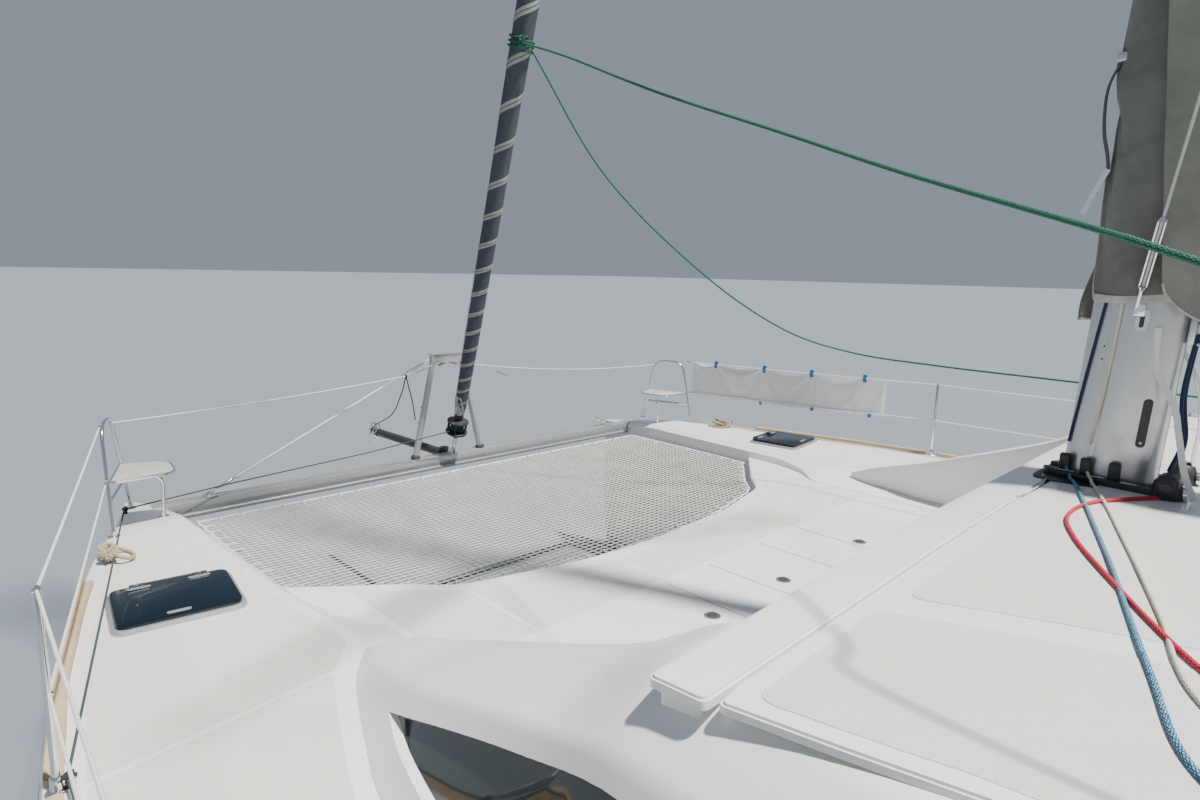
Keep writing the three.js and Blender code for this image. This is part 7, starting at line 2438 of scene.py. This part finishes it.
# %% Winches
winch = Shape()
winch.plate(oblong(-2.375, 1.255, -2.125, 1.905, 0.05), 2.602, 2.6749, 0, 0.012)
for y in (1.38, 1.78):
    base = Vector((-2.25, y, 2.674))
    winch.turned([(0, 0), (0.088, 0), (0.088, 0.012), (0.08, 0.022), (0.066, 0.03), (0.058, 0.055),
                  (0.0525, 0.075), (0.052, 0.1), (0.058, 0.115), (0.068, 0.121), (0.068, 0.127)], base,
                 (0, 0, 1), 1, 40)
    winch.turned([(0.068, 0.127), (0.05, 0.13), (0.05, 0.135), (0.068, 0.137), (0.066, 0.145), (0.05, 0.15),
                  (0.0, 0.15)], base, (0, 0, 1), 2, 40)
    winch.turned([(0.0, 0.149), (0.014, 0.149), (0.014, 0.1505), (0, 0.1505)], base, (0, 0, 1), 1, 8)
    for a in full_turn(24):
        way = Vector((cos(a), sin(a), 0))
        winch.tube([base + way * 0.0585 + Vector((0, 0, 0.05)), base + way * 0.053 + Vector((0, 0, 0.098))],
                   0.0022, 1, 4)
piece("winch_drums", winch, [gelcoat, steel, black], replaces=["winches"])

# %% [markdown]
# ## Hard top, davits and mainsheet
# The hard top stands on two posts and on the cabin's aft edge. The mainsheet runs from it to the
# boom.

# %% Hard top
shade = Shape()
plan = [(-2.48, -2.25), (-2.48, 1.02), (-3.98, 1.02), (-3.98, 2.3), (-5.25, 2.3), (-5.45, 2.05),
        (-5.45, -2.05), (-5.25, -2.3), (-2.6, -2.3)]
plan = rounded(plan, 0.12, 6)
levels = [(0.05, 2.7905), (0.018, 2.797), (0.0, 2.815), (0.0, 2.838), (0.012, 2.853), (0.035, 2.8595),
          (0.06, 2.86)]
shade.skin([[(x, y, z) for x, y in inset(plan, by)] for by, z in levels])
shade.box((-2.62, -1.15, 2.655), (-2.49, 1.0, 2.796), 0, 0.03)
for y in (-1.2, 0.7):
    shade.tube([(-2.75, y, 2.784), (-5.2, y, 2.784)], 0.012, 1, 8)
for side in (1, -1):
    foot, top_end = Vector((-4.59, side * 2.43, DECK)), Vector((-4.65, side * 2.23, 2.8))
    shade.tube([foot, top_end], 0.032, 1, 24)
    shade.turned([(0, 0), (0.062, 0), (0.062, 0.006), (0.046, 0.012), (0.034, 0.03)], foot, (0, 0, 1), 1, 28)
    shade.turned([(0.034, -0.02), (0.05, -0.008), (0.05, 0.0), (0, 0.0)], (-4.65, side * 2.23, 2.791),
                 (0, 0, 1), 1, 28)
    rail_y = -2.05 if side < 0 else 0.93
    shade.tube(eased([(-2.9, rail_y, 2.861), (-2.9, rail_y, 2.9), (-3.7, rail_y, 2.9),
                      (-3.7, rail_y, 2.861)], [0.03, 0.03]), 0.0105, 1, 10)
piece("hardtop_shell", shade, [gelcoat, alloy], replaces=["hardtop"])

# %% Davits
arms = Shape()
for y in (-1.2, 1.2):
    route = eased([(-5.12, y, 1.6005), (-5.12, y, 1.95), (-6.45, y, 2.09)], [0.22], 12)
    arms.tube(route, 0.038, 0, 20)
    arms.turned([(0, 0), (0.07, 0), (0.07, 0.006), (0.05, 0.012), (0.04, 0.03)], (-5.12, y, 1.6005),
                (0, 0, 1), 0, 28)
    arms.turned([(0.039, -0.02), (0.041, -0.01), (0.041, 0.0), (0.03, 0.006), (0, 0.007)],
                (-6.445, y, 2.0895), (-1, 0, 0.105), 1, 20)
    for x in (-6.4, -6.25):
        z = 2.09 + (x + 6.45) * -0.105
        arms.box((x - 0.012, y - 0.012, z - 0.075), (x + 0.012, y + 0.012, z - 0.03), 0, 0.004)
    arms.turned([(0, -0.012), (0.03, -0.012), (0.03, 0.012), (0, 0.012)], (-6.4, y, 1.985), (0, 1, 0), 1, 20)
    arms.box((-6.412, y - 0.016, 1.96), (-6.388, y + 0.016, 2.02), 1, 0.005)
    falls = [(-6.4, y + 0.004, 1.985), (-6.41, y + 0.05, 2.04), (-6.3, y + 0.047, 2.075),
             (-5.9, y + 0.046, 2.036), (-5.74, y + 0.045, 2.02)]
    arms.tube(flowing(falls, 6), 0.005, 2, 8)
    cleat(arms, -5.66, y, 2.045, 0.0, 1, 0.07)
arms.tube([(-5.7, -1.2, 2.01), (-5.7, 1.2, 2.01)], 0.024, 0, 18)
piece("davit_arms", arms, [steel, black, white_rope], replaces=["davits"])

# %% Mainsheet
boom_spots = [BOOM @ Vector((x, 0, -0.165)) for x in SHEET_BLOCKS_X]
deck_spots = [Vector((p.x + dx, 0, 2.905)) for p, dx in zip(boom_spots, (0.03, -0.03))]
gear = Shape()
for p in deck_spots:
    gear.turned([(0, -0.02), (0.034, -0.02), (0.034, 0.02), (0, 0.02)], p, (0, 1, 0), 1, 20)
    gear.box(p + Vector((-0.012, -0.026, -0.044)), p + Vector((0.012, 0.026, 0.03)), 0, 0.006)
gear.plate(oblong(deck_spots[1].x - 0.1, -0.05, deck_spots[0].x + 0.1, 0.05, 0.03), 2.8602, 2.866, 0, 0.002)
piece("mainsheet_blocks", gear, [steel, black])
falls = Shape()
for low_spot, high_spot in zip(deck_spots, boom_spots):
    for dx, dy in ((-0.03, -0.008), (0.03, 0.008)):
        a, b = low_spot + Vector((dx, dy, 0.004)), high_spot + Vector((dx, dy, -0.004))
        falls.tube([a.lerp(b, t) for t in spread(0, 1, 13)], 0.0052, 0, 8)
mainsheet = piece("mainsheet", falls, [white_rope])
mainsheet.parent = None
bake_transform(mainsheet)

# %% [markdown]
# ## Saloon
# The aft bulkhead closes the cabin, with a sliding glass door and a window in it. The settee, its
# table and the galley's counter show through the side windows.

# %% Bulkhead and door
wall_outline = [(-2.0995, FLOOR), (2.0995, FLOOR), (2.0995, 1.656), (2.351, 1.7508), (2.83, 1.7508),
                (2.66, 2.42), (2.5, 2.585), (1.2, 2.632), (-1.2, 2.632), (-2.5, 2.585), (-2.66, 2.42),
                (-2.83, 1.7508), (-2.351, 1.7508), (-2.0995, 1.656)]
wall = Shape().skin([[(x, y, z) for y, z in wall_outline] for x in (-2.703, -2.758)]).mesh("bulkhead")
holes = [Shape().box((-2.9, y0, z0), (-2.6, y1, z1)).mesh("hole") for y0, y1, z0, z1 in
         ((-1.2, -0.32, 0.7, 2.43), (0.06, 0.94, 1.25, 2.33))]
piece("bulkhead", carved(wall, holes), [gelcoat], replaces=["saloon_bulkhead"])
trim = Shape()
trim.box((-2.8055, -1.298, 2.4525), (-2.758, 0.758, 2.4895), 0, 0.006)
trim.box((-2.764, -1.22, 0.681), (-2.757, 0.6, 0.7), 0, 0.0)
for y0, y1, z0, z1 in ((0.035, 0.965, 1.225, 2.355), (-1.225, -0.295, 0.7, 2.455)):
    outer_line = oblong(y0, z0, y1, z1, 0.03)
    rings = [[(x, y, z) for y, z in inset(outer_line, by)]
             for by, x in ((0.0, -2.7575), (0.0, -2.7655), (0.022, -2.7655), (0.022, -2.7575))]
    trim.skin([*rings, rings[0]], 0, caps=False)
piece("bulkhead_trim", trim, [alloy])
aft_pane = Shape().box((-2.7398, 0.0605, 1.2505), (-2.7282, 0.9395, 2.3295), 0)
piece("aft_pane", aft_pane, [glazing], replaces=["aft_window"])
door = Shape()
door_line = oblong(-1.26, 0.69, -0.26, 2.445, 0.03)
rings = [[(x, y, z) for y, z in inset(door_line, by)]
         for by, x in ((0.0, -2.771), (0.003, -2.768), (0.055, -2.768), (0.055, -2.8), (0.003, -2.8),
                       (0.0, -2.797))]
door.skin([*rings, rings[0]], 0, caps=False)
door.skin([[(x, y, z) for y, z in inset(door_line, 0.052)] for x in (-2.79, -2.778)], 1)
for y in (-1.11, -0.41):
    door.box((-2.792, y - 0.03, 2.44), (-2.776, y + 0.03, 2.4512), 0, 0.004)
HANDLE_X = -2.7995
door.tube(eased([(HANDLE_X, -1.22, 1.45), (HANDLE_X - 0.005, -1.22, 1.45), (HANDLE_X - 0.005, -1.22, 1.6),
                 (HANDLE_X, -1.22, 1.6)], [0.002, 0.002]), 0.006, 2, 8)
piece("door_leaf", door, [alloy, glazing, steel], "door", ["saloon_door"])

# %% Furniture
oak = material("oak", (0.46, 0.32, 0.19), (0.37, 0.25, 0.14), 0.4, 0.15, 2.5, 0.8,
               bump=grain(60, 0.0004, (0.06, 1, 1)), Coat_Weight=0.2)
settee = Shape()
settee.plate([(-1.7, 1.42), (0.76, 1.42), (0.76, 0.15), (1.3995, 0.15), (1.3995, 2.0595), (-1.7, 2.0595)],
             FLOOR, 1.024, 0)
settee.box((-1.7, 2.034, 1.02), (1.3995, 2.0595, 1.54), 0)
settee.box((1.374, 0.15, 1.02), (1.3995, 2.0595, 1.54), 0)
settee.box((-1.69, 1.4165, 0.69), (0.755, 1.4215, 0.75), 1)
piece("settee_base", settee, [oak, black], replaces=["saloon_settee"])
low_table = Shape()
low_table.plate(oblong(-1.25, 0.42, 0.48, 1.25, 0.08, 6), 1.3605, 1.3998, 0, 0.008)
low_table.turned([(0, 0), (0.2, 0), (0.2, 0.008), (0.08, 0.022), (0.052, 0.04), (0.05, 0.08), (0.05, 0.66),
                  (0.09, 0.679), (0, 0.679)], (-0.385, 0.835, FLOOR), (0, 0, 1), 1, 32)
piece("saloon_table_top", low_table, [oak, alloy], replaces=["saloon_table"])
kitchen = Shape()
kitchen.box((-1.9, -2.0595, FLOOR), (1.3995, -1.5, 0.79), 2)
kitchen.box((-1.9, -2.0595, 0.785), (1.3995, -1.44, 1.552), 0)
kitchen.plate(rounded([(-1.93, -2.0595), (-1.93, -1.41), (1.3995, -1.41), (1.3995, -2.0595)], 0.02), 1.552,
              1.5995, 1, 0.006)
for k in range(5):
    x = -1.88 + k * 0.655
    kitchen.box((x + 0.01, -1.4405, 0.8), (x + 0.645, -1.434, 1.53), 0)
    kitchen.box((x + 0.26, -1.435, 1.49), (x + 0.39, -1.427, 1.502), 3)
kitchen.box((-1.0, -1.95, 1.5985), (-0.45, -1.55, 1.6), 3, 0.0)
piece("galley_front", kitchen, [gelcoat, oak, black, steel], replaces=["galley"])
print("cockpit and saloon done")
